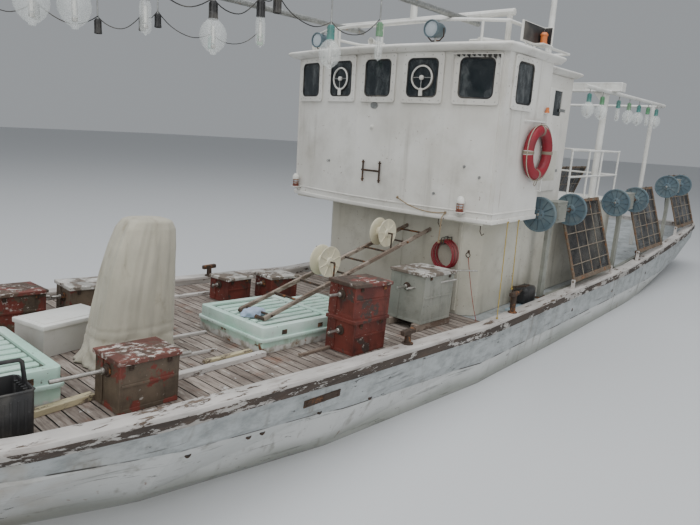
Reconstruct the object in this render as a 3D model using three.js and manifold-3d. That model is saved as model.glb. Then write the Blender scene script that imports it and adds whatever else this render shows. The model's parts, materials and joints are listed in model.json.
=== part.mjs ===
// A squid-jigging boat of about 20 m: white hull and raised wheelhouse, weathered timber foredeck
// with hatches and stowed jigging-machine boxes, fishing lamps on a boom, and folding racks at the rails.
// Units are millimetres. +X is the bow, +Y the port side, +Z up. The origin lies on the centreline
// at the waterline, where the boat floats.

import * as THREE from 'three';
import { mergeVertices } from 'three/addons/utils/BufferGeometryUtils.js';
import Module from 'manifold-3d';

const wasm = await Module();
wasm.setup();

// Driving dimensions
const SEAT = 0.3; // gap between touching pieces
const STERN_X = -11700;
const STERN_HALF_W = 1760;
const BOW_X = 8900;
const DECK_Z = 690; // working deck above the waterline, level from the aft quarter to the knee
const KNEE_X = 350; // the deck starts to rise here
const FORE_SLOPE = 0.065; // rise of the foredeck per length
const FORE_END_X = 6400; // and steeper forward of here
const LIP_H = 90; // low gunwale above the deck
const LIP_W = 140;
const CAP_H = 38;
const BOARD_H = 30;
const LEDGE_Z = 2100; // underside of the wheelhouse
const FLOOR_H = 60;
const WHEELHOUSE_TOP_Z = 4200;
const WHEELHOUSE_HALF_W = 1800;
const WHEELHOUSE_AFT_X = -950;
const FRONT_CORNER_X = 300; // the front wall bows out from here
const FRONT_MID_X = 540;
const CHART_ROOM_HALF_W = 1320;
const CHART_ROOM_AFT_X = -2900;
const WALL = 60;
const HOUSE_FRONT_X = -20;
const HOUSE_HALF_W = 1430;
const HOUSE_AFT_X = -5400;
const ROOF_H = 90;
const BOOM_Z = 4640; // lamp boom
const BOOM_Y = 1000;
const FOREMAST_X = 7000;
const PROPELLER_X = -8480;
const PROPELLER_Z = -870;
const PROPELLER_R = 360;
const RUDDER_X = -9060;

const finish = (color, roughness, metalness = 0) =>
  new THREE.MeshStandardMaterial({ color, roughness, metalness });

const paint = {
  hull: finish(0xbcc1c3, 0.6),
  bridge: finish(0xe6e4dc, 0.55),
  house: finish(0xc9c6b9, 0.65),
  cap: finish(0xd6ccc6, 0.7),
  rub: finish(0x4a433c, 0.85),
  deck: finish(0x968680, 0.9),
  oxide: finish(0x6e3228, 0.7),
  brown: finish(0x645546, 0.75),
  mint: finish(0xaed6c2, 0.5),
  canvas: finish(0xc8c2ae, 0.95),
  greyBox: finish(0x82847c, 0.6, 0.2),
  glass: finish(0x30363a, 0.1),
  galvanised: finish(0x8f9492, 0.5, 0.6),
  rack: finish(0x78604a, 0.8, 0.3),
  disc: finish(0x50646e, 0.6),
  black: finish(0x1c1d1e, 0.6),
  fishBox: finish(0xe4e4e0, 0.5),
  buoy: finish(0xb0202c, 0.6),
  bronze: finish(0xa8823c, 0.35, 0.9),
  whitePipe: finish(0xe2e2de, 0.5),
  bottom: finish(0x7c3128, 0.8),
};

const boat = new THREE.Group();

const add = (name, geometry, material, parent = boat) => {
  const mesh = new THREE.Mesh(geometry, material);
  mesh.name = name;
  parent.add(mesh);
  return mesh;
};

// Geometry helpers. A shape is a BufferGeometry until it is cut or joined.

const toSolid = (geometry) => {
  const bare = geometry.clone();
  bare.deleteAttribute('normal');
  bare.deleteAttribute('uv');
  const merged = mergeVertices(bare, 1e-3);
  const corners = merged.index.array;
  const faces = [];
  for (let i = 0; i < corners.length; i += 3) {
    const [a, b, c] = corners.slice(i, i + 3);
    if (a !== b && b !== c && c !== a) {
      faces.push(a, b, c);
    }
  }
  return new wasm.Manifold(
    new wasm.Mesh({
      numProp: 3,
      vertProperties: new Float32Array(merged.attributes.position.array),
      triVerts: new Uint32Array(faces),
    }),
  );
};

const toGeometry = (solid) => {
  const mesh = solid.getMesh();
  const geometry = new THREE.BufferGeometry();
  geometry.setAttribute('position', new THREE.BufferAttribute(new Float32Array(mesh.vertProperties), 3));
  geometry.setIndex(new THREE.BufferAttribute(new Uint32Array(mesh.triVerts), 1));
  geometry.computeVertexNormals();
  return geometry;
};

const join = (...shapes) => toGeometry(shapes.map(toSolid).reduce((whole, next) => whole.add(next)));

const cut = (shape, ...tools) => {
  const rest = tools.map(toSolid).reduce((whole, tool) => whole.subtract(tool), toSolid(shape));
  return toGeometry(rest);
};

// A block given by its centre along x and y and by its lowest point
const block = (lx, ly, lz, x = 0, y = 0, z = 0) =>
  new THREE.BoxGeometry(lx, ly, lz).translate(x, y, z + lz / 2);

// A straight round bar between two points
const rod = (from, to, radius, sides = 8, endRadius = radius) => {
  const start = new THREE.Vector3(...from);
  const end = new THREE.Vector3(...to);
  const axis = end.clone().sub(start);
  const turn = new THREE.Quaternion().setFromUnitVectors(new THREE.Vector3(0, 1, 0), axis.clone().normalize());
  return new THREE.CylinderGeometry(endRadius, radius, axis.length(), sides)
    .applyQuaternion(turn)
    .translate(...start.add(end).multiplyScalar(0.5).toArray());
};

// Round bars through a list of points, each run a little past the bends so that they meet
const run = (points, radius, sides = 8) => {
  const bars = points.slice(1).map((point, i) => {
    const [start, end] = [new THREE.Vector3(...points[i]), new THREE.Vector3(...point)];
    const past = end.clone().sub(start).setLength(radius * 0.5);
    return rod(start.sub(past).toArray(), end.add(past).toArray(), radius, sides);
  });
  return join(...bars);
};

// A profile of [radius, height] points, listed from the foot up, turned about a vertical axis
const turned = (profile, sides) =>
  new THREE.LatheGeometry(profile.map(([radius, height]) => new THREE.Vector2(radius, height)), sides)
    .rotateX(Math.PI / 2);

// A plan outline of [x, y] corners raised to a height, with holes cut through it
const prism = (outline, height, z = 0, holes = []) => {
  const shape = new THREE.Shape(outline.map(([x, y]) => new THREE.Vector2(x, y)));
  const solid = new THREE.ExtrudeGeometry(shape, { depth: height, bevelEnabled: false }).translate(0, 0, z);
  return holes.length ? cut(solid, ...holes.map((hole) => prism(hole, height + 2, z - 1))) : solid;
};

// A closed skin over rings of [x, y, z] points, each ring with the same count. An open loft is
// capped at its two ends, a closed one joins its last ring to its first.
const loft = (rings, closed = false) => {
  const count = rings[0].length;
  const positions = rings.flat(2);
  const faces = [];
  const spans = closed ? rings.length : rings.length - 1;
  for (let r = 0; r < spans; r += 1) {
    const next = (r + 1) % rings.length;
    for (let k = 0; k < count; k += 1) {
      const a = r * count + k;
      const b = r * count + ((k + 1) % count);
      const c = next * count + ((k + 1) % count);
      const d = next * count + k;
      faces.push(a, b, c, a, c, d);
    }
  }
  if (!closed) {
    const capOf = (ring) => {
      const outline = ring.map(([, y, z]) => new THREE.Vector2(y, z));
      const way = Math.sign(THREE.ShapeUtils.area(outline));
      return THREE.ShapeUtils.triangulateShape(outline, []).map(([a, b, c]) =>
        Math.sign(THREE.ShapeUtils.area([outline[a], outline[b], outline[c]])) === way ? [a, b, c] : [a, c, b],
      );
    };
    const last = (rings.length - 1) * count;
    capOf(rings[0]).forEach(([a, b, c]) => faces.push(a, c, b));
    capOf(rings.at(-1)).forEach(([a, b, c]) => faces.push(last + a, last + b, last + c));
  }
  const geometry = new THREE.BufferGeometry();
  geometry.setAttribute('position', new THREE.BufferAttribute(new Float32Array(positions), 3));
  geometry.setIndex(faces);
  if (signedVolume(geometry) < 0) {
    geometry.setIndex(faces.map((_, i) => faces[i - (i % 3) + [0, 2, 1][i % 3]]));
  }
  geometry.computeVertexNormals();
  return geometry;
};

const signedVolume = (geometry) => {
  const at = (i) => new THREE.Vector3().fromBufferAttribute(geometry.attributes.position, i);
  const index = geometry.index.array;
  let volume = 0;
  for (let i = 0; i < index.length; i += 3) {
    volume += at(index[i]).dot(at(index[i + 1]).cross(at(index[i + 2])));
  }
  return volume;
};

// A loft whose rings lie level, one above the other
const loftUp = (rings) => {
  const onSide = rings.map((ring) => ring.map(([x, y, z]) => [z, x, y]));
  const geometry = loft(onSide);
  const position = geometry.attributes.position;
  for (let i = 0; i < position.count; i += 1) {
    const [z, x, y] = [position.getX(i), position.getY(i), position.getZ(i)];
    position.setXYZ(i, x, y, z);
  }
  geometry.computeVertexNormals();
  return geometry;
};
// Hull lines: each row is a station. The keel stops at the skeg, forward of the propeller.
// x, half-breadth at the deck, at the knuckle, near the waterline, at the bilge,
// height of the bottom, height of the keel's foot
const SKEG_X = PROPELLER_X + 280;
const STATIONS = [
  [STERN_X, STERN_HALF_W, 1740, 1600, 760, -60, -90],
  [STERN_X + 150, STERN_HALF_W + 12, 1752, 1612, 772, -76, -106],
  [-10300, 1870, 1850, 1730, 960, -330, -360],
  [SKEG_X - 20, 1931, 1913, 1840, 1160, -480, -520],
  [SKEG_X + 20, 1932, 1914, 1842, 1170, -490, -1350],
  [-6700, 1948, 1934, 1880, 1320, -730, -1350],
  [-5500, 1950, 1940, 1892, 1400, -850, -1350],
  [-2000, 1950, 1945, 1900, 1500, -930, -1350],
  [KNEE_X, 1950, 1940, 1860, 1400, -950, -1350],
  [3000, 1950, 1890, 1600, 1050, -930, -1350],
  [4800, 1900, 1760, 1260, 680, -850, -1320],
  [5800, 1780, 1540, 900, 420, -680, -1150],
  [FORE_END_X, 1610, 1320, 660, 280, -500, -880],
  [7000, 1380, 1050, 430, 170, -300, -600],
  [8000, 850, 560, 180, 90, 230, 150],
  [8590, 390, 245, 79, 60, 860, 810],
  [BOW_X, 80, 62, 52, 46, 1270, 1230],
];

const KEEL_HALF_W = 45;
const AFT_RISE_X = -5500;
const AFT_RISE = 0.06;
const BOW_SLOPE = 0.165;

const deckHeight = (x) => {
  if (x > FORE_END_X) {
    return DECK_Z + FORE_SLOPE * (FORE_END_X - KNEE_X) + BOW_SLOPE * (x - FORE_END_X);
  }
  if (x > KNEE_X) {
    return DECK_Z + FORE_SLOPE * (x - KNEE_X);
  }
  return DECK_Z + AFT_RISE * Math.max(0, AFT_RISE_X - x);
};

const KNUCKLE_DROP = 260;
const RUB_H = 100; // dark rubbing band below the cap rail
const RUB_T = 30;

// How far the hull's side drops from the deck to the knuckle, and how far it draws in at a height
// above the deck. At the foot of the rubbing band it is a little proud of the straight line.
const BAND_PROUD = 2;
const knuckleDrop = (x, bottom) => Math.min(KNUCKLE_DROP, (deckHeight(x) - bottom) * 0.3);
const insetAt = ([x, deck, knuckle, , , bottom], up) =>
  ((deck - knuckle) * (LIP_H - up)) / (LIP_H + knuckleDrop(x, bottom));
const bandInset = (station) => insetAt(station, LIP_H - RUB_H) - BAND_PROUD;
const DECK_EASE = 5; // the deck's edge and the gunwale's outer foot stand this far behind the band
const deckInset = (station) => insetAt(station, 0) + DECK_EASE;

const sectionOf = (station) => {
  const [x, deck, knuckle, water, bilge, bottom, keel] = station;
  const z = deckHeight(x);
  const height = z - bottom;
  const half = [
    [x, deck - deckInset(station), z],
    [x, deck - bandInset(station), z + LIP_H - RUB_H],
    [x, knuckle, z - knuckleDrop(x, bottom)],
    [x, water, bottom + height * 0.52],
    [x, bilge, bottom + height * 0.16],
    [x, KEEL_HALF_W, bottom],
    [x, KEEL_HALF_W - 10, keel],
  ];
  return [...half, ...half.map(([, y, h]) => [x, -y, h]).reverse()];
};

const sternTube = rod([SKEG_X + 300, 0, PROPELLER_Z], [PROPELLER_X + 190, 0, PROPELLER_Z], 95, 12);
const rudderShoe = block(1300, 80, 60, PROPELLER_X - 220, 0, -1350);
const SHAFT_IN_HULL_R = 36;
const shaftBore = rod(
  [PROPELLER_X + 80, 0, PROPELLER_Z],
  [PROPELLER_X + 480, 0, PROPELLER_Z],
  SHAFT_IN_HULL_R + 1.2,
  16,
);
const STOCK_R = 30; // rudder stock, in a bore of the hull
const STOCK_TOP_Z = -330;
const stockBore = rod([RUDDER_X, 0, -700], [RUDDER_X, 0, STOCK_TOP_Z + 5], STOCK_R + 0.9, 16);
add(
  'hull',
  cut(join(loft(STATIONS.map(sectionOf)), sternTube, rudderShoe), shaftBore, stockBore),
  paint.hull,
);

// Cap rail: a low gunwale round the deck's edge with a flat timber on top, in one ring. A ring of the
// loft runs from the gunwale's inner foot over the cap to its outer foot.
const CAP_OUT = 26;
const CAP_IN = 15;
const railRingAt = (inner, outer, foot, [capIn, capOut] = [CAP_IN, CAP_OUT]) => {
  const top = LIP_H + SEAT;
  const point = ([x, y], along, up) => [x + along[0], y + along[1], deckHeight(x + along[0]) + up];
  const way = outer.map((value, i) => value - inner[i]);
  const unit = way.map((value) => value / Math.hypot(...way));
  const by = (distance) => unit.map((value) => value * distance);
  return [
    point(inner, [0, 0], SEAT),
    point(inner, [0, 0], top),
    point(inner, by(-capIn), top),
    point(inner, by(-capIn), top + CAP_H),
    point(outer, by(capOut), top + CAP_H),
    point(outer, by(capOut), top),
    point(outer, [0, 0], top),
    point(outer, by(-foot), SEAT),
  ];
};
const hasCapJoint = ([x]) => x > STERN_X + 145 && x < 8580 && x !== SKEG_X - 20;
const capSide = (side) =>
  STATIONS.filter(hasCapJoint).map((station) => {
    const [x, deck] = station;
    return railRingAt([x, side * (deck - LIP_W)], [x, side * deck], deckInset(station));
  });
const sternCorner = (side) =>
  railRingAt([STERN_X + 145, side * (STERN_HALF_W - 145)], [STERN_X, side * STERN_HALF_W], 20);
const stem = railRingAt([BOW_X - 400, 0], [BOW_X - 10, 0], 30, [CAP_IN, 70]);
const capLoop = [sternCorner(1), ...capSide(1), stem, ...capSide(-1).reverse(), sternCorner(-1)];

// Folding racks at the rails: centre x and hinge y of each. A bracket at each end of a rack's foot
// pipe stands on the cap rail.
const RACK_PLACES = [
  [-3500, 1905],
  [-7000, 1900],
  [-10500, 1772],
];
const RACK = { width: 1800, height: 1350, lean: 0.32, bar: 36, rise: 120, pin: 14, reach: 46 };
const RACK_BRACKET = { thick: 22, width: 56, sunk: 20, above: 35 };
const PIN_GAP = 0.7;
const capTop = (x) => deckHeight(x) + LIP_H + SEAT + CAP_H;
const racks = RACK_PLACES.flatMap(([x, y], i) =>
  ['port', 'starboard'].map((name, k) => {
    const side = k ? -1 : 1;
    return { name: `${name}_rack_${i + 1}`, side, x, y: side * y, z: capTop(x) + RACK.rise };
  }),
);
const rackBracket = ({ x, y, z }, end) => {
  const at = x + end * (RACK.width / 2 + 10 + RACK_BRACKET.thick / 2);
  const foot = capTop(at) - RACK_BRACKET.sunk;
  return block(RACK_BRACKET.thick, RACK_BRACKET.width, z + RACK_BRACKET.above - foot, at, y, foot);
};
const rackBore = ({ x, y, z }) => {
  const half = RACK.width / 2 + RACK.reach + 10;
  return rod([x - half, y, z], [x + half, y, z], RACK.pin + PIN_GAP, 12);
};
const rackBrackets = racks.flatMap((rack) => [rackBracket(rack, -1), rackBracket(rack, 1)]);
add('cap_rail', cut(join(loft(capLoop, true), ...rackBrackets), ...racks.map(rackBore)), paint.cap);

// Rubbing band below the cap rail, wrapped round the stem
const bandRing = (side) => (station) => {
  const [x, deck] = station;
  const top = deckHeight(x) + LIP_H;
  const lowIn = deck - bandInset(station);
  return [
    [x, side * (deck + 2 * SEAT), top],
    [x, side * (lowIn + 2 * SEAT), top - RUB_H],
    [x, side * (lowIn + RUB_T), top - RUB_H],
    [x, side * (deck + RUB_T), top],
  ];
};
const bandStem = (() => {
  const top = deckHeight(BOW_X) + LIP_H;
  const [inner, outer] = [BOW_X + 2 * SEAT, BOW_X + 40];
  return [[inner, 0, top], [inner, 0, top - RUB_H], [outer, 0, top - RUB_H], [outer, 0, top]];
})();
add(
  'rub_band',
  loft([...STATIONS.map(bandRing(1)), bandStem, ...STATIONS.map(bandRing(-1)).reverse()]),
  paint.rub,
);

// Foredeck: everything forward of the knee stands in a group that is pitched with the deck.
// In it, x runs from the knee along the deck and z is height above the deck's surface.
const foredeck = new THREE.Group();
foredeck.position.set(KNEE_X, 0, DECK_Z);
foredeck.rotation.y = -Math.atan(FORE_SLOPE);
boat.add(foredeck);

// Hatches on the foredeck: centre x, centre y, length, width, coaming height, lid height
const HATCHES = {
  fore: { x: 5540, y: 560, length: 1000, width: 1150, coaming: 190, lid: 130 },
  mid: { x: 2510, y: 520, length: 1060, width: 1060, coaming: 150, lid: 130 },
  aft: { x: 1490, y: 380, length: 760, width: 900, coaming: 0, lid: 190 },
};
const COAMING_T = 45;

const boardOutline = (x) => {
  const row = (a, b) => (t) => a[1] + (b[1] - a[1]) * t;
  const next = STATIONS.findIndex(([sx]) => sx > x);
  const [a, b] = [STATIONS[next - 1], STATIONS[next]];
  const half = row(a, b)((x - a[0]) / (b[0] - a[0])) - LIP_W - 20;
  const z = deckHeight(x) + SEAT;
  return [
    [x, half, z],
    [x, half, z + BOARD_H],
    [x, -half, z + BOARD_H],
    [x, -half, z],
  ];
};
const boards = loft([HOUSE_FRONT_X + 10, KNEE_X, 3000, 4800, 5800, FORE_END_X, 7000, 7700].map(boardOutline));
const onDeck = (geometry) => {
  foredeck.updateMatrixWorld(true);
  return geometry.clone().applyMatrix4(foredeck.matrixWorld);
};
const HATCH_CUT = 70; // the boards stop this far outside a coaming's middle line, clear of the lid's rim
const hatchHoles = Object.values(HATCHES).map(({ x, y, length, width, coaming }) =>
  onDeck(block(length + (coaming ? 8 : HATCH_CUT), width + (coaming ? 8 : HATCH_CUT), 200, x, y, -60)),
);
add('deck_boards', cut(boards, ...hatchHoles), paint.deck);

// The fore hatch's lid turns on two barrels at its aft edge
const LID_BARREL_R = 14;
const lidHinge = (edgeX, y, coaming) =>
  [-1, 1].map((side) => {
    const [x, z] = [edgeX - 30 - 10, coaming + 18];
    return rod([x, y + side * 380 - 70, z], [x, y + side * 380 + 70, z], LID_BARREL_R, 10);
  });

Object.entries(HATCHES).forEach(([name, { x, y, length, width, coaming, lid }]) => {
  if (coaming) {
    const ring = cut(
      block(length, width, coaming, x, y, SEAT),
      block(length - 2 * COAMING_T, width - 2 * COAMING_T, coaming + 2, x, y, -1 + SEAT),
    );
    add(`${name}_hatch_coaming`, ring, paint.mint, foredeck);
  }
  // The lid: a tray turned over the coaming, with ribs across its top and a rim round its foot
  const RIB_PITCH = 130;
  const ribs = [];
  for (let rx = -length / 2 + 90; rx < length / 2 - 60; rx += RIB_PITCH) {
    ribs.push(block(55, width - 60, 22, x + rx + 20, y, coaming + lid - 1));
  }
  const rim = block(length + 60, width + 60, 35, x, y, coaming + 2 * SEAT);
  const crown = block(length + 10, width + 10, lid - 30, x, y, coaming + 30);
  const hinge = name === 'fore' ? lidHinge(x - length / 2, y, coaming) : [];
  add(`${name}_hatch_lid`, join(rim, crown, ...ribs, ...hinge), paint.mint, foredeck);
});

// Jigging-machine boxes stowed on the foredeck: a body, a lid flange and a shaft stub on two sides.
// name, centre x, centre y, length, width, height, foot height, turn about z, shaft height, stubs, paint
const TIMBER_H = 90; // the grey box stands on two timbers
const BOXES = [
  ['machine_box_port_fore', 4550, 1340, 500, 360, 420, 0, 0.02, 300, [230, 420], paint.brown],
  ['machine_box_stowed_low', 2010, 1400, 560, 380, 380, 0, 0.03, 240, [60, 190], paint.oxide],
  ['machine_box_stowed_high', 2000, 1390, 560, 380, 380, 381, -0.05, 240, [60, 190], paint.oxide],
  ['machine_box_grey', 490, 1180, 700, 520, 640, TIMBER_H, 0.03, 440, [200, 220], paint.greyBox],
  ['machine_box_starboard_a', 4670, -860, 480, 380, 420, 0, 0.05, 290, [120, 120], paint.brown],
  ['machine_box_starboard_b', 3950, -820, 480, 380, 430, 0, -0.04, 290, [120, 120], paint.brown],
  ['machine_box_starboard_c', 1950, -900, 420, 340, 330, 0, 0.1, 220, [70, 110], paint.oxide],
  ['machine_box_starboard_d', 1310, -700, 460, 360, 340, 0, -0.06, 220, [80, 110], paint.oxide],
];
const LID_FLANGE = 18;
BOXES.forEach(([name, x, y, length, width, height, foot, turn, shaftZ, [aftStub, foreStub], material]) => {
  const parts = [
    block(length, width, height, 0, 0, foot),
    block(length + 2 * LID_FLANGE, width + 2 * LID_FLANGE, 26, 0, 0, foot + height - 40),
    rod([-length / 2 - aftStub, 0, foot + shaftZ], [length / 2 + foreStub, 0, foot + shaftZ], 16),
    rod([-length / 2 - 22, 0, foot + shaftZ], [length / 2 + 22, 0, foot + shaftZ], 45, 12),
  ];
  if (foot === TIMBER_H) {
    parts.push(...[-1, 1].map((side) => block(length + 120, 90, TIMBER_H + 1, 0, side * (width / 2 - 60), 0)));
  }
  const box = add(name, join(...parts), material, foredeck);
  box.position.set(x, y, BOARD_H + 2 * SEAT);
  box.rotation.z = turn;
});

// Canvas cover over a machine: a tapered bag
const canvasRing = (half, depth, z, shiftX, shiftY) => [
  [shiftX - half, shiftY - depth, z],
  [shiftX + half, shiftY - depth, z],
  [shiftX + half, shiftY + depth, z],
  [shiftX - half, shiftY + depth, z],
];
const cover = add(
  'canvas_cover',
  loftUp([
    canvasRing(430, 270, 0, 0, 0),
    canvasRing(400, 250, 120, 0, 0),
    canvasRing(330, 220, 800, -60, 20),
    canvasRing(215, 160, 1240, -110, 40),
    canvasRing(150, 105, 1330, -120, 40),
  ]),
  paint.canvas,
  foredeck,
);
cover.position.set(4150, 460, BOARD_H + 2 * SEAT);

// White fish box with its lid on behind the cover, and the open black tub by the rail
const openBox = (length, width, height, wall) =>
  cut(block(length, width, height), block(length - 2 * wall, width - 2 * wall, height, 0, 0, wall));
const fishBox = add(
  'fish_box',
  join(block(700, 400, 280), block(730, 430, 45, 0, 0, 255), block(640, 340, 12, 0, 0, 299)),
  paint.fishBox,
  foredeck,
);
fishBox.position.set(4475, -160, BOARD_H + 2 * SEAT);
fishBox.rotation.z = 0.25;

const TUB = { length: 480, width: 320, height: 340, wall: 12 };
const tub = add(
  'black_tub',
  join(
    openBox(TUB.length, TUB.width, TUB.height, TUB.wall),
    run(
      [
        [-TUB.length / 2 + 6, 0, 300],
        [-TUB.length / 2 + 30, 0, 500],
        [TUB.length / 2 - 30, 0, 500],
        [TUB.length / 2 - 6, 0, 300],
      ],
      12,
    ),
  ),
  paint.black,
  foredeck,
);
tub.position.set(5600, 1345, BOARD_H + 2 * SEAT);

// Folded chute, its fore end on the mid hatch's lid and its aft end against the deckhouse, with two
// flanged drums lashed on it
const CHUTE = { halfW: 205, side: 22, foreX: 2870, foreY: 650, aftY: 520, pitch: 0.2, aftEase: 3.4 };
const slopeAngle = Math.atan(FORE_SLOPE);
const lidTop = HATCHES.mid.coaming + HATCHES.mid.lid + 21;
const chuteForeZ = lidTop + CHUTE.side + 2;
const chuteRise = (HOUSE_FRONT_X - KNEE_X - CHUTE.foreX) * -Math.tan(CHUTE.pitch);
const chuteAftZ = chuteForeZ + chuteRise - 14;
const chuteAftX =
  (HOUSE_FRONT_X - KNEE_X + CHUTE.aftEase + chuteAftZ * Math.sin(slopeAngle)) / Math.cos(slopeAngle);
const chuteAt = (share, y, lift = 0) => [
  CHUTE.foreX + (chuteAftX - CHUTE.foreX) * share,
  CHUTE.foreY + (CHUTE.aftY - CHUTE.foreY) * share + y,
  chuteForeZ + (chuteAftZ - chuteForeZ) * share + lift,
];
const chuteSides = [-CHUTE.halfW, CHUTE.halfW].map((y) => rod(chuteAt(0, y), chuteAt(1, y), CHUTE.side, 6));
const rungs = Array.from({ length: 8 }, (_, k) => {
  const share = 0.03 + k * 0.13;
  return rod(chuteAt(share, -CHUTE.halfW), chuteAt(share, CHUTE.halfW), 15, 6);
});
const LOOSE_DRUM_R = 190;
const looseDrum = (share) => [
  ...[-75, 55].map((y) =>
    rod(chuteAt(share, y, LOOSE_DRUM_R), chuteAt(share, y + 20, LOOSE_DRUM_R), LOOSE_DRUM_R, 14),
  ),
  rod(chuteAt(share, -60, LOOSE_DRUM_R), chuteAt(share, 60, LOOSE_DRUM_R), 70, 10),
  rod(chuteAt(share, -CHUTE.halfW), chuteAt(share, CHUTE.halfW), 20, 6),
];
const looseDrums = [...looseDrum(0.36), ...looseDrum(0.72)];
add('loose_chute', join(...chuteSides, ...rungs, ...looseDrums), paint.brown, foredeck);

// Lower deckhouse: a ring of wall under the wheelhouse, set back from it, with an aft door
const ringWall = (outline, inner, height, z) => cut(prism(outline, height, z), prism(inner, height + 2, z - 1));
const houseOutline = (t) => [
  [HOUSE_FRONT_X - t, -HOUSE_HALF_W + 200 + t * 0.6],
  [HOUSE_FRONT_X - t, HOUSE_HALF_W - 200 - t * 0.6],
  [HOUSE_FRONT_X - 200 - t * 0.6, HOUSE_HALF_W - t],
  [HOUSE_AFT_X + t, HOUSE_HALF_W - t],
  [HOUSE_AFT_X + t, -HOUSE_HALF_W + t],
  [HOUSE_FRONT_X - 200 - t * 0.6, -HOUSE_HALF_W + t],
];
const HOUSE_DOOR = { y: 500, width: 640, sill: 120, height: 1180, leaf: 40 };
const doorwayOf = ({ y, width, sill, height }) => block(WALL * 4, width, height, HOUSE_AFT_X, y, DECK_Z + sill);
add(
  'deckhouse_walls',
  cut(
    ringWall(houseOutline(0), houseOutline(WALL), LEDGE_Z - DECK_Z - 2 * SEAT, DECK_Z + SEAT),
    doorwayOf(HOUSE_DOOR),
  ),
  paint.house,
);
const HINGE_R = 14;
const hangingDoor = (width, height, thickness, hingeSide) =>
  join(
    block(thickness, width, height, 0, 0, 0),
    rod(
      [0, hingeSide * (width / 2 + HINGE_R), 100],
      [0, hingeSide * (width / 2 + HINGE_R), height - 100],
      HINGE_R,
    ),
    block(thickness * 0.6, 30, 60, 0, hingeSide * (width / 2 + 4), 160),
    block(thickness * 0.6, 30, 60, 0, hingeSide * (width / 2 + 4), height - 220),
  );
const houseDoor = add(
  'deckhouse_door',
  hangingDoor(HOUSE_DOOR.width + 60, HOUSE_DOOR.height + 40, HOUSE_DOOR.leaf, 1),
  paint.house,
);
houseDoor.position.set(HOUSE_AFT_X - HOUSE_DOOR.leaf / 2 - SEAT, HOUSE_DOOR.y, DECK_Z + HOUSE_DOOR.sill - 20);

// Wheelhouse plan: the front is a shallow arc in five flat facets, one window to a facet
const FACET_YS = [-WHEELHOUSE_HALF_W, -1060, -355, 355, 1060, WHEELHOUSE_HALF_W];
const frontX = (y) => FRONT_MID_X - (FRONT_MID_X - FRONT_CORNER_X) * (y / WHEELHOUSE_HALF_W) ** 2;
const frontOutline = (grow) => FACET_YS.map((y) => [frontX(y) + grow, y * (1 + grow / WHEELHOUSE_HALF_W)]);
const BOAT_DECK_HALF_W = 1462;
const BOAT_DECK_AFT_X = HOUSE_AFT_X - 60;
add(
  'boat_deck',
  prism(
    [
      ...frontOutline(20),
      [WHEELHOUSE_AFT_X - 20, WHEELHOUSE_HALF_W + 20],
      [WHEELHOUSE_AFT_X - 20, BOAT_DECK_HALF_W],
      [BOAT_DECK_AFT_X, BOAT_DECK_HALF_W],
      [BOAT_DECK_AFT_X, -BOAT_DECK_HALF_W],
      [WHEELHOUSE_AFT_X - 20, -BOAT_DECK_HALF_W],
      [WHEELHOUSE_AFT_X - 20, -WHEELHOUSE_HALF_W - 20],
    ],
    FLOOR_H,
    LEDGE_Z,
  ),
  paint.bridge,
);

// Front wall with its five windows
const WALL_Z = LEDGE_Z + FLOOR_H + SEAT;
const WALL_H = WHEELHOUSE_TOP_Z - WALL_Z;
const WINDOW = { width: 470, height: 500, sill: 3630, frame: 50, proud: 22 };
const windowCentres = FACET_YS.slice(1).map((y, i) => {
  const y0 = FACET_YS[i];
  const [ax, bx] = [frontX(y0), frontX(y)];
  return { x: (ax + bx) / 2, y: (y0 + y) / 2, turn: Math.atan2(ax - bx, y - y0) };
});
const inFacet = ({ x, y, turn }, geometry) => geometry.clone().rotateZ(turn).translate(x, y, 0);
const frontWall = prism([...frontOutline(0), ...frontOutline(-WALL).reverse()], WALL_H, WALL_Z);
const frontOpenings = windowCentres.map((place) =>
  inFacet(place, block(400, WINDOW.width, WINDOW.height, 0, 0, WINDOW.sill)),
);
const windowFrame = ({ width, height, sill, frame, proud }) =>
  cut(
    block(proud + 10, width + 2 * frame, height + 2 * frame, proud / 2 - 5, 0, sill - frame),
    block(200, width, height, 0, 0, sill),
  );
const frontFrames = windowCentres.map((place) => inFacet(place, windowFrame(WINDOW)));
const cornerCut = (side) => block(2000, 400, 4000, 0, side * (WHEELHOUSE_HALF_W - WALL - 0.3 + 200), 1500);
add(
  'wheelhouse_front',
  cut(join(cut(frontWall, ...frontOpenings), ...frontFrames), cornerCut(1), cornerCut(-1)),
  paint.bridge,
);

// Side walls: a window forward and a knee-shaped cut at the aft top
const SIDE_WINDOW = { width: 460, height: 520, sill: 3600, x: -120 };
['port', 'starboard'].forEach((name, i) => {
  const side = i ? -1 : 1;
  const corner = frontX(WHEELHOUSE_HALF_W);
  const wall = block(
    corner - WHEELHOUSE_AFT_X,
    WALL,
    WALL_H,
    (corner + WHEELHOUSE_AFT_X) / 2,
    side * (WHEELHOUSE_HALF_W - WALL / 2),
    WALL_Z,
  );
  const opening = block(
    SIDE_WINDOW.width, 300, SIDE_WINDOW.height, SIDE_WINDOW.x, side * WHEELHOUSE_HALF_W, SIDE_WINDOW.sill,
  );
  const frame = cut(
    block(
      SIDE_WINDOW.width + 100, 30, SIDE_WINDOW.height + 100,
      SIDE_WINDOW.x, side * (WHEELHOUSE_HALF_W + 5), SIDE_WINDOW.sill - 50,
    ),
    opening,
  );
  add(`wheelhouse_${name}_side`, cut(join(wall, frame), opening), paint.bridge);
});

// Aft wall of the wheelhouse, open in the middle to the chart room
add(
  'wheelhouse_aft_wall',
  cut(
    block(WALL, 2 * (WHEELHOUSE_HALF_W - WALL) - 1, WALL_H, WHEELHOUSE_AFT_X + WALL / 2, 0, WALL_Z),
    block(400, 800, 1900, WHEELHOUSE_AFT_X, 0, WALL_Z + 60),
  ),
  paint.bridge,
);

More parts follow.
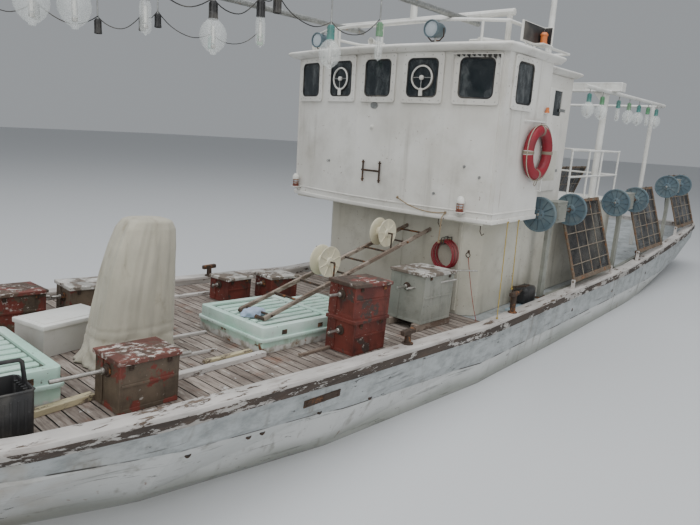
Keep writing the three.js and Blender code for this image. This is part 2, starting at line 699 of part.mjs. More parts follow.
// Chart room: narrower walls behind the wheelhouse, with a door to the boat deck on the port side
const CHART_DOOR = { x: -2300, width: 600, sill: 260, height: 1550, leaf: 36 };
const chartWall = cut(
  prism(
    [
      [WHEELHOUSE_AFT_X - SEAT, CHART_ROOM_HALF_W],
      [CHART_ROOM_AFT_X, CHART_ROOM_HALF_W],
      [CHART_ROOM_AFT_X, -CHART_ROOM_HALF_W],
      [WHEELHOUSE_AFT_X - SEAT, -CHART_ROOM_HALF_W],
      [WHEELHOUSE_AFT_X - SEAT, -CHART_ROOM_HALF_W + WALL],
      [CHART_ROOM_AFT_X + WALL, -CHART_ROOM_HALF_W + WALL],
      [CHART_ROOM_AFT_X + WALL, CHART_ROOM_HALF_W - WALL],
      [WHEELHOUSE_AFT_X - SEAT, CHART_ROOM_HALF_W - WALL],
    ],
    WALL_H,
    WALL_Z,
  ),
  block(CHART_DOOR.width, 300, CHART_DOOR.height, CHART_DOOR.x, CHART_ROOM_HALF_W, WALL_Z + CHART_DOOR.sill),
  block(460, 300, 420, -1450, CHART_ROOM_HALF_W, 3600),
  block(460, 300, 420, -1450, -CHART_ROOM_HALF_W, 3600),
);
add('chart_room_walls', chartWall, paint.bridge);
const chartDoor = add(
  'chart_room_door',
  cut(
    hangingDoor(CHART_DOOR.width + 50, CHART_DOOR.height + 40, CHART_DOOR.leaf, -1),
    block(200, 300, 380, 0, 0, 1180),
  ),
  paint.bridge,
);
chartDoor.position.set(
  CHART_DOOR.x, CHART_ROOM_HALF_W + CHART_DOOR.leaf / 2 + SEAT, WALL_Z + CHART_DOOR.sill - 20,
);
chartDoor.rotation.z = -Math.PI / 2;

// Glass: one band behind the front and side windows
const GLASS_T = 10;
const sideGlassY = WHEELHOUSE_HALF_W - WALL - SEAT;
const bandAftX = SIDE_WINDOW.x - SIDE_WINDOW.width / 2 - 80;
const bandHalf = (grow) => [
  [bandAftX, sideGlassY - grow],
  [frontX(1700) - WALL - 40 - grow, sideGlassY - grow],
];
const glassOutline = (grow) => [
  ...bandHalf(grow),
  ...FACET_YS.slice(1, 5).reverse().map((y) => [frontX(y) - WALL - 12 - grow, y * 0.97]),
  ...bandHalf(grow).map(([x, y]) => [x, -y]).reverse(),
];
add(
  'wheelhouse_glass',
  prism([...glassOutline(0), ...glassOutline(GLASS_T).reverse()], 640, SIDE_WINDOW.sill - 60),
  paint.glass,
);

// Roof over both rooms, with a tapered soffit edge
const roofOutline = (grow) => [
  ...FACET_YS.map((y) => [frontX(y * 0.96) + 150 + grow, y * (1 + (110 + grow) / WHEELHOUSE_HALF_W)]),
  [WHEELHOUSE_AFT_X - 150, WHEELHOUSE_HALF_W + 110 + grow],
  [WHEELHOUSE_AFT_X - 300, CHART_ROOM_HALF_W + 110 + grow],
  [CHART_ROOM_AFT_X - 120 - grow, CHART_ROOM_HALF_W + 110 + grow],
  [CHART_ROOM_AFT_X - 120 - grow, -CHART_ROOM_HALF_W - 110 - grow],
  [WHEELHOUSE_AFT_X - 300, -CHART_ROOM_HALF_W - 110 - grow],
  [WHEELHOUSE_AFT_X - 150, -WHEELHOUSE_HALF_W - 110 - grow],
];
const roofRing = (grow, z) => roofOutline(grow).map(([x, y]) => [x, y, z]);
const ROOF_Z = WHEELHOUSE_TOP_Z + SEAT;
add(
  'wheelhouse_roof',
  loftUp([
    roofRing(-70, ROOF_Z),
    roofRing(0, ROOF_Z + 50),
    roofRing(0, ROOF_Z + 75),
    roofRing(-25, ROOF_Z + ROOF_H),
  ]),
  paint.bridge,
);
const ROOF_TOP = ROOF_Z + ROOF_H + SEAT;

// Helm console inside the front windows, with the wheel's boss joined to it
add(
  'helm_console',
  join(
    block(420, 2300, 980, 60, 0, WALL_Z),
    block(360, 2300, 90, 90, 0, WALL_Z + 970),
    rod([-150, 500, WALL_Z + 800], [-230, 500, WALL_Z + 830], 40, 10),
    block(500, 500, 90, -520, 500, WALL_Z + 560),
    rod([-520, 500, WALL_Z], [-520, 500, WALL_Z + 580], 45, 10),
    block(90, 500, 520, -750, 500, WALL_Z + 620),
    block(700, 520, 12, -420, 500, WALL_Z),
  ),
  paint.house,
);

// Pipe rail, searchlights and sidelight boards on the roof, one welded frame
const RAIL_Z = ROOF_TOP + 290;
const PIPE_R = 21;
const railLoop = [
  [-2850, 1200], [-1300, 1200], [-900, 1640], [120, 1640], [420, 1100], [520, 560],
  [520, -560], [420, -1100], [120, -1640], [-900, -1640], [-1300, -1200], [-2850, -1200], [-2850, 1200],
];
const middles = railLoop.slice(1).map(([x, y], i) => [(x + railLoop[i][0]) / 2, (y + railLoop[i][1]) / 2]);
const roofPosts = middles.map(([x, y]) => rod([x, y, ROOF_TOP], [x, y, RAIL_Z], PIPE_R * 0.8, 6));
const railPipe = run(railLoop.map(([x, y]) => [x, y, RAIL_Z]), PIPE_R, 6);
const LIGHT_POSTS = [4, 7]; // the rail posts that carry the searchlights
const searchlights = LIGHT_POSTS.map((i) => {
  const [x, y] = middles[i];
  return rod([x - 60, y, ROOF_TOP + 170], [x + 130, y, ROOF_TOP + 170], 92, 12, 110);
});
const sidelight = (side) => [
  block(620, 24, 240, -250, side * 1790, ROOF_TOP + 60),
  block(24, 140, 240, -550, side * 1850, ROOF_TOP + 60),
  rod([-420, side * 1850, ROOF_TOP + 62], [-420, side * 1850, ROOF_TOP + 230], 50, 10),
  block(300, 160, 20, -420, side * 1850, ROOF_TOP + 55),
  rod([-250, side * 1760, ROOF_TOP], [-250, side * 1760, ROOF_TOP + 200], 30, 6),
  rod([-390, side * 1640, ROOF_TOP + 150], [-390, side * 1785, ROOF_TOP + 150], 14, 6),
];
add(
  'roof_rail',
  join(...roofPosts, railPipe, ...searchlights, ...sidelight(1), ...sidelight(-1)),
  paint.whitePipe,
);

// Lamps. Each hangs on a stem under its boom: a socket and a glass bulb, round or long.
// radius and height below the stem's foot, from the lowest point up
const LAMP_PROFILES = {
  globe: [[0, -430], [80, -400], [118, -305], [104, -240], [48, -165], [38, -2], [9, 0]],
  tube: [[0, -410], [46, -390], [52, -180], [46, -160], [38, -2], [9, 0]],
  socket: [[0, -160], [42, -155], [34, -2], [9, 0]],
};
const lampAt = (x, y, z, kind, stem = 90) =>
  turned([...LAMP_PROFILES[kind], [9, stem], [0, stem]], 8).translate(x, y, z - stem);
// The lamps of a boom: kind, x, stem's length
const BOOM_LAMPS = [
  ['globe', 6300, 460],
  ['tube', 5800, 440],
  ['globe', 5380, 500],
  ['globe', 5100, 480],
  ['tube', 4570, 460],
  ['globe', 3960, 500],
  ['tube', 3460, 395],
  ['socket', 3270, 330],
  ['globe', 2560, 460],
  ['tube', 1800, 310],
];

// Foremast with a crosstree that takes the booms' fore ends
const MAST_STEP_HALF = 190;
const mastStepTop = deckHeight(FOREMAST_X + MAST_STEP_HALF) + BOARD_H + 60;
const mastStepRing = (x) => {
  const z = deckHeight(x) + BOARD_H + 2 * SEAT;
  return [
    [x, -MAST_STEP_HALF, z],
    [x, -MAST_STEP_HALF, mastStepTop],
    [x, MAST_STEP_HALF, mastStepTop],
    [x, MAST_STEP_HALF, z],
  ];
};
const MAST_TOP_Z = 6400;
const BOOM_R = 38;
add(
  'foremast',
  join(
    loft([FOREMAST_X - MAST_STEP_HALF, FOREMAST_X + MAST_STEP_HALF].map(mastStepRing)),
    rod([FOREMAST_X, 0, mastStepTop - 10], [FOREMAST_X, 0, MAST_TOP_Z], 95, 12, 60),
    rod([FOREMAST_X, -BOOM_Y - 120, BOOM_Z + 90], [FOREMAST_X, BOOM_Y + 120, BOOM_Z + 90], 45, 8),
    rod([FOREMAST_X, -600, 5900], [FOREMAST_X, 600, 5900], 32, 8),
    rod([FOREMAST_X, 0, MAST_TOP_Z - 10], [FOREMAST_X, 0, MAST_TOP_Z + 160], 60, 8),
  ),
  paint.whitePipe,
);

// Gantry across the roof carries the booms' aft ends, with the radar's post on its beam
const GANTRY_X = -150;
const GANTRY_BEAM_Z = BOOM_Z + 90;
const RADAR_Z = GANTRY_BEAM_Z + 620;
add(
  'roof_gantry',
  join(
    rod([GANTRY_X, -1500, ROOF_TOP], [GANTRY_X, -1500, GANTRY_BEAM_Z + 10], 38, 8),
    rod([GANTRY_X, 1500, ROOF_TOP], [GANTRY_X, 1500, GANTRY_BEAM_Z + 10], 38, 8),
    rod([GANTRY_X, -1560, GANTRY_BEAM_Z], [GANTRY_X, 1560, GANTRY_BEAM_Z], 45, 8),
    rod([GANTRY_X, 0, GANTRY_BEAM_Z], [GANTRY_X, 0, RADAR_Z - 90], 50, 10),
    rod([GANTRY_X, 0, RADAR_Z - 100], [GANTRY_X, 0, RADAR_Z], 160, 12, 120),
  ),
  paint.whitePipe,
);
add(
  'radar_scanner',
  join(
    rod([GANTRY_X, 0, RADAR_Z + SEAT], [GANTRY_X, 0, RADAR_Z + 50], 50, 10),
    block(120, 1250, 110, GANTRY_X, 0, RADAR_Z + 45),
  ),
  paint.whitePipe,
);

['port', 'starboard'].forEach((name, i) => {
  const y = (i ? -1 : 1) * BOOM_Y;
  const parts = [rod([GANTRY_X - 100, y, BOOM_Z], [FOREMAST_X + 100, y, BOOM_Z], BOOM_R, 8)];
  BOOM_LAMPS.forEach(([kind, x, stem]) => {
    parts.push(lampAt(x, y, BOOM_Z, i ? 'socket' : kind, stem));
  });
  add(`lamp_boom_${name}`, join(...parts), paint.galvanised);
});

// Aft gantry: a white box beam on two posts over the boat deck, lamps under two fore-and-aft pipes
const AFT_GANTRY_X = -4700;
const AFT_BEAM_Z = 4150;
const AFT_POST_X = AFT_GANTRY_X - 3500;
const AFT_POST_R = 48;
const aftPostFoot = deckHeight(AFT_POST_X - AFT_POST_R) + SEAT; // clear of the deck, which rises aft
const boatDeckTop = LEDGE_Z + FLOOR_H + SEAT;
add(
  'aft_gantry',
  join(
    rod([AFT_GANTRY_X, 1250, boatDeckTop], [AFT_GANTRY_X, 1250, AFT_BEAM_Z + 10], 60, 8),
    rod([AFT_GANTRY_X, -1250, boatDeckTop], [AFT_GANTRY_X, -1250, AFT_BEAM_Z + 10], 60, 8),
    block(220, 3100, 160, AFT_GANTRY_X, 0, AFT_BEAM_Z),
    rod([AFT_GANTRY_X, 0, AFT_BEAM_Z + 150], [AFT_GANTRY_X, 0, 6900], 70, 10, 45),
    rod([AFT_GANTRY_X, -500, 6300], [AFT_GANTRY_X, 500, 6300], 28, 8),
    ...[-1, 1].flatMap((side) => [
      rod(
        [AFT_GANTRY_X - 3600, side * 1350, AFT_BEAM_Z - 12],
        [AFT_GANTRY_X + 1300, side * 1350, AFT_BEAM_Z - 12],
        36,
        8,
      ),
      ...[1100, 450, -450, -1100, -1750, -2400, -3050].map((dx, k) =>
        lampAt(AFT_GANTRY_X + dx, side * 1350, AFT_BEAM_Z - 20, k % 3 === 2 ? 'tube' : 'globe'),
      ),
    ]),
    rod([AFT_POST_X, -1362, AFT_BEAM_Z - 33], [AFT_POST_X, 1362, AFT_BEAM_Z - 33], 30, 7),
    ...[-1150, 1150].map((y) =>
      rod([AFT_POST_X, y, aftPostFoot], [AFT_POST_X, y, AFT_BEAM_Z + 36], AFT_POST_R, 9),
    ),
  ),
  paint.whitePipe,
);

// Funnel and the guard rail of the boat deck
add(
  'funnel',
  join(
    block(620, 560, 1150, -3650, 0, boatDeckTop),
    rod([-3650, 120, boatDeckTop + 1140], [-3650, 120, boatDeckTop + 1560], 90, 12),
    rod([-3650, -150, boatDeckTop + 1140], [-3650, -150, boatDeckTop + 1450], 55, 10),
  ),
  paint.house,
);
const guardPosts = [-3000, -3800, -4450, -5380];
const guardSide = (side) => [
  ...guardPosts.map((x) => rod([x, side * 1430, boatDeckTop], [x, side * 1430, boatDeckTop + 900], 18, 6)),
  ...[450, 900].map((h) =>
    rod([-3000, side * 1430, boatDeckTop + h], [-5380, side * 1430, boatDeckTop + h], 18, 6),
  ),
];
add(
  'boat_deck_rail',
  join(
    ...guardSide(1),
    ...guardSide(-1),
    ...[450, 900].map((h) => rod([-5380, -1430, boatDeckTop + h], [-5380, 1430, boatDeckTop + h], 18, 6)),
  ),
  paint.whitePipe,
);

// The racks themselves: a frame with a grid, stowed leaning inboard on the foot pipe's two pins
const rackHoles = [];
const [cols, rowsOfWire] = [4, 5];
for (let c = 0; c < cols; c += 1) {
  for (let r = 0; r < rowsOfWire; r += 1) {
    const w = (RACK.width - 2 * 60) / cols;
    const h = (RACK.height - 2 * 60) / rowsOfWire;
    const [x0, y0] = [-RACK.width / 2 + 60 + c * w + 12, 60 + r * h + 12];
    rackHoles.push([[x0, y0], [x0 + w - 24, y0], [x0 + w - 24, y0 + h - 24], [x0, y0 + h - 24]]);
  }
}
const rackOutline = [
  [-RACK.width / 2, 0], [RACK.width / 2, 0], [RACK.width / 2, RACK.height], [-RACK.width / 2, RACK.height],
];
const rackPanel = prism(rackOutline, RACK.bar, -RACK.bar / 2, rackHoles).rotateX(Math.PI / 2);
const rackPin = RACK.width / 2 + RACK.reach;
const rackShape = join(rackPanel, rod([-rackPin, 0, 0], [rackPin, 0, 0], RACK.pin, 8));
racks.forEach(({ name, side, x, y, z }) => {
  const rack = add(name, rackShape, paint.rack);
  rack.position.set(x, y, z);
  rack.rotation.x = side * RACK.lean;
});

// Jigging machines between the racks, on a foundation rail along each side: a post, a head with the
// shaft's bore through it, and a broad drum at each end of the shaft
const MACHINE_XS = [-1850, -5250, -8750];
const MACHINE = { y: 1665, headY: 1740, axleZ: 1440, headLength: 360, headWidth: 190, headHeight: 300 };
const DISC = { x: 600, radius: 260, hub: 75, width: 60, hubWidth: 84 };
const SHAFT_R = 20;
const BORE_R = 20.8;
const FOUNDATION_H = 60;
const FOUNDATION_HALF_W = 35;
const [rimHalf, hubHalf] = [DISC.width / 2, DISC.hubWidth / 2];
const discShape = turned(
  [
    [0, -hubHalf], [DISC.hub, -hubHalf], [DISC.hub + 20, -rimHalf * 0.6], [DISC.radius, -rimHalf],
    [DISC.radius, rimHalf], [DISC.hub + 20, rimHalf * 0.6], [DISC.hub, hubHalf], [0, hubHalf],
  ],
  20,
).rotateY(Math.PI / 2);
['port', 'starboard'].forEach((name, i) => {
  const side = i ? -1 : 1;
  const y = side * MACHINE.y;
  const railRing = (x) => {
    const z = deckHeight(x) + SEAT;
    return [
      [x, y - FOUNDATION_HALF_W, z],
      [x, y - FOUNDATION_HALF_W, z + FOUNDATION_H],
      [x, y + FOUNDATION_HALF_W, z + FOUNDATION_H],
      [x, y + FOUNDATION_HALF_W, z],
    ];
  };
  const foundation = loft([MACHINE_XS[2] - 260, AFT_RISE_X, MACHINE_XS[0] + 260].map(railRing));
  const machines = MACHINE_XS.flatMap((x) => {
    const axleZ = deckHeight(x) + MACHINE.axleZ;
    return [
      block(130, 60, MACHINE.axleZ - 140, x, y, deckHeight(x) + 20),
      block(MACHINE.headLength, MACHINE.headWidth, MACHINE.headHeight, x, side * MACHINE.headY, axleZ - 150),
    ];
  });
  const bores = MACHINE_XS.map((x) => {
    const axleZ = deckHeight(x) + MACHINE.axleZ;
    return rod([x - 300, side * MACHINE.headY, axleZ], [x + 300, side * MACHINE.headY, axleZ], BORE_R, 16);
  });
  add(`jig_machines_${name}`, cut(join(foundation, ...machines), ...bores), paint.galvanised);
  MACHINE_XS.forEach((x, k) => {
    const axleZ = deckHeight(x) + MACHINE.axleZ;
    const drums = add(
      `jig_drums_${name}_${k + 1}`,
      join(
        discShape.clone().translate(DISC.x, 0, 0),
        discShape.clone().translate(-DISC.x, 0, 0),
        rod([-DISC.x - 60, 0, 0], [DISC.x + 60, 0, 0], SHAFT_R, 8),
      ),
      paint.disc,
    );
    drums.position.set(x, side * MACHINE.headY, axleZ);
  });
});

// Mooring bitts and anchor roller at the bow, one casting on a base plate
const BITT_X = 8060;
const bittZ = deckHeight(BITT_X);
const bitts = join(
  block(420, 520, 30, 0, 0, SEAT),
  rod([0, 150, 20], [0, 150, 360], 65, 10),
  rod([0, -150, 20], [0, -150, 360], 65, 10),
  rod([0, -260, 260], [0, 260, 260], 32, 8),
);
const bow = add('mooring_bitts', bitts, paint.rack);
bow.position.set(BITT_X, 0, bittZ);
bow.rotation.y = -Math.atan(BOW_SLOPE);

// Propeller and shaft, and the rudder on its stock
const blade = (angle) =>
  new THREE.SphereGeometry(1, 8, 5)
    .scale(26, PROPELLER_R * 0.3, PROPELLER_R * 0.44)
    .translate(0, 0, PROPELLER_R * 0.56)
    .rotateZ(0.55)
    .rotateX(angle);
const propeller = add(
  'propeller',
  join(
    rod([-90, 0, 0], [90, 0, 0], 75, 12, 90),
    rod([-150, 0, 0], [-85, 0, 0], 30, 12, 70),
    rod([80, 0, 0], [440, 0, 0], SHAFT_IN_HULL_R, 12),
    ...[0, 1, 2, 3].map((k) => blade((k * Math.PI) / 2)),
  ),
  paint.bronze,
);
propeller.position.set(PROPELLER_X, 0, PROPELLER_Z);

const RUDDER = { chord: 560, balance: 130, foot: -1285, top: -530 };
const rudderPlan = [
  [RUDDER.balance, 0], [RUDDER.balance - 60, 32], [0, 40], [-RUDDER.chord + RUDDER.balance, 8],
  [-RUDDER.chord + RUDDER.balance, -8], [0, -40], [RUDDER.balance - 60, -32],
];
const rudder = add(
  'rudder',
  join(
    prism(rudderPlan, RUDDER.top - RUDDER.foot, RUDDER.foot),
    rod([0, 0, RUDDER.top - 10], [0, 0, STOCK_TOP_Z], STOCK_R, 12),
  ),
  paint.bottom,
);
rudder.position.set(RUDDER_X, 0, 0);

// Ring buoy on the port side of the wheelhouse
const buoy = add('ring_buoy', new THREE.TorusGeometry(290, 75, 8, 16).rotateX(Math.PI / 2), paint.buoy);
buoy.position.set(-640, WHEELHOUSE_HALF_W + 75 + SEAT, 3020);

export default boat;
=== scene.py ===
"""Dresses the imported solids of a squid-jigging boat and sets them on a plain floor.

Each solid gets a procedural finish, and the pieces that the solids leave out are modelled here.
Lengths are in metres. +X is the bow, +Y the port side, +Z up, and the origin lies on the
centreline at the waterline, where the boat floats.
"""

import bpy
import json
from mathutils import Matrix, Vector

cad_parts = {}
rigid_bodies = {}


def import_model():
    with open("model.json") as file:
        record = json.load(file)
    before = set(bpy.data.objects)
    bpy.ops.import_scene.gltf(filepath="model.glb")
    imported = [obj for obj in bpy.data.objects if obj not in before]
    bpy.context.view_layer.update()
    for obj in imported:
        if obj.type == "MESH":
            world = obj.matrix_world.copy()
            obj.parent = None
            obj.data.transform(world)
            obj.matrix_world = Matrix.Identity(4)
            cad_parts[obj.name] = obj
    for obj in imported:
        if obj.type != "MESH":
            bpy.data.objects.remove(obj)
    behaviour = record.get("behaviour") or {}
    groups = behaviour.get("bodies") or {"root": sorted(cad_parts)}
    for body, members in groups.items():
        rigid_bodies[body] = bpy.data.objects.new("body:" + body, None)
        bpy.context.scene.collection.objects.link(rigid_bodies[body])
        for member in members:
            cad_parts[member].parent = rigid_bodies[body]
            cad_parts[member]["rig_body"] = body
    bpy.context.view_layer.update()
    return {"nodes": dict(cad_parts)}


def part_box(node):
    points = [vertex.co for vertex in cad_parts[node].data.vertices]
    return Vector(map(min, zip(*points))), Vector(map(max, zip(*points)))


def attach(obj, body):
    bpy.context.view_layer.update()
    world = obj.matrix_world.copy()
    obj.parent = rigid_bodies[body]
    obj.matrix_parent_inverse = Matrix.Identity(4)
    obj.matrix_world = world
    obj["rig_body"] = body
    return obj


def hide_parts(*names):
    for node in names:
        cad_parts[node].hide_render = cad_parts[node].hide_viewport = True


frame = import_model()

import json
import logging
import math
import random
from contextlib import contextmanager
from dataclasses import dataclass, field
from enum import Enum
from typing import Callable, Iterable, Iterator, Mapping, Sequence

import bmesh
import bpy
from mathutils import Matrix, Vector, noise
from mathutils.bvhtree import BVHTree

log = logging.getLogger("boat")

Colour = tuple[float, float, float]
Point = tuple[float, float, float]
Object = bpy.types.Object


class Side(Enum):
    """A side of the boat, valued by the sign of its Y."""

    PORT = 1
    STARBOARD = -1


class Axis(Enum):
    """A direction along which a turned piece stands."""

    X = "x"
    Y = "y"
    Z = "z"


# ---- Measures that several pieces share

# The deck is level from STERN_X to DECK_X. It rises ahead of that, steeper from BOW_X on, and aft of STERN_X.
DECK_X, DECK_Z, DECK_SLOPE = 0.35, 0.69, 0.065
BOW_X, BOW_SLOPE = 6.4, 0.165
STERN_X, STERN_SLOPE = -5.5, 0.06
DECK = Matrix.Translation((DECK_X, 0.0, DECK_Z)) @ Matrix.Rotation(-math.atan(DECK_SLOPE), 4, "Y")
DECK_TOP = 0.0306
BOARD_PITCH = 0.115

# The wheelhouse's front wall bows from its corners to FRONT_X, in flats between the FACET_YS.
HOUSE_HALF_W = 1.8
FRONT_X, FRONT_BOW = 0.54, 0.24
FACET_YS = (-HOUSE_HALF_W, -1.06, -0.355, 0.355, 1.06, HOUSE_HALF_W)
SIDE_WINDOW_X = -0.12
BOAT_DECK_TOP = 2.1603
BUOY_PLACE = (-0.64, 1.8753, 3.02)

# Where the racks and the jigging machines stand along each side, and the height of the line drums' axle.
RACK_PLACES = ((-3.5, 1.905), (-7.0, 1.9), (-10.5, 1.772))
MACHINE_XS = (-1.85, -5.25, -8.75)
MACHINE_Y = 1.74
AXLE_HEIGHT = 1.44

# Rays down onto the rail start at ABOVE, and rays in towards the hull at ABEAM.
ABOVE, ABEAM = 3.0, 4.0

MIRROR_Y = Matrix.Scale(-1.0, 4, (0, 1, 0))


# ---- Node materials


class Field:
    """An output socket that takes part in Python arithmetic by adding Math nodes."""

    def __init__(self, maker: "MaterialMaker", socket: bpy.types.NodeSocket) -> None:
        """Wraps a socket.

        Args:
            maker: The material that the socket belongs to.
            socket: The output socket.
        """
        self.maker = maker
        self.socket = socket

    def maths(self, operation: str, *values: "Field | float") -> "Field":
        """Adds a Math node on this field and other values, and returns its result."""
        return self.maker.node(
            "ShaderNodeMath", {"operation": operation}, dict(enumerate((self, *values)))
        )

    def __add__(self, other: "Field | float") -> "Field":
        """Adds."""
        return self.maths("ADD", other)

    __radd__ = __add__

    def __mul__(self, other: "Field | float") -> "Field":
        """Multiplies."""
        return self.maths("MULTIPLY", other)

    __rmul__ = __mul__

    def __sub__(self, other: "Field | float") -> "Field":
        """Subtracts."""
        return self.maths("SUBTRACT", other)

    def __rsub__(self, other: float) -> "Field":
        """Subtracts this field from a number."""
        return (self * -1.0) + other

    def __gt__(self, other: float) -> "Field":
        """Gives 1 where this field is greater."""
        return self.maths("GREATER_THAN", other)

    def __mod__(self, other: float) -> "Field":
        """Wraps the field round to the range from 0 to a number."""
        return self.maths("FLOORED_MODULO", other)

    def floor(self) -> "Field":
        """Rounds down."""
        return self.maths("FLOOR")

    def size(self) -> "Field":
        """Drops the sign."""
        return self.maths("ABSOLUTE")

    def most(self, other: "Field | float") -> "Field":
        """Takes the greater of two."""
        return self.maths("MAXIMUM", other)

    def least(self, other: "Field | float") -> "Field":
        """Takes the smaller of two."""
        return self.maths("MINIMUM", other)

    def rise(self, low: float, high: float) -> "Field":
        """Goes smoothly from 0 at low to 1 at high, or back if low is the greater."""
        flip = low > high
        start, end = (high, low) if flip else (low, high)
        out = self.maker.node(
            "ShaderNodeMapRange",
            {"interpolation_type": "SMOOTHSTEP"},
            {"Value": self, "From Min": start, "From Max": end},
        )
        return 1.0 - out if flip else out


class MaterialMaker:
    """Builds one node material round a Principled shader."""

    def __init__(self, name: str) -> None:
        """Starts an empty material.

        Args:
            name: The material's name.
        """
        self.material = bpy.data.materials.new(name)
        self.material.use_nodes = True
        self.tree = self.material.node_tree
        self.shader = self.tree.nodes["Principled BSDF"]
        self.seed = sum(ord(letter) for letter in name) % 97
        self.place = self.node("ShaderNodeTexCoord", output="Object")

    def node(
        self,
        kind: str,
        settings: Mapping[str, object] | None = None,
        values: Mapping[int | str, "Field | float | Sequence[float]"] | None = None,
        output: int | str = 0,
    ) -> Field:
        """Adds a node, sets it up and returns one of its outputs.

        Args:
            kind: The node's type.
            settings: Properties that are set first; "stops" gives a ramp's stops.
            values: Numbers for input sockets, or fields that are linked to them.
            output: The output's number or name.

        Returns:
            The output as a field.
        """
        made = self.tree.nodes.new(kind)
        for key, setting in (settings or {}).items():
            if key == "stops":
                self.set_stops(made.color_ramp, setting)
            else:
                setattr(made, key, setting)
        for key, value in (values or {}).items():
            if isinstance(value, Field):
                self.tree.links.new(value.socket, made.inputs[key])
            else:
                made.inputs[key].default_value = value
        return Field(self, made.outputs[output])

    @staticmethod
    def set_stops(ramp: bpy.types.ColorRamp, stops: Sequence[tuple[float, Colour]]) -> None:
        """Gives a ramp its stops, each a place and a colour."""
        while len(ramp.elements) > len(stops):
            ramp.elements.remove(ramp.elements[-1])
        while len(ramp.elements) < len(stops):
            ramp.elements.new(1.0)
        for element, (at, colour) in zip(ramp.elements, stops):
            element.position = at
            element.color = (*colour, 1.0)

    def stretched(self, scale: Sequence[float], shift: float = 0.0) -> Field:
        """Object coordinates, scaled along each axis and shifted by a number of metres."""
        return self.node(
            "ShaderNodeMapping",
            values={"Vector": self.place, "Scale": tuple(scale), "Location": (shift, shift * 0.7, -shift)},
        )

    def noise(
        self,
        scale: float,
        detail: float = 4.0,
        stretch: Sequence[float] = (1.0, 1.0, 1.0),
        roughness: float = 0.55,
    ) -> Field:
        """A noise from 0 to 1, new each time it is asked for."""
        self.seed += 3.7
        return self.node(
            "ShaderNodeTexNoise",
            values={
                "Vector": self.stretched(stretch, self.seed),
                "Scale": scale,
                "Detail": detail,
                "Roughness": roughness,
            },
        )

    def cells(self, scale: float, stretch: Sequence[float] = (1.0, 1.0, 1.0), jitter: float = 1.0) -> Field:
        """The distance to the nearest point of a scatter."""
        self.seed += 5.3
        return self.node(
            "ShaderNodeTexVoronoi",
            values={"Vector": self.stretched(stretch, self.seed), "Scale": scale, "Randomness": jitter},
        )

    def along(self, axis: Axis) -> Field:
        """One of the object coordinates."""
        return self.node("ShaderNodeSeparateXYZ", values={0: self.place}, output=axis.value.upper())

    def random_of(self, number: Field) -> Field:
        """A random number from 0 to 1 for each whole number."""
        return self.node("ShaderNodeTexWhiteNoise", {"noise_dimensions": "1D"}, {"W": number})

    def mix(self, mask: Field | float, low: Field | Colour, high: Field | Colour) -> Field:
        """Goes from one colour to another by a mask."""
        colours = [value if isinstance(value, Field) else (*value, 1.0) for value in (low, high)]
        return self.node(
            "ShaderNodeMix", {"data_type": "RGBA"}, {0: mask, 6: colours[0], 7: colours[1]}, output=2
        )

    def shade(self, colour: Field | Colour, roughness: Field | float, metallic: Field | float = 0.0) -> None:
        """Sets the shader's colour, roughness and metal."""
        for key, value in (("Base Color", colour), ("Roughness", roughness), ("Metallic", metallic)):
            if isinstance(value, Field):
                self.tree.links.new(value.socket, self.shader.inputs[key])
            elif key == "Base Color":
                self.shader.inputs[key].default_value = (*value, 1.0)
            else:
                self.shader.inputs[key].default_value = value

    def bump(self, height: Field, depth: float) -> None:
        """Feeds a height field to the shader's normal.

        Args:
            height: The height, from 0 to 1.
            depth: What a height of 1 stands for, in metres.
        """
        normal = self.node("ShaderNodeBump", values={"Height": height, "Distance": depth, "Strength": 1.0})
        self.tree.links.new(normal.socket, self.shader.inputs["Normal"])


@dataclass(frozen=True)
class Finish:
    """A finish that a material is built from."""

    name: str

    def build(self) -> bpy.types.Material:
        """Makes the node material."""
        maker = MaterialMaker(self.name)
        self.compose(maker)
        return maker.material

    def compose(self, m: MaterialMaker) -> None:
        """Adds this finish's nodes; each kind of finish has its own."""
        raise NotImplementedError


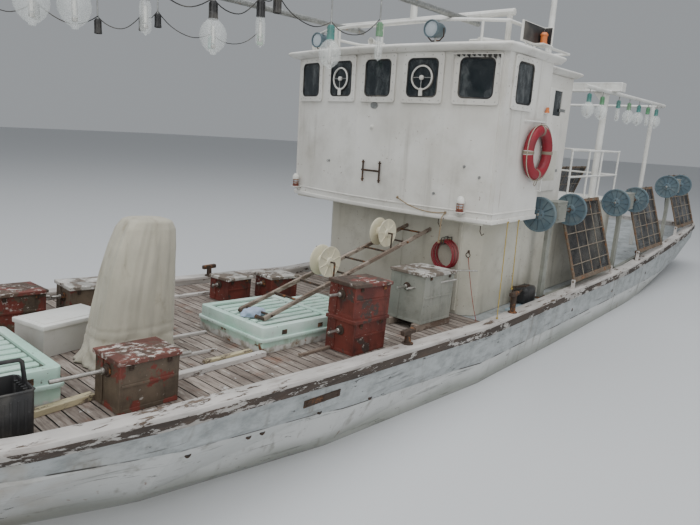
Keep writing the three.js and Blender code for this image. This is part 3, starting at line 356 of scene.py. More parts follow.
@dataclass(frozen=True)
class WornPaint(Finish):
    """Paint with grime that runs down, rust spots, chips and uneven fading."""

    paint: Colour = (0.8, 0.78, 0.74)
    faded: Colour = (0.7, 0.68, 0.62)
    grime: Colour = (0.3, 0.27, 0.22)
    rust: Colour = (0.16, 0.06, 0.025)
    under: Colour = (0.12, 0.1, 0.08)
    runs: float = 0.35
    spots: float = 0.3
    chips: float = 0.2
    dirt: float = 0.3
    roughness: float = 0.5
    metallic: float = 0.0
    grain: float = 1.0

    def compose(self, m: MaterialMaker) -> None:
        """Lays fading, grime runs, rust and chips over the paint."""
        fade = m.noise(0.9 * self.grain, 5.0).rise(0.35, 0.7)
        colour = m.mix(fade, self.paint, self.faded)
        cloud = m.noise(2.6 * self.grain, 6.0, roughness=0.65).rise(0.48, 0.82) * self.dirt
        colour = m.mix(cloud, colour, self.grime)
        streak = m.noise(7.0 * self.grain, 3.0, (1.0, 1.0, 0.07)).rise(0.52, 0.8)
        where = m.noise(0.8 * self.grain, 3.0).rise(0.4, 0.65)
        colour = m.mix(streak * where * self.runs, colour, self.grime)
        drip = m.noise(16.0 * self.grain, 2.0, (1.0, 1.0, 0.05)).rise(0.66, 0.78)
        patch = m.noise(1.7 * self.grain, 3.0).rise(0.56, 0.68)
        spot = m.noise(24.0 * self.grain, 4.0).rise(0.64, 0.72) * m.noise(3.0 * self.grain, 3.0).rise(0.46, 0.6)
        rust = (drip * patch * 0.7).most(spot) * self.spots
        colour = m.mix(rust, colour, self.rust)
        flake = m.noise(11.0 * self.grain, 8.0, roughness=0.7).rise(0.63, 0.645)
        bare = flake * m.noise(1.3 * self.grain, 4.0).rise(0.62 - 0.3 * self.chips, 0.72 - 0.3 * self.chips)
        colour = m.mix(bare * min(1.0, self.chips * 4.0), colour, self.under)
        rough = (rust * 0.3 + cloud * 0.3 + self.roughness).least(0.97)
        m.shade(colour, rough, self.metallic)
        skin = m.noise(60.0 * self.grain, 3.0)
        m.bump(skin * 0.25 - bare * 0.8 + spot * 0.5, 0.0012 / self.grain)


@dataclass(frozen=True)
class HullPaint(Finish):
    """The hull: a scuffed upper side over a brighter strake, and antifouling under the waterline."""

    upper: Colour = (0.42, 0.445, 0.45)
    strake: Colour = (0.6, 0.61, 0.6)
    bottom: Colour = (0.1, 0.024, 0.018)
    knee: float = 0.4
    rise: tuple[float, float, float] = (0.3, 0.055, 0.008)

    def compose(self, m: MaterialMaker) -> None:
        """Parts the upper side, the strake and the bottom by height, and wears each."""
        height = m.along(Axis.Z)
        fore = (m.along(Axis.X) - self.knee).most(0.0)
        line = fore * fore * self.rise[2] + fore * self.rise[1] + self.rise[0]
        below = (height - line).rise(0.006, -0.006)
        mottle = m.noise(5.5, 9.0, (0.7, 0.7, 1.2), 0.72).rise(0.4, 0.66)
        colour = m.mix(mottle, self.upper, (0.27, 0.29, 0.29))
        chalk = m.noise(0.8, 6.0, (0.5, 0.5, 1.4), 0.65).rise(0.4, 0.66)
        strake = m.mix(chalk, self.strake, (0.46, 0.48, 0.47))
        colour = m.mix(below, colour, strake)
        crack = (height - line).size().rise(0.011, 0.004) * m.noise(2.2, 5.0, (1.0, 1.0, 0.2)).rise(0.46, 0.56)
        scuff = m.noise(5.0, 7.0, (0.22, 0.22, 2.2), 0.7).rise(0.57, 0.7)
        colour = m.mix(scuff * 0.6, colour, (0.13, 0.135, 0.13))
        scrape = m.noise(14.0, 5.0, (0.12, 0.12, 3.0), 0.6).rise(0.65, 0.69)
        colour = m.mix(scrape * 0.7, colour, (0.07, 0.065, 0.06))
        streak = m.noise(9.0, 3.0, (1.0, 1.0, 0.1)).rise(0.53, 0.76) * m.noise(0.9, 3.0).rise(0.38, 0.58)
        colour = m.mix(streak * 0.6, colour, (0.17, 0.155, 0.12))
        drip = m.noise(12.0, 2.0, (1.0, 1.0, 0.06)).rise(0.66, 0.75) * m.noise(1.4, 3.0).rise(0.52, 0.6)
        colour = m.mix(drip * 0.65, colour, (0.19, 0.075, 0.03))
        bow_rust = m.along(Axis.X).rise(4.9, 6.6) * m.noise(2.0, 6.0, (1.0, 1.0, 0.5)).rise(0.46, 0.66)
        colour = m.mix(bow_rust * 0.6, colour, (0.3, 0.2, 0.09))
        chip = m.noise(9.0, 8.0, (0.7, 0.7, 1.6), 0.72).rise(0.635, 0.645) * m.noise(1.1, 3.0).rise(0.42, 0.55)
        colour = m.mix(chip * 0.9, colour, (0.035, 0.03, 0.026))
        colour = m.mix(crack, colour, (0.05, 0.045, 0.04))
        edge = m.noise(1.6, 5.0, (1.0, 1.0, 0.1))
        stain = (height - edge * 0.2).rise(0.16, -0.06)
        colour = m.mix(stain * 0.55, colour, (0.13, 0.14, 0.1))
        wet = (height + 0.022 - edge * 0.012).rise(0.012, -0.012)
        bottom = m.mix(m.noise(3.0, 7.0).rise(0.4, 0.75), self.bottom, (0.06, 0.06, 0.04))
        m.shade(m.mix(wet, colour, bottom), (scuff * 0.2 + 0.5).most(wet * 0.8))
        m.bump(m.noise(2.4, 5.0) * 0.8 + mottle * 0.2 - chip * 0.5 - crack * 1.0 - below * 0.4, 0.006)


@dataclass(frozen=True)
class CapPaint(Finish):
    """Pale paint on a timber rail, worn through to dark wood in long flakes."""

    paint: Colour = (0.56, 0.53, 0.5)
    wood: Colour = (0.085, 0.06, 0.045)
    grain_tone: Colour = (0.2, 0.155, 0.12)
    worn: float = 0.25

    def compose(self, m: MaterialMaker) -> None:
        """Lets long flakes of wood through the paint, and stains and scratches both."""
        grain = m.noise(6.0, 6.0, (0.35, 3.0, 3.0), 0.7)
        wood = m.mix(grain.rise(0.35, 0.7), self.wood, self.grain_tone)
        fade = m.noise(2.0, 5.0).rise(0.35, 0.7)
        paint = m.mix(fade, self.paint, tuple(0.78 * part for part in self.paint))
        scratch = m.noise(26.0, 5.0, (0.08, 1.0, 1.0), 0.6).rise(0.56, 0.66)
        paint = m.mix(scratch * 0.45, paint, (0.22, 0.18, 0.15))
        flake = m.noise(9.0, 9.0, (0.4, 1.3, 1.3), 0.74)
        where = m.noise(0.9, 3.0).rise(0.3, 0.7) * 0.1
        bare = (flake + where).rise(0.66 - 0.09 * self.worn, 0.675 - 0.09 * self.worn)
        colour = m.mix(bare, paint, wood)
        stain = m.noise(4.0, 5.0, (0.5, 1.0, 1.0)).rise(0.5, 0.75)
        colour = m.mix(stain * 0.4, colour, (0.13, 0.08, 0.055))
        m.shade(colour, bare * 0.2 + 0.62)
        m.bump(grain * 0.35 - bare * 0.7, 0.003)


@dataclass(frozen=True)
class DeckBoards(Finish):
    """Weathered boards laid across the deck, with dark seams and spilt paint."""

    pitch: float = BOARD_PITCH
    seam: float = 0.07

    def compose(self, m: MaterialMaker) -> None:
        """Numbers the boards along the deck and gives each its own tone."""
        course = m.along(Axis.X) * (1.0 / self.pitch)
        board = course.floor()
        across = (course % 1.0 - 0.5).size()
        gap = across.rise(0.5 - self.seam, 0.5 - self.seam * 0.35)
        tone = m.random_of(board)
        wood = m.mix(tone, (0.19, 0.155, 0.13), (0.4, 0.345, 0.3))
        streak = m.noise(5.0, 8.0, (9.0, 0.8, 1.0), 0.72)
        wood = m.mix(streak.rise(0.42, 0.66) * 0.85, wood, (0.085, 0.06, 0.048))
        bleach = m.noise(4.0, 7.0, (5.0, 0.7, 1.0), 0.7).rise(0.54, 0.68)
        wood = m.mix(bleach * 0.7, wood, (0.52, 0.48, 0.42))
        damp = m.noise(1.1, 6.0, roughness=0.65).rise(0.46, 0.64)
        wood = m.mix(damp * 0.7, wood, (0.075, 0.053, 0.042))
        blot = m.noise(6.0, 8.0, roughness=0.7).rise(0.62, 0.68)
        wood = m.mix(blot * 0.8, wood, (0.03, 0.024, 0.02))
        spill = m.noise(8.0, 8.0, roughness=0.72).rise(0.64, 0.66) * m.noise(1.2, 3.0).rise(0.5, 0.62)
        wood = m.mix(spill * 0.8, wood, (0.56, 0.56, 0.54))
        rust = m.noise(3.4, 6.0).rise(0.58, 0.72)
        wood = m.mix(rust * 0.55, wood, (0.17, 0.065, 0.03))
        open_seam = gap * m.noise(3.0, 4.0, (1.0, 2.2, 1.0)).rise(0.36, 0.5)
        m.shade(m.mix(open_seam, wood, (0.012, 0.009, 0.008)), 0.88 - damp * 0.25)
        m.bump(streak * 0.4 - gap * 1.0 + tone * 0.3, 0.007)


@dataclass(frozen=True)
class PatchPaint(Finish):
    """An old painted box: one coat rubbed through to another, grimed and scratched white."""

    over: Colour = (0.13, 0.095, 0.065)
    beneath: Colour = (0.16, 0.035, 0.025)
    scratch: Colour = (0.5, 0.46, 0.42)
    shown: float = 0.5
    scratched: float = 0.3

    def compose(self, m: MaterialMaker) -> None:
        """Rubs the upper coat off in patches, then lays grime, streaks and scratches."""
        tone = m.noise(2.6, 6.0, roughness=0.65).rise(0.38, 0.66)
        coat_colour = m.mix(tone, self.over, tuple(0.5 * part for part in self.over))
        patch = m.noise(4.5, 7.0, roughness=0.62).rise(0.6 - 0.14 * self.shown, 0.64 - 0.14 * self.shown)
        colour = m.mix(patch, coat_colour, self.beneath)
        grime = m.noise(8.0, 6.0, (1.0, 1.0, 0.3), 0.65).rise(0.5, 0.72)
        colour = m.mix(grime * 0.65, colour, (0.022, 0.017, 0.013))
        worn = m.noise(24.0, 7.0, (0.5, 1.0, 1.0), 0.7).rise(0.63 - 0.1 * self.scratched, 0.66 - 0.1 * self.scratched)
        where = m.noise(2.8, 5.0).rise(0.6 - 0.2 * self.scratched, 0.7 - 0.2 * self.scratched)
        colour = m.mix(worn * where, colour, self.scratch)
        spot = m.noise(40.0, 3.0).rise(0.68, 0.72)
        colour = m.mix(spot * 0.6, colour, (0.3, 0.26, 0.22))
        m.shade(colour, grime * 0.2 + 0.62)
        m.bump(m.noise(50.0, 3.0) * 0.3 + patch * -0.4 + worn * 0.3, 0.0012)


@dataclass(frozen=True)
class CurbPaint(Finish):
    """A hatch's foot: mint paint with rust burst through in patches and a worn white edge below."""

    mint: Colour = (0.4, 0.6, 0.5)
    deck: float = 0.6672

    def compose(self, m: MaterialMaker) -> None:
        """Wears the paint by its height above the pitched deck."""
        height = m.along(Axis.Z) - m.along(Axis.X) * DECK_SLOPE - self.deck
        fade = m.noise(3.0, 5.0).rise(0.35, 0.7)
        colour = m.mix(fade, self.mint, (0.5, 0.62, 0.55))
        dirt = m.noise(5.0, 6.0, (1.0, 1.0, 0.3), 0.65).rise(0.48, 0.72)
        colour = m.mix(dirt * 0.55, colour, (0.2, 0.17, 0.11))
        worn = (height - m.noise(5.0, 6.0, roughness=0.7) * 0.2).rise(0.01, -0.02)
        colour = m.mix(worn, colour, m.mix(m.noise(12.0, 5.0).rise(0.4, 0.65), (0.6, 0.6, 0.57), (0.3, 0.27, 0.22)))
        burst = m.noise(3.6, 6.0, roughness=0.6).rise(0.6, 0.64)
        rust = m.mix(m.noise(20.0, 5.0).rise(0.4, 0.6), (0.09, 0.035, 0.015), (0.26, 0.1, 0.035))
        colour = m.mix(burst, colour, rust)
        m.shade(colour, burst * 0.3 + 0.5)
        m.bump(m.noise(40.0, 3.0) * 0.2 + burst * 0.8, 0.002)


@dataclass(frozen=True)
class Cloth(Finish):
    """Woven canvas, stained and creased."""

    thread: Colour = (0.6, 0.57, 0.48)
    stain: Colour = (0.3, 0.25, 0.17)
    pitch: float = 0.006

    def compose(self, m: MaterialMaker) -> None:
        """Weaves two sets of threads and stains them in runs and blots."""
        turns = 2.0 * math.pi / self.pitch
        up = (m.along(Axis.Z) * turns).maths("SINE")
        over = ((m.along(Axis.X) + m.along(Axis.Y)) * turns).maths("SINE")
        weave = up * over * 0.5 + 0.5
        fade = m.noise(2.2, 5.0).rise(0.35, 0.7)
        colour = m.mix(fade, self.thread, tuple(0.82 * part for part in self.thread))
        run = m.noise(9.0, 4.0, (1.0, 1.0, 0.12)).rise(0.52, 0.75)
        colour = m.mix(run * 0.5, colour, self.stain)
        blot = m.noise(4.0, 7.0, roughness=0.7).rise(0.56, 0.72)
        colour = m.mix(blot * 0.45, colour, self.stain)
        m.shade(colour, 0.95)
        m.shader.inputs["Sheen Weight"].default_value = 0.2
        crease = m.noise(2.6, 4.0, (1.0, 1.0, 0.45), 0.6)
        m.bump(weave * 0.12 + m.noise(16.0, 5.0) * 0.4 + crease * 3.0, 0.006)


@dataclass(frozen=True)
class Metal(Finish):
    """Bare, galvanised or cast metal with tarnish and rust."""

    base: Colour = (0.42, 0.43, 0.42)
    tarnish: Colour = (0.2, 0.2, 0.19)
    rust: Colour = (0.17, 0.07, 0.03)
    rusted: float = 0.3
    roughness: float = 0.42
    metallic: float = 0.8

    def compose(self, m: MaterialMaker) -> None:
        """Mottles the metal and lets rust take its shine."""
        spangle = m.cells(28.0)
        colour = m.mix(spangle.rise(0.1, 0.7) * 0.5, self.base, self.tarnish)
        dull = m.noise(5.0, 6.0).rise(0.42, 0.72)
        colour = m.mix(dull * 0.6, colour, self.tarnish)
        rust = m.noise(9.0, 7.0, roughness=0.7).rise(0.72 - 0.34 * self.rusted, 0.8 - 0.3 * self.rusted)
        colour = m.mix(rust, colour, m.mix(m.noise(30.0).rise(0.35, 0.65), self.rust, (0.3, 0.12, 0.04)))
        m.shade(colour, (dull * 0.2 + rust * 0.4 + self.roughness).least(0.96), (rust * -1.0 + 1.0) * self.metallic)
        m.bump(rust * m.noise(50.0) + spangle * 0.1, 0.0012)


@dataclass(frozen=True)
class Moulded(Finish):
    """Moulded plastic or rubber, scuffed and dusty."""

    base: Colour = (0.02, 0.02, 0.021)
    scuff: Colour = (0.12, 0.12, 0.12)
    dust: float = 0.3
    roughness: float = 0.45
    coat: float = 0.0

    def compose(self, m: MaterialMaker) -> None:
        """Scuffs the surface finely and dusts it in patches."""
        scuff = m.noise(18.0, 8.0, (1.0, 0.3, 1.0), 0.7).rise(0.58, 0.7)
        colour = m.mix(scuff * 0.5, self.base, self.scuff)
        dust = m.noise(3.0, 6.0).rise(0.42, 0.75) * self.dust
        colour = m.mix(dust, colour, (0.4, 0.36, 0.3))
        m.shade(colour, (scuff * 0.25 + dust * 0.4 + self.roughness).least(0.95))
        m.shader.inputs["Coat Weight"].default_value = self.coat
        m.bump(m.noise(120.0, 3.0) * 0.5 + scuff * -0.5, 0.0006)


@dataclass(frozen=True)
class Pane(Finish):
    """Glass: a dark pane or a clear lamp bulb, with salt on it."""

    tint: Colour = (0.03, 0.04, 0.045)
    alpha: float = 0.8
    transmission: float = 0.0
    haze: float = 0.25

    def compose(self, m: MaterialMaker) -> None:
        """Dulls the glass with salt where it dries."""
        salt = m.noise(4.0, 7.0, (1.0, 1.0, 0.5), 0.68).rise(0.45, 0.8) * self.haze
        m.shade(m.mix(salt, self.tint, (0.55, 0.57, 0.56)), salt * 0.4 + 0.06)
        for key, value in (("Transmission Weight", self.transmission), ("IOR", 1.46)):
            m.shader.inputs[key].default_value = value
        veil = (salt * 0.8 + self.alpha).least(1.0)
        m.tree.links.new(veil.socket, m.shader.inputs["Alpha"])


@dataclass(frozen=True)
class Strands(Finish):
    """Twisted rope or cord; its pattern follows the piece's own UV map."""

    base: Colour = (0.42, 0.32, 0.2)
    shade_colour: Colour = (0.17, 0.12, 0.07)
    lays: float = 60.0

    def compose(self, m: MaterialMaker) -> None:
        """Winds the strands round the rope by the tube's own coordinates."""
        uv = m.node("ShaderNodeUVMap")
        along = m.node("ShaderNodeSeparateXYZ", values={0: uv}, output="X")
        round_it = m.node("ShaderNodeSeparateXYZ", values={0: uv}, output="Y")
        wind = ((along * self.lays + round_it * 3.0) % 1.0 - 0.5).size() * 2.0
        fuzz = m.noise(90.0, 3.0).rise(0.35, 0.7)
        colour = m.mix(wind.rise(0.35, 1.0), self.base, self.shade_colour)
        m.shade(m.mix(fuzz * 0.4, colour, self.shade_colour), 0.92)
        m.bump(wind * -1.0 + fuzz * 0.2, 0.002)


@dataclass(frozen=True)
class Netting(Finish):
    """Dark knotted netting that lets light through its meshes."""

    pitch: float = 0.016
    thread: float = 0.3

    def compose(self, m: MaterialMaker) -> None:
        """Opens square holes between the threads, fewer where the net is clogged."""
        across = (m.along(Axis.X) * (1.0 / self.pitch) % 1.0 - 0.5).size()
        up = (m.along(Axis.Z) * (1.0 / self.pitch) % 1.0 - 0.5).size()
        line = across.most(up).rise(0.5 - self.thread * 0.5, 0.5 - self.thread * 0.3)
        clogged = m.noise(2.6, 5.0).rise(0.4, 0.7)
        colour = m.mix(m.noise(5.0, 6.0).rise(0.4, 0.7), (0.012, 0.013, 0.015), (0.05, 0.045, 0.04))
        m.shade(colour, 0.9)
        veil = line.most(clogged * 0.3 + 0.68)
        m.tree.links.new(veil.socket, m.shader.inputs["Alpha"])
        m.bump(line, 0.001)


@dataclass(frozen=True)
class BandedBuoy(Finish):
    """A red ring with four white bands round it, faded and scuffed."""

    half_band: float = 0.05

    def compose(self, m: MaterialMaker) -> None:
        """Finds the angle round the ring and paints the bands by it."""
        across = m.along(Axis.X) - BUOY_PLACE[0]
        up = m.along(Axis.Z) - BUOY_PLACE[2]
        angle = up.maths("ARCTAN2", across) * (2.0 / math.pi)
        band = ((angle + 0.5) % 1.0 - 0.5).size().rise(self.half_band + 0.005, self.half_band - 0.005)
        fade = m.noise(5.0, 5.0).rise(0.35, 0.7)
        red = m.mix(fade, (0.27, 0.008, 0.02), (0.19, 0.012, 0.022))
        white = m.mix(fade, (0.72, 0.7, 0.68), (0.55, 0.5, 0.46))
        scuff = m.noise(22.0, 7.0, roughness=0.7).rise(0.6, 0.7)
        m.shade(m.mix(scuff * 0.3, m.mix(band, red, white), (0.2, 0.14, 0.12)), scuff * 0.2 + 0.5)
        m.bump(m.noise(60.0, 4.0), 0.001)


FINISHES: dict[str, Finish] = {
    finish.name: finish
    for finish in (
        HullPaint("hull_side"),
        WornPaint("bridge_paint", (0.77, 0.76, 0.72), (0.62, 0.6, 0.55), (0.24, 0.21, 0.16),
                  runs=0.55, spots=0.8, chips=0.12, dirt=0.32),
        WornPaint("house_paint", (0.6, 0.585, 0.51), (0.48, 0.46, 0.38), (0.2, 0.17, 0.12),
                  runs=0.65, spots=0.8, chips=0.15, dirt=0.45),
        CapPaint("cap_paint"),
        CapPaint("rub_paint", (0.5, 0.48, 0.45), (0.042, 0.032, 0.026), (0.08, 0.06, 0.048), worn=1.75),
        CapPaint("batten_paint", (0.6, 0.52, 0.33), (0.16, 0.12, 0.09), worn=0.9),
        CapPaint("raw_timber", (0.33, 0.27, 0.22), (0.14, 0.1, 0.075), worn=1.3),
        DeckBoards("deck_boards"),
        PatchPaint("weathered_box"),
        PatchPaint("scratched_lid", (0.16, 0.055, 0.04), (0.09, 0.055, 0.04), shown=0.6, scratched=1.0),
        PatchPaint("red_box", (0.15, 0.03, 0.02), (0.055, 0.035, 0.028), shown=0.2, scratched=0.3),
        PatchPaint("brown_lid", (0.11, 0.07, 0.05), (0.15, 0.04, 0.03), shown=0.6, scratched=0.8),
        CurbPaint("curb_paint"),
        # The floor between a hatch lid's ribs: dark grime for dirt, and painted shade for the shade that lies in the
        # grooves.
        WornPaint("hatch_dirt", (0.13, 0.2, 0.16), (0.06, 0.07, 0.05), (0.035, 0.03, 0.02),
                  spots=1.0, chips=0.3, dirt=0.9, grain=2.4),
        WornPaint("oxide_paint", (0.16, 0.036, 0.024), (0.21, 0.07, 0.045), (0.05, 0.035, 0.028),
                  runs=0.3, spots=0.5, chips=0.3, dirt=0.35, roughness=0.6, grain=2.4),
        WornPaint("mint_paint", (0.43, 0.66, 0.55), (0.58, 0.69, 0.64), (0.22, 0.22, 0.15),
                  runs=0.4, spots=1.0, chips=0.35, dirt=0.4, grain=2.0),
        WornPaint("grey_box_paint", (0.22, 0.23, 0.2), (0.3, 0.3, 0.26), (0.07, 0.06, 0.045),
                  runs=0.6, spots=0.7, chips=0.4, dirt=0.5, grain=2.2),
        PatchPaint("flaking_white", (0.55, 0.53, 0.49), (0.15, 0.12, 0.095), (0.66, 0.65, 0.62),
                   shown=0.85, scratched=0.7),
        WornPaint("pipe_paint", (0.74, 0.74, 0.71), (0.62, 0.61, 0.57), runs=0.3, spots=0.8, chips=0.15, grain=3.0),
        WornPaint("cream_paint", (0.7, 0.66, 0.5), (0.6, 0.55, 0.4), runs=0.3, spots=0.8, chips=0.2, grain=3.0),
        WornPaint("disc_paint", (0.075, 0.12, 0.15), (0.12, 0.17, 0.19), runs=0.3, spots=0.6, chips=0.3, grain=3.0),
        WornPaint("disc_rib", (0.04, 0.07, 0.09), (0.07, 0.1, 0.12), runs=0.3, spots=0.5, chips=0.2, grain=3.0),
        WornPaint("buoy_orange", (0.62, 0.17, 0.04), (0.5, 0.15, 0.05), spots=0.3, chips=0.1, grain=3.0),
        WornPaint("bottom_paint", (0.13, 0.03, 0.022), (0.1, 0.04, 0.03), (0.05, 0.06, 0.03), dirt=0.6, roughness=0.8),
        Cloth("canvas", (0.5, 0.47, 0.38), (0.21, 0.17, 0.11)),
        Cloth("blue_bag", (0.36, 0.45, 0.6), (0.2, 0.22, 0.25)),
        Metal("galvanised"),
        Metal("rusty_iron", (0.075, 0.05, 0.036), (0.05, 0.036, 0.028), (0.05, 0.031, 0.022), rusted=0.6,
              roughness=0.75, metallic=0.3),
        Metal("rack_iron", (0.2, 0.155, 0.11), (0.1, 0.075, 0.055), (0.075, 0.048, 0.032), rusted=0.6,
              roughness=0.75, metallic=0.2),
        Metal("pale_iron", (0.33, 0.29, 0.23), (0.17, 0.13, 0.095), (0.12, 0.072, 0.045), rusted=0.5,
              roughness=0.65, metallic=0.3),
        Metal("worn_shaft", (0.6, 0.59, 0.56), (0.3, 0.28, 0.25), rusted=0.25, roughness=0.3, metallic=0.9),
        Metal("bronze", (0.5, 0.3, 0.09), (0.12, 0.2, 0.13), rust=(0.1, 0.09, 0.05), rusted=0.2, metallic=0.9),
        Metal("copper", (0.45, 0.16, 0.07), (0.2, 0.1, 0.06), rusted=0.2, metallic=0.85),
        Moulded("black_plastic"),
        Moulded("black_rubber", (0.014, 0.014, 0.015), (0.05, 0.05, 0.05), roughness=0.7),
        Moulded("fish_box_plastic", (0.7, 0.7, 0.67), (0.5, 0.48, 0.44), dust=0.35),
        Moulded("lamp_white", (0.78, 0.77, 0.72), (0.6, 0.58, 0.52), dust=0.25, roughness=0.3),
        Moulded("teal_socket", (0.05, 0.22, 0.2), (0.2, 0.3, 0.28), roughness=0.5),
        Moulded("green_socket", (0.1, 0.28, 0.14), (0.3, 0.38, 0.3), roughness=0.5),
        Moulded("red_hose", (0.24, 0.008, 0.02), (0.18, 0.04, 0.04), roughness=0.5, coat=0.2),
        Moulded("light_blue", (0.32, 0.44, 0.52), (0.5, 0.5, 0.48), roughness=0.5),
        Pane("window_glass", (0.02, 0.026, 0.03), 0.88),
        Pane("bulb_glass", (0.85, 0.88, 0.86), 0.26, haze=0.5),
        Pane("light_lens", (0.5, 0.56, 0.6), 0.9, haze=0.35),
        Strands("brown_rope"),
        Strands("yellow_rope", (0.55, 0.42, 0.1), (0.3, 0.2, 0.05)),
        Strands("red_cord", (0.4, 0.05, 0.04), (0.2, 0.03, 0.02)),
        Strands("pale_rope", (0.5, 0.45, 0.36), (0.24, 0.2, 0.15)),
        BandedBuoy("buoy_bands"),
        Netting("dark_net"),
    )
}
BUILT: dict[str, bpy.types.Material] = {}


def material_of(name: str) -> bpy.types.Material:
    """The material of a finish, built the first time it is asked for.

    Args:
        name: The finish's name.

    Returns:
        The node material.
    """
    if name not in BUILT:
        BUILT[name] = FINISHES[name].build()
    return BUILT[name]


# ---- Modelling


def linked(name: str, data: bpy.types.ID) -> Object:
    """A new object in the scene, made from a mesh, curve, camera or light."""
    made = bpy.data.objects.new(name, data)
    bpy.context.scene.collection.objects.link(made)
    return made


def pick(*pieces: Object) -> None:
    """Leaves only these objects selected, with the last one active."""
    bpy.ops.object.select_all(action="DESELECT")
    for piece in pieces:
        piece.select_set(True)
    bpy.context.view_layer.objects.active = pieces[-1]


@contextmanager
def editing(piece: Object, kind: str = "FACE") -> Iterator[bmesh.types.BMesh]:
    """Opens a piece in edit mode.

    Args:
        piece: The piece.
        kind: What is selected in it: VERT, EDGE or FACE.

    Yields:
        The mesh that is being edited.
    """
    pick(piece)
    bpy.ops.object.mode_set(mode="EDIT")
    bpy.ops.mesh.select_mode(type=kind)
    yield bmesh.from_edit_mesh(piece.data)
    bpy.ops.object.mode_set(mode="OBJECT")


def choose(mesh: bmesh.types.BMesh, items: Iterable, test: Callable[[object], bool]) -> None:
    """Selects the vertices, edges or faces that pass a test, and nothing else."""
    bpy.ops.mesh.select_all(action="DESELECT")
    for item in items:
        if test(item):
            item.select_set(True)
    mesh.select_flush_mode()


def facing(direction: Point, least: float = 0.9) -> Callable[[bmesh.types.BMFace], bool]:
    """A test for faces that look along a direction."""
    way = Vector(direction)
    return lambda face: face.normal.dot(way) > least


def tidied(piece: Object) -> Object:
    """Merges doubles and turns the faces outwards."""
    with editing(piece, "VERT"):
        bpy.ops.mesh.select_all(action="SELECT")
        bpy.ops.mesh.remove_doubles(threshold=1e-5)
        bpy.ops.mesh.normals_make_consistent(inside=False)
    return piece


def settled(piece: Object) -> Object:
    """Moves a piece's place, turn and size into its mesh."""
    pick(piece)
    bpy.ops.object.transform_apply(location=True, rotation=True, scale=True)
    return piece


def bevelled(piece: Object, width: float, steps: int = 1, angle: float = 35.0) -> Object:
    """Rounds the edges that are sharper than an angle in degrees."""
    rounding = piece.modifiers.new("rounding", "BEVEL")
    rounding.width = width
    rounding.segments = steps
    rounding.limit_method = "ANGLE"
    rounding.angle_limit = math.radians(angle)
    return applied(piece, "rounding")


def applied(piece: Object, modifier: str) -> Object:
    """Applies one of a piece's modifiers."""
    pick(piece)
    bpy.ops.object.modifier_apply(modifier=modifier)
    return piece


def roughened(piece: Object, cuts: int, amount: float, seed: int) -> Object:
    """Cuts a piece's edges up and shifts the new corners at random.

    Args:
        piece: The piece.
        cuts: How many times each edge is cut.
        amount: How far the corners shift, as a share of the edges.
        seed: The random draw's seed.

    Returns:
        The piece.
    """
    with editing(piece, "EDGE"):
        bpy.ops.mesh.select_all(action="SELECT")
        bpy.ops.mesh.subdivide(number_cuts=cuts, fractal=amount, seed=seed)
    return piece


def sunk(piece: Object, way: Point, *steps: tuple[float, float]) -> Object:
    """Insets the faces that look along a direction, step by step, each a width and a height."""
    with editing(piece, "FACE") as mesh:
        choose(mesh, mesh.faces, facing(way))
        for width, height in steps:
            bpy.ops.mesh.inset(thickness=width, depth=height)
    return piece


def rounded_uprights(piece: Object, radius: float, steps: int) -> Object:
    """Rounds a block's four upright edges."""
    with editing(piece, "EDGE") as mesh:
        choose(mesh, mesh.edges, lambda edge: abs(edge.verts[0].co.z - edge.verts[1].co.z) > 0.01)
        bpy.ops.mesh.bevel(offset=radius, segments=steps, affect="EDGES")
    return piece


def smoothed(piece: Object, angle: float = 35.0) -> Object:
    """Shades a piece smooth, with sharp edges where faces meet at more than an angle."""
    pick(piece)
    bpy.ops.object.shade_smooth_by_angle(angle=math.radians(angle))
    return piece


def block(size: Point, centre: Point, bevel: float = 0.004, turn: float = 0.0) -> Object:
    """A box with rounded edges.

    Args:
        size: Its length, width and height.
        centre: Where its middle is.
        bevel: The width of the rounded edges.
        turn: Its turn about the vertical, in radians.

    Returns:
        The new object.
    """
    bpy.ops.object.select_all(action="DESELECT")
    bpy.ops.mesh.primitive_cube_add(size=1.0, location=centre, rotation=(0.0, 0.0, turn), scale=size)
    made = settled(bpy.context.active_object)
    if bevel:
        with editing(made, "EDGE"):
            bpy.ops.mesh.select_all(action="SELECT")
            bpy.ops.mesh.bevel(offset=bevel, segments=1, affect="EDGES")
    return made


def thread(points: Sequence[Point], loop: bool = False) -> Object:
    """A line of edges: one vertex, extruded from point to point.

    Args:
        points: The points that it runs through.
        loop: Whether it ends where it starts.

    Returns:
        The new object, with no faces.
    """
    bpy.ops.object.select_all(action="DESELECT")
    bpy.ops.mesh.primitive_plane_add(size=0.001, location=points[0])
    made = settled(bpy.context.active_object)
    with editing(made, "VERT"):
        bpy.ops.mesh.select_all(action="SELECT")
        bpy.ops.mesh.merge(type="CENTER")
        for start, end in zip(points, points[1:]):
            step = Vector(end) - Vector(start)
            bpy.ops.mesh.extrude_region_move(TRANSFORM_OT_translate={"value": step})
        if loop:
            step = Vector(points[0]) - Vector(points[-1])
            bpy.ops.mesh.extrude_region_move(TRANSFORM_OT_translate={"value": step})
            bpy.ops.mesh.select_all(action="SELECT")
            bpy.ops.mesh.remove_doubles(threshold=1e-5)
    return made


AXIS_TURN = {
    Axis.X: Matrix.Rotation(math.pi / 2, 4, "Y"),
    Axis.Y: Matrix.Rotation(-math.pi / 2, 4, "X"),
    Axis.Z: Matrix.Identity(4),
}


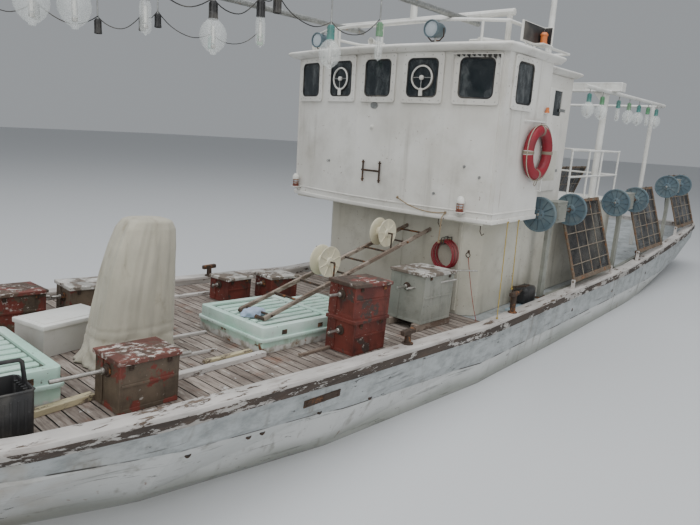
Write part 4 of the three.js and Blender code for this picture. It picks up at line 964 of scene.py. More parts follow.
def turned(
    profile: Sequence[tuple[float, float]], sides: int, centre: Point = (0, 0, 0), axis: Axis = Axis.Z
) -> Object:
    """A piece turned on a lathe.

    Args:
        profile: Points of radius and height, from the foot up.
        sides: How many sides it has.
        centre: Where height 0 lies.
        axis: The direction in which the height runs.

    Returns:
        The new object, shaded smooth up to 35 degrees.
    """
    made = thread([(radius, 0.0, height) for radius, height in profile])
    with editing(made, "VERT"):
        bpy.ops.mesh.select_all(action="SELECT")
        bpy.ops.mesh.spin(
            steps=sides, angle=2.0 * math.pi, center=(0, 0, 0), axis=(0, 0, 1), use_auto_merge=False
        )
    tidied(made)
    made.data.transform(Matrix.Translation(centre) @ AXIS_TURN[axis])
    return smoothed(made)


def slab(outline: Sequence[Point], depth: Point, bevel: float = 0.0) -> Object:
    """A flat piece: a closed outline, filled and extruded.

    Args:
        outline: The corners, which lie in one plane.
        depth: How far and which way it is extruded.
        bevel: The width of its rounded edges.

    Returns:
        The new object.
    """
    made = thread(outline, loop=True)
    with editing(made, "VERT"):
        bpy.ops.mesh.select_all(action="SELECT")
        bpy.ops.mesh.edge_face_add()
        bpy.ops.mesh.extrude_region_move(TRANSFORM_OT_translate={"value": depth})
        bpy.ops.mesh.select_all(action="SELECT")
        bpy.ops.mesh.normals_make_consistent(inside=False)
    return bevelled(made, bevel) if bevel else made


def pipes(
    routes: Iterable[Sequence[Point]], radius: float, sides: int = 8, smooth: bool = False, loop: bool = False
) -> Object:
    """Round bars or pipes along routes, in one mesh with closed ends.

    Args:
        routes: The points of each pipe.
        radius: The pipes' radius.
        sides: How many sides a pipe has.
        smooth: Whether the routes bend smoothly.
        loop: Whether each route is closed.

    Returns:
        The new object.
    """
    curve = bpy.data.curves.new("pipe", "CURVE")
    curve.dimensions = "3D"
    curve.bevel_depth = radius
    curve.bevel_resolution = max(0, sides // 2 - 2)
    curve.use_fill_caps = not loop
    curve.resolution_u = 6
    for route in routes:
        spline = curve.splines.new("NURBS" if smooth else "POLY")
        spline.points.add(len(route) - 1)
        for point, place in zip(spline.points, route):
            point.co = (*place, 1.0)
        spline.use_cyclic_u = loop
        if smooth:
            spline.order_u = min(4, len(route))
            spline.use_endpoint_u = not loop
    pick(linked("pipe", curve))
    bpy.ops.object.convert(target="MESH")
    return smoothed(tidied(bpy.context.active_object), 50.0)


def bar(start: Point, end: Point, radius: float, sides: int = 12, bevel: float = 0.002) -> Object:
    """A round bar between two points, with its end rims bevelled."""
    way = Vector(end) - Vector(start)
    bpy.ops.object.select_all(action="DESELECT")
    bpy.ops.mesh.primitive_cylinder_add(
        vertices=sides,
        radius=radius,
        depth=way.length,
        location=(Vector(start) + Vector(end)) / 2,
        rotation=way.to_track_quat("Z", "Y").to_euler(),
    )
    made = settled(bpy.context.active_object)
    axis = way.normalized()
    if bevel:
        with editing(made, "FACE") as mesh:
            choose(mesh, mesh.faces, lambda face: abs(face.normal.dot(axis)) > 0.9)
            bpy.ops.mesh.bevel(offset=bevel, segments=1, affect="EDGES")
    return smoothed(made)


def joined(*pieces: Object) -> Object:
    """Joins pieces into one object."""
    pick(*pieces)
    bpy.ops.object.join()
    return bpy.context.active_object


def carved(piece: Object, *tools: Object) -> Object:
    """Cuts other pieces out of a piece and removes them."""
    for tool in tools:
        cut = piece.modifiers.new("cut", "BOOLEAN")
        cut.operation = "DIFFERENCE"
        cut.solver = "EXACT"
        cut.object = tool
        applied(piece, "cut")
        bpy.data.objects.remove(tool)
    return piece


def copied(piece: Object, *changes: Matrix) -> list[Object]:
    """Copies a piece once for each change, each copy with its own mesh."""
    made = []
    for change in changes:
        copy = piece.copy()
        copy.data = piece.data.copy()
        copy.data.transform(change)
        if change.determinant() < 0:
            copy.data.flip_normals()
        bpy.context.scene.collection.objects.link(copy)
        made.append(copy)
    return made


def spread(piece: Object, *changes: Matrix) -> Object:
    """Puts a copy of a piece at each change, joins them and removes the first."""
    made = copied(piece, *changes)
    bpy.data.objects.remove(piece)
    return joined(*made) if len(made) > 1 else made[0]


def moved(piece: Object, change: Matrix) -> Object:
    """Moves a piece's mesh."""
    piece.data.transform(change)
    if change.determinant() < 0:
        piece.data.flip_normals()
    return piece


def at(*place: float) -> Matrix:
    """A shift."""
    return Matrix.Translation(place)


def about(axis: Axis, degrees: float) -> Matrix:
    """A turn about an axis through the origin."""
    return Matrix.Rotation(math.radians(degrees), 4, axis.name)


def coat(piece: Object, finish: str | bpy.types.Material) -> Object:
    """Gives a piece one finish, or one material of its own, in place of any other."""
    piece.data.materials.clear()
    piece.data.materials.append(material_of(finish) if isinstance(finish, str) else finish)
    return piece


def present(
    piece: Object, name: str, finish: str | None, body: str = "boat",
    replaces: Sequence[str] = (),
) -> Object:
    """Names, coats and fastens a finished piece.

    Args:
        piece: The piece, at the origin and unturned.
        name: The piece's name.
        finish: Its finish, or None where its parts are coated already.
        body: The body that it rides on.
        replaces: The CAD nodes that it stands for.

    Returns:
        The piece.
    """
    piece.name = piece.data.name = name
    if finish:
        coat(piece, finish)
    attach(piece, body)
    if replaces:
        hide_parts(*replaces)
    log.info("%s: %d faces on %s", name, len(piece.data.polygons), body)
    return piece


# ---- Stage


@dataclass
class Studio:
    """The camera at the photograph's angle, soft lights and a plain floor at the waterline."""

    eye: Point = (7.05, 5.32, 3.17)
    right: Point = (-0.6669, 0.7509, 0.0603)
    up: Point = (-0.1248, -0.1896, 0.9735)
    lens: float = 30.34
    sensor: float = 36.0
    sight: float = 400.0
    lights: tuple[tuple[str, Point, Point, float, float, Colour], ...] = (
        ("sky_panel", (3.0, 2.0, 24.0), (0.0, 0.0, 0.0), 26.0, 6400.0, (0.96, 0.98, 1.0)),
        ("bow_panel", (24.0, 12.0, 13.0), (1.0, 0.0, 1.5), 16.0, 2600.0, (1.0, 0.99, 0.97)),
        ("port_panel", (-2.0, 24.0, 10.0), (0.0, 0.0, 1.5), 14.0, 1000.0, (1.0, 0.98, 0.95)),
    )
    room: Colour = (0.82, 0.86, 0.9)
    room_strength: float = 0.4
    floor_tone: Colour = (0.58, 0.59, 0.6)
    floor_roughness: float = 0.55
    floor_size: float = 260.0
    hull_gap: float = 0.012

    def set_camera(self) -> None:
        """Places the camera and makes it the scene's."""
        data = bpy.data.cameras.new("camera")
        data.lens = self.lens
        data.sensor_width = self.sensor
        data.clip_end = self.sight
        camera = linked("camera", data)
        right, up = Vector(self.right).normalized(), Vector(self.up).normalized()
        turn = Matrix((right, up, right.cross(up))).transposed().to_4x4()
        camera.matrix_world = Matrix.Translation(self.eye) @ turn
        bpy.context.scene.camera = camera

    def set_light(self, name: str, place: Point, aim: Point, size: float, power: float, tone: Colour) -> None:
        """Hangs one square area light.

        Args:
            name: The light's name.
            place: Where it hangs.
            aim: The point that it looks at.
            size: The length of its side.
            power: Its power in watts.
            tone: Its colour.
        """
        data = bpy.data.lights.new(name, "AREA")
        data.size = size
        data.energy = power
        data.color = tone
        light = linked(name, data)
        light.location = place
        light.rotation_euler = (Vector(aim) - Vector(place)).to_track_quat("-Z", "Y").to_euler()

    def build(self) -> None:
        """Sets up the whole stage."""
        self.set_camera()
        for light in self.lights:
            self.set_light(*light)
        world = bpy.data.worlds.new("room")
        world.use_nodes = True
        background = world.node_tree.nodes["Background"]
        background.inputs["Color"].default_value = (*self.room, 1.0)
        background.inputs["Strength"].default_value = self.room_strength
        bpy.context.scene.world = world
        self.build_floor()

    def build_floor(self) -> None:
        """Lays the floor at the waterline, with a hole for the hull."""
        half = self.floor_size / 2
        with_hole = thread(self.hull_line(), loop=True)
        with editing(with_hole, "VERT"):
            bpy.ops.mesh.select_all(action="SELECT")
            bpy.ops.mesh.extrude_region_move()
            bpy.ops.transform.resize(value=(1.15, 2.0, 1.0))
            bpy.ops.mesh.extrude_region_move()
            bpy.ops.transform.resize(value=(half / 11.0, half / 4.5, 1.0))
        material = bpy.data.materials.new("floor")
        material.use_nodes = True
        shader = material.node_tree.nodes["Principled BSDF"]
        shader.inputs["Base Color"].default_value = (*self.floor_tone, 1.0)
        shader.inputs["Roughness"].default_value = self.floor_roughness
        with_hole.name = "floor"
        coat(with_hole, material)

    def hull_line(self) -> list[Point]:
        """The hull's outline at the waterline, a little outside it.

        Returns:
            The corners, all round the boat.
        """
        hull = frame["nodes"]["hull"].data
        cuts: list[tuple[float, float]] = []
        for edge in hull.edges:
            low, high = (hull.vertices[i].co for i in edge.vertices)
            if (low.z > 0) != (high.z > 0):
                share = low.z / (low.z - high.z)
                cuts.append(tuple(low.lerp(high, share))[:2])
        port = sorted({(round(x, 3), round(y, 3)) for x, y in cuts if y > 0.0})
        shore: list[tuple[float, float]] = []
        for x, y in port:
            if shore and x - shore[-1][0] < 0.05:
                shore[-1] = (shore[-1][0], max(y, shore[-1][1]))
            else:
                shore.append((x, y))
        outer = [(x, y + self.hull_gap) for x, y in shore]
        return [(x, y, 0.0) for x, y in outer] + [(x, -y, 0.0) for x, y in reversed(outer)]


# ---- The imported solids


@dataclass
class SolidFinishes:
    """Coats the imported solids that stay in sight; the others have pieces in their place."""

    rows: tuple[tuple[str, str], ...] = (
        ("hull", "hull_side"),
        ("wheelhouse_glass", "window_glass"),
        ("wheelhouse", "bridge_paint"),
        ("jig_machines", "grey_box_paint"),
    )

    def build(self) -> None:
        """Gives each solid the first finish whose prefix starts its name."""
        for name, node in frame["nodes"].items():
            finish = next((finish for prefix, finish in self.rows if name.startswith(prefix)), None)
            if finish:
                coat(node, finish)
                log.info("%s: %s", name, finish)


# ---- Foredeck

def deck_height(x: float) -> float:
    """The height of the hull's deck above the waterline at a place along the boat."""
    if x > BOW_X:
        return DECK_Z + DECK_SLOPE * (BOW_X - DECK_X) + BOW_SLOPE * (x - BOW_X)
    return DECK_Z + DECK_SLOPE * max(0.0, x - DECK_X) + STERN_SLOPE * max(0.0, STERN_X - x)


def on_deck(x: float, y: float, turn: float = 0.0) -> Matrix:
    """The place of a thing that stands on the foredeck's boards, in the pitched deck's coordinates."""
    return DECK @ Matrix.Translation((x, y, DECK_TOP)) @ Matrix.Rotation(turn, 4, "Z")


def body_of(node: str) -> str:
    """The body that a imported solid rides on."""
    return frame["nodes"][node]["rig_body"]


def copy_of(node: str) -> Object:
    """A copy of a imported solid, with its doubles merged and its flat faces made whole."""
    made = linked("copy", frame["nodes"][node].data.copy())
    with editing(made, "VERT"):
        bpy.ops.mesh.select_all(action="SELECT")
        bpy.ops.mesh.remove_doubles(threshold=1e-5)
        bpy.ops.mesh.dissolve_limited(angle_limit=math.radians(0.6))
    return made


@dataclass
class DeckPlanks:
    """The foredeck's boards, laid across the boat with open seams."""

    pitch: float = BOARD_PITCH
    seam: float = 0.006
    depth: float = 0.014
    first: float = 0.0
    last: float = 7.69

    def build(self) -> None:
        """Cuts a comb of seams into a copy of the boards."""
        blade = block((self.seam, 4.2, 2 * self.depth), (0, 0, 0), bevel=0.0)
        count = int((self.last - self.first) / self.pitch) + 1
        places = [self.first + k * self.pitch for k in range(count)]
        comb = spread(blade, *(at(x, 0.0, deck_height(x) + DECK_TOP) for x in places))
        planks = carved(copy_of("deck_boards"), comb)
        present(planks, "deck_planks", "deck_boards", replaces=["deck_boards"])


@dataclass(frozen=True)
class RoundedSolid:
    """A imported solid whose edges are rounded: its piece's name, finish, slot and edge width."""

    node: str
    piece: str
    finish: str
    slot: str
    width: float
    steps: int = 2


@dataclass
class RoundedSolids:
    """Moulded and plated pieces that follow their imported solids, with soft edges."""

    rows: tuple[RoundedSolid, ...] = (
        RoundedSolid("fore_hatch_coaming", "fore_hatch_curb", "curb_paint", "mint_paint", 0.012),
        RoundedSolid("mid_hatch_coaming", "mid_hatch_curb", "curb_paint", "mint_paint", 0.012),
        RoundedSolid("fish_box", "fish_box_shell", "fish_box_plastic", "fish_box_white", 0.005),
        RoundedSolid("boat_deck", "boat_deck_slab", "bridge_paint", "bridge_white", 0.012),
        RoundedSolid("wheelhouse_roof", "roof_slab", "bridge_paint", "bridge_white", 0.01),
        RoundedSolid("deckhouse_walls", "deckhouse_plating", "house_paint", "house_cream", 0.02),
        RoundedSolid("funnel", "funnel_casing", "house_paint", "house_cream", 0.02),
        RoundedSolid("cap_rail", "cap_timber_rail", "cap_paint", "cap_timber", 0.008),
        RoundedSolid("rub_band", "rubbing_strake", "rub_paint", "rub_timber", 0.008),
        RoundedSolid("helm_console", "helm_desk", "house_paint", "house_cream", 0.012),
        RoundedSolid("foremast", "foremast_spars", "pipe_paint", "white_pipe", 0.006),
        RoundedSolid("roof_gantry", "roof_gantry_frame", "pipe_paint", "white_pipe", 0.006),
        RoundedSolid("radar_scanner", "radar_arm", "lamp_white", "bridge_white", 0.022, 3),
        RoundedSolid("rudder", "rudder_blade", "bottom_paint", "bottom_red", 0.012),
        RoundedSolid("propeller", "propeller_blades", "bronze", "bronze", 0.006),
        RoundedSolid("chart_room_walls", "chart_room_plating", "bridge_paint", "bridge_white", 0.01),
    )

    def build(self) -> None:
        """Makes each piece in place of its solid."""
        for row in self.rows:
            made = smoothed(bevelled(copy_of(row.node), row.width, row.steps))
            present(made, row.piece, row.finish, body_of(row.node), [row.node])


@dataclass
class MachineBox:
    """A stowed jigging machine's box: plated sides, a flanged lid and a shaft through bearings."""

    node: str
    place: tuple[float, float]
    size: Point
    foot: float
    turn: float
    shaft_height: float
    stubs: tuple[float, float]
    finish: str
    slot: str
    lid_finish: str
    edge: float = 0.028
    shaft: float = 0.0158
    flange: float = 0.018

    def shell(self) -> Object:
        """The box's body, its sides sunk between raised edges."""
        made = block(self.size, (0, 0, self.foot + self.size[2] / 2))
        with editing(made, "FACE") as mesh:
            choose(mesh, mesh.faces, lambda face: abs(face.normal.z) < 0.1 and face.calc_area() > 0.05)
            bpy.ops.mesh.inset(thickness=self.edge, depth=-0.003, use_individual=True)
            bpy.ops.mesh.inset(thickness=0.003, depth=-0.002, use_individual=True)
        return coat(made, self.finish)

    def lid(self) -> Object:
        """The lid, with a turned-down flange and a slightly raised middle."""
        length, width, height = self.size
        top = self.foot + height
        made = block((length + 2 * self.flange, width + 2 * self.flange, 0.04), (0, 0, top - 0.02), bevel=0.005)
        return coat(sunk(made, (0, 0, 1), (0.03, 0.004), (0.05, 0.003)), self.lid_finish)

    def ribs(self) -> Object:
        """A welded strip across each long side and a strap down each end."""
        length, width, height = self.size
        mid = self.foot + height * 0.52
        strips = [
            block((length * 0.94, 0.008, 0.022), (0, side * (width / 2 + 0.001), mid), bevel=0.002)
            for side in (1, -1)
        ]
        straps = [
            block((0.008, 0.03, height * 0.86), (side * (length / 2 + 0.001), -width * 0.22, self.foot + height * 0.46),
                  bevel=0.002)
            for side in (1, -1)
        ]
        return coat(joined(*strips, *straps), self.finish)

    def bearing(self) -> Object:
        """A bearing on each end: a stepped boss on a flange with four bolts."""
        length = self.size[0]
        boss = turned(
            [(0.0, 0.0), (0.052, 0.0), (0.052, 0.008), (0.034, 0.011), (0.032, 0.024), (0.019, 0.027), (0.0, 0.027)],
            20, axis=Axis.X,
        )
        bolt = turned([(0.0, 0.0), (0.0075, 0.0), (0.0075, 0.006), (0.004, 0.0095), (0.0, 0.0095)], 6, axis=Axis.X)
        places = [(0.041 * math.cos(a), 0.041 * math.sin(a)) for a in (0.785, 2.356, 3.927, 5.498)]
        bolts = spread(bolt, *(at(0.007, y, z) for y, z in places))
        one = joined(boss, bolts)
        fore = at(length / 2, 0, self.foot + self.shaft_height)
        aft = at(-length / 2, 0, self.foot + self.shaft_height) @ about(Axis.Z, 180)
        return coat(spread(one, fore, aft), "rusty_iron")

    def shafting(self) -> Object:
        """The bare shaft, with a collar at each bearing."""
        aft, fore = self.stubs
        length = self.size[0]
        height = self.foot + self.shaft_height
        ends = (-length / 2 - aft, length / 2 + fore)
        parts = [bar((ends[0], 0, height), (ends[1], 0, height), self.shaft, 16, 0.003)]
        for side in (1, -1):
            x = side * (length / 2 + 0.028)
            parts.append(bar((x, 0, height), (x + side * 0.02, 0, height), 0.026, 16, 0.003))
        return coat(joined(*parts), "worn_shaft")

    def fastenings(self) -> Object:
        """Two lid catches on the port side."""
        length, width, height = self.size
        top = self.foot + height
        catch = joined(
            block((0.035, 0.008, 0.06), (0, 0, -0.055), bevel=0.002),
            pipes([[(-0.012, 0.006, -0.03), (-0.012, 0.012, -0.075), (0.012, 0.012, -0.075), (0.012, 0.006, -0.03)]],
                  0.003, 6),
        )
        places = [at(x, width / 2 + 0.002, top) for x in (-length * 0.32, length * 0.32)]
        return coat(spread(catch, *places), "rusty_iron")

    def timbers(self) -> Object:
        """The two timbers under a box that stands off the deck."""
        length, width, _ = self.size
        wood = roughened(block((length + 0.12, 0.09, self.foot), (0, 0, self.foot / 2), bevel=0.006), 2, 0.03, 3)
        return coat(spread(wood, *(at(0, side * (width / 2 - 0.06), 0) for side in (-1, 1))), "raw_timber")

    def build(self) -> None:
        """Puts the box together where its solid stands."""
        parts = [self.shell(), self.lid(), self.ribs(), self.bearing(), self.shafting(), self.fastenings()]
        if self.node == "machine_box_grey":
            parts.append(self.timbers())
        whole = moved(joined(*parts), on_deck(*self.place, self.turn))
        present(whole, self.node.replace("machine_box", "jigger_box"), None, replaces=[self.node])


MACHINE_BOXES = (
    MachineBox("machine_box_port_fore", (4.55, 1.34), (0.5, 0.36, 0.42), 0.0, 0.02, 0.3, (0.23, 0.42),
               "weathered_box", "brown_paint", "scratched_lid"),
    MachineBox("machine_box_stowed_low", (2.01, 1.4), (0.56, 0.38, 0.38), 0.0, 0.03, 0.24, (0.06, 0.19),
               "red_box", "oxide_red", "red_box"),
    MachineBox("machine_box_stowed_high", (2.0, 1.39), (0.56, 0.38, 0.38), 0.381, -0.05, 0.24, (0.06, 0.19),
               "red_box", "oxide_red", "brown_lid"),
    MachineBox("machine_box_grey", (0.49, 1.18), (0.7, 0.52, 0.64), 0.09, 0.03, 0.44, (0.2, 0.22),
               "grey_box_paint", "box_grey", "flaking_white"),
    MachineBox("machine_box_starboard_a", (4.67, -0.86), (0.48, 0.38, 0.42), 0.0, 0.05, 0.29, (0.12, 0.12),
               "weathered_box", "brown_paint", "brown_lid"),
    MachineBox("machine_box_starboard_b", (3.95, -0.82), (0.48, 0.38, 0.43), 0.0, -0.04, 0.29, (0.12, 0.12),
               "weathered_box", "brown_paint", "flaking_white"),
    MachineBox("machine_box_starboard_c", (1.95, -0.9), (0.42, 0.34, 0.33), 0.0, 0.1, 0.22, (0.07, 0.11),
               "red_box", "oxide_red", "flaking_white"),
    MachineBox("machine_box_starboard_d", (1.31, -0.7), (0.46, 0.36, 0.34), 0.0, -0.06, 0.22, (0.08, 0.11),
               "red_box", "oxide_red", "flaking_white"),
)


@dataclass
class CanvasCover:
    """A canvas bag pulled down over a machine, loose at the foot and drawn in where it was tied."""

    place: tuple[float, float] = (4.15, 0.46)
    levels: tuple[tuple[float, float, float, float, float], ...] = (
        (0.0, 0.425, 0.265, 0.0, 0.0),
        (0.06, 0.4, 0.245, 0.0, 0.0),
        (0.16, 0.375, 0.235, -0.005, 0.0),
        (0.3, 0.36, 0.228, -0.015, 0.005),
        (0.55, 0.338, 0.218, -0.035, 0.012),
        (0.8, 0.315, 0.208, -0.058, 0.02),
        (1.05, 0.275, 0.19, -0.086, 0.03),
        (1.22, 0.235, 0.17, -0.106, 0.038),
        (1.29, 0.2, 0.15, -0.115, 0.04),
        (1.315, 0.14, 0.1, -0.12, 0.04),
        (1.322, 0.02, 0.015, -0.12, 0.04),
    )
    around: int = 96
    rings: int = 84
    squareness: float = 3.6
    flat: tuple[float, float] = (2.6, 1.55)
    area: float = 3.1

    def level(self, height: float) -> tuple[float, float, float, float]:
        """The half-length, half-width and shift of the bag at a height."""
        for low, high in zip(self.levels, self.levels[1:]):
            if height <= high[0]:
                share = (height - low[0]) / (high[0] - low[0])
                return tuple(a + (b - a) * share for a, b in zip(low[1:], high[1:]))
        return self.levels[-1][1:]

    def fold(self, angle: float, height: float) -> float:
        """How far the cloth stands out, in metres, at an angle round the bag and a height."""
        way = Vector((math.cos(angle) * 1.7, math.sin(angle) * 1.7, 0.0))
        long_folds = noise.noise(way * 1.9 + Vector((0, 0, height * 0.7 + 7.3)))
        fine = noise.noise(way * 5.2 + Vector((3.1, 0, height * 1.6)))
        loose = max(0.0, 1.0 - height / 0.34)
        crumple = noise.noise(way * 2.4 + Vector((5.0, 1.0, height * 9.0)))
        ring = math.exp(-((height - 0.245) / 0.012) ** 2) + math.exp(-((height - 0.335) / 0.012) ** 2)
        out = 0.026 * long_folds + 0.013 * fine + 0.05 * loose * crumple - 0.005 * ring
        return out * min(1.0, (1.33 - height) * 9.0)

    def build(self) -> None:
        """Lofts the bag, creases it and gives the cloth its thickness."""
        shell = bmesh.new()
        rows = []
        top = self.levels[-1][0]
        for r in range(self.rings + 1):
            share = r / self.rings
            height = top * (share if share < 0.85 else 0.85 + (share - 0.85)) ** 0.9
            half_x, half_y, shift_x, shift_y = self.level(height)
            row = []
            for k in range(self.around):
                angle = 2 * math.pi * k / self.around
                c, s = math.cos(angle), math.sin(angle)
                reach = (abs(c) ** self.squareness + abs(s) ** self.squareness) ** (-1.0 / self.squareness)
                out = self.fold(angle, height)
                lift = 0.012 * max(0.0, 1.0 - height / 0.03) * (noise.noise(Vector((c * 4, s * 4, 2.0))) + 0.6)
                row.append(shell.verts.new((
                    shift_x + (half_x + out) * c * reach,
                    shift_y + (half_y + out) * s * reach,
                    height + max(0.0, lift) + 0.004,
                )))
            rows.append(row)
        for low, high in zip(rows, rows[1:]):
            for k in range(self.around):
                nxt = (k + 1) % self.around
                shell.faces.new((low[k], low[nxt], high[nxt], high[k]))
        shell.faces.new(rows[-1])
        mesh = bpy.data.meshes.new("cover")
        shell.to_mesh(mesh)
        shell.free()
        cover = moved(linked("cover", mesh), on_deck(*self.place))
        cloth = cover.modifiers.new("cloth", "SOLIDIFY")
        cloth.thickness = 0.003
        cloth.offset = 0.0
        applied(cover, "cloth")
        pick(cover)
        bpy.ops.object.shade_smooth()
        present(cover, "machine_cover", "canvas", replaces=["canvas_cover"])
        log.info("cover area %.2f", sum(face.area for face in cover.data.polygons) / 2)


@dataclass
class FlangedDrum:
    """A line drum: two ribbed flanges on a barrel, about an axis across the boat."""

    radius: float = 0.186
    barrel: float = 0.066
    width: float = 0.13
    flange: float = 0.008
    ribs: int = 8

    def flange_disc(self, finish: str) -> Object:
        """One dished flange with ribs on its outer face, facing +Y."""
        disc = turned(
            [
                (0.0, 0.0), (self.radius - 0.012, 0.0), (self.radius, 0.006), (self.radius, 0.014),
                (self.radius - 0.008, 0.014), (self.radius - 0.02, self.flange), (0.06, self.flange),
                (0.05, 0.022), (0.03, 0.026), (0.0, 0.026),
            ],
            40, axis=Axis.Y,
        )
        middle = ((self.radius + 0.045) / 2, self.flange + 0.003, 0)
        rib = block((self.radius - 0.065, 0.01, 0.008), middle, bevel=0.002)
        ribs = spread(rib, *(about(Axis.Y, 360 * k / self.ribs) for k in range(self.ribs)))
        return coat(joined(disc, ribs), finish)

    def whole(self, finish: str) -> Object:
        """The drum, its middle at the origin."""
        half = self.width / 2
        barrel = turned(
            [(0.0, -half), (self.barrel, -half), (self.barrel - 0.006, 0.0), (self.barrel, half), (0.0, half)],
            28, axis=Axis.Y,
        )
        outer = moved(self.flange_disc(finish), at(0, half, 0))
        inner = moved(self.flange_disc(finish), at(0, -half, 0) @ about(Axis.Z, 180))
        return joined(coat(barrel, finish), outer, inner)


@dataclass
class LooseChute:
    """The folded chute: two weathered arms with cross bars and two cream drums on it."""

    fore: Point = (2.87, 0.65, 0.325)
    half_width: float = 0.205
    arm: tuple[float, float] = (0.034, 0.05)
    drum_shares: tuple[float, ...] = (0.36, 0.72)

    def ends(self) -> tuple[Vector, Vector]:
        """The chute's fore and aft ends in the pitched deck's coordinates, read off its solid."""
        low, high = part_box("loose_chute")
        fore = Vector(self.fore)
        aft = DECK.inverted() @ Vector((low.x + 0.045, 0.52, high.z - 0.03))
        return fore, Vector((aft.x, 0.52, aft.z))

    def build(self) -> None:
        """Models the arms, bars and drums along the chute's line."""
        fore, aft = self.ends()
        way = aft - fore
        across = Vector((0, 1, 0))
        parts = []
        for side in (-1, 1):
            start, end = (p + across * side * (self.half_width - 0.005) for p in (fore, aft))
            arm = roughened(block((way.length, *self.arm), (0, 0, 0), bevel=0.005), 6, 0.015, 5 + side)
            turn = way.to_track_quat("X", "Z").to_matrix().to_4x4()
            parts.append(coat(moved(arm, Matrix.Translation((start + end) / 2) @ turn), "raw_timber"))
        bars = []
        for k in range(8):
            middle = fore + way * (0.03 + 0.13 * k)
            reach = self.half_width + (0.03 if k % 3 == 0 else 0.0)
            bars.append((middle - across * reach, middle + across * reach))
        parts.append(coat(pipes(bars, 0.0125, 10), "rusty_iron"))
        shoe = [fore + across * side * self.half_width for side in (-1, 1)]
        parts.append(coat(pipes([shoe], 0.02, 12), "rusty_iron"))
        lift = Vector((0, 0, 0.19))
        for number, share in enumerate(self.drum_shares):
            middle = fore + way * share
            drum = FlangedDrum().whole("cream_paint")
            moved(drum, Matrix.Translation(middle + lift + Vector((0, -0.005, 0))) @ about(Axis.Y, 20 + 70 * number))
            parts.append(drum)
            axle = [middle + lift - across * 0.13, middle + lift + across * 0.15]
            hangers = [[point, point - lift] for point in axle]
            parts.append(coat(pipes([axle, *hangers], 0.011, 8), "rusty_iron"))
        whole = moved(joined(*parts), DECK)
        present(whole, "folded_chute", None, replaces=["loose_chute"])


@dataclass
class HatchLid:
    """A moulded hatch lid: a rim, a crown with a sunk top and ribs along the boat; the sunk floor between the ribs is
    painted dark for dirt and as painted shade in the grooves.
    """

    node: str
    place: tuple[float, float]
    size: tuple[float, float]
    coaming: float
    lid: float
    hinged: bool = False
    border: float = 0.075
    pitch: float = 0.115
    sink: float = 0.02

    def rounded(self, size: Point, height: float, radius: float) -> Object:
        """A block with rounded upright edges, its middle at a height."""
        return rounded_uprights(block(size, (0, 0, height), bevel=0.0), radius, 4)

    def crown(self) -> Object:
        """The crown, its top sunk inside a raised border."""
        length, width = self.size
        low, high = self.coaming + 0.03, self.coaming + self.lid + 0.021
        made = self.rounded((length + 0.01, width + 0.01, high - low), (low + high) / 2, 0.045)
        inside = (length - 2 * self.border, width - 2 * self.border, 2 * self.sink)
        made = carved(made, self.rounded(inside, high, 0.025))
        coat(smoothed(bevelled(made, 0.006, 2)), "mint_paint")
        # The sunk floor between the ribs takes the dark groove finish: dirt and painted shade.
        made.data.materials.append(material_of("hatch_dirt"))
        for face in made.data.polygons:
            if face.normal.z > 0.9 and face.center.z < high - self.sink / 2:
                face.material_index = 1
        return made

    def ribs(self) -> Object:
        """The ribs that fill the sunk top; the grooves between them show the floor below, painted dark for dirt and as
        painted shade.
        """
        length, width = self.size
        high = self.coaming + self.lid + 0.019
        rib = block((length - 2 * self.border - 0.05, self.pitch * 0.66, 0.03), (0, 0, high - 0.016), bevel=0.0)
        rib = bevelled(rib, 0.01, 2)
        count = int((width - 2 * self.border - 0.02) / self.pitch)
        ys = [(k - (count - 1) / 2) * self.pitch for k in range(count)]
        return coat(spread(rib, *(at(0, y, 0) for y in ys)), "mint_paint")

    def rim(self) -> Object:
        """The rim that grips the coaming, its lower edge rolled."""
        length, width = self.size
        made = self.rounded((length + 0.06, width + 0.06, 0.035), self.coaming + 0.0181, 0.06)
        return coat(smoothed(bevelled(made, 0.007, 2)), "mint_paint")

    def irons(self) -> Object:
        """Rusty lashing eyes on the long sides, and the hinge's barrels and straps where it has them."""
        length, width = self.size
        height = self.coaming + 0.075
        plate = block((0.07, 0.008, 0.05), (0, width / 2 + 0.006, height), bevel=0.002)
        eye = pipes([[(-0.018, width / 2 + 0.008, height), (-0.018, width / 2 + 0.024, height),
                      (0.018, width / 2 + 0.024, height), (0.018, width / 2 + 0.008, height)]], 0.004, 8)
        one = joined(plate, eye)
        places = [at(x, 0, 0) for x in (-length * 0.27, length * 0.23)]
        parts = [spread(one, *places, *(MIRROR_Y @ place for place in places))]
        if self.hinged:
            x, z = -length / 2 - 0.04, self.coaming + 0.018
            knuckles = [bar((x, y, z), (x, y + 0.045, z), 0.014, 14, 0.002)
                        for centre in (-0.38, 0.38) for y in (centre - 0.07, centre - 0.0225, centre + 0.025)]
            straps = [
                block((0.11, 0.11, 0.007), (-length / 2 + 0.01, y, self.coaming + 0.036), bevel=0.002)
                for y in (-0.38, 0.38)
            ]
            parts.extend([*knuckles, *straps])
        return coat(joined(*parts), "rusty_iron")

    def build(self) -> None:
        """Puts the lid together in place of its solid."""
        whole = joined(self.crown(), self.ribs(), self.rim(), self.irons())
        moved(whole, DECK @ at(*self.place, 0.0))
        present(whole, self.node.replace("_lid", "_moulding"), None, body_of(self.node), [self.node])


HATCH_LIDS = (
    HatchLid("fore_hatch_lid", (5.54, 0.56), (1.0, 1.15), 0.19, 0.13, hinged=True),
    HatchLid("mid_hatch_lid", (2.51, 0.52), (1.06, 1.06), 0.15, 0.13),
    HatchLid("aft_hatch_lid", (1.49, 0.38), (0.76, 0.9), 0.0, 0.19),
)


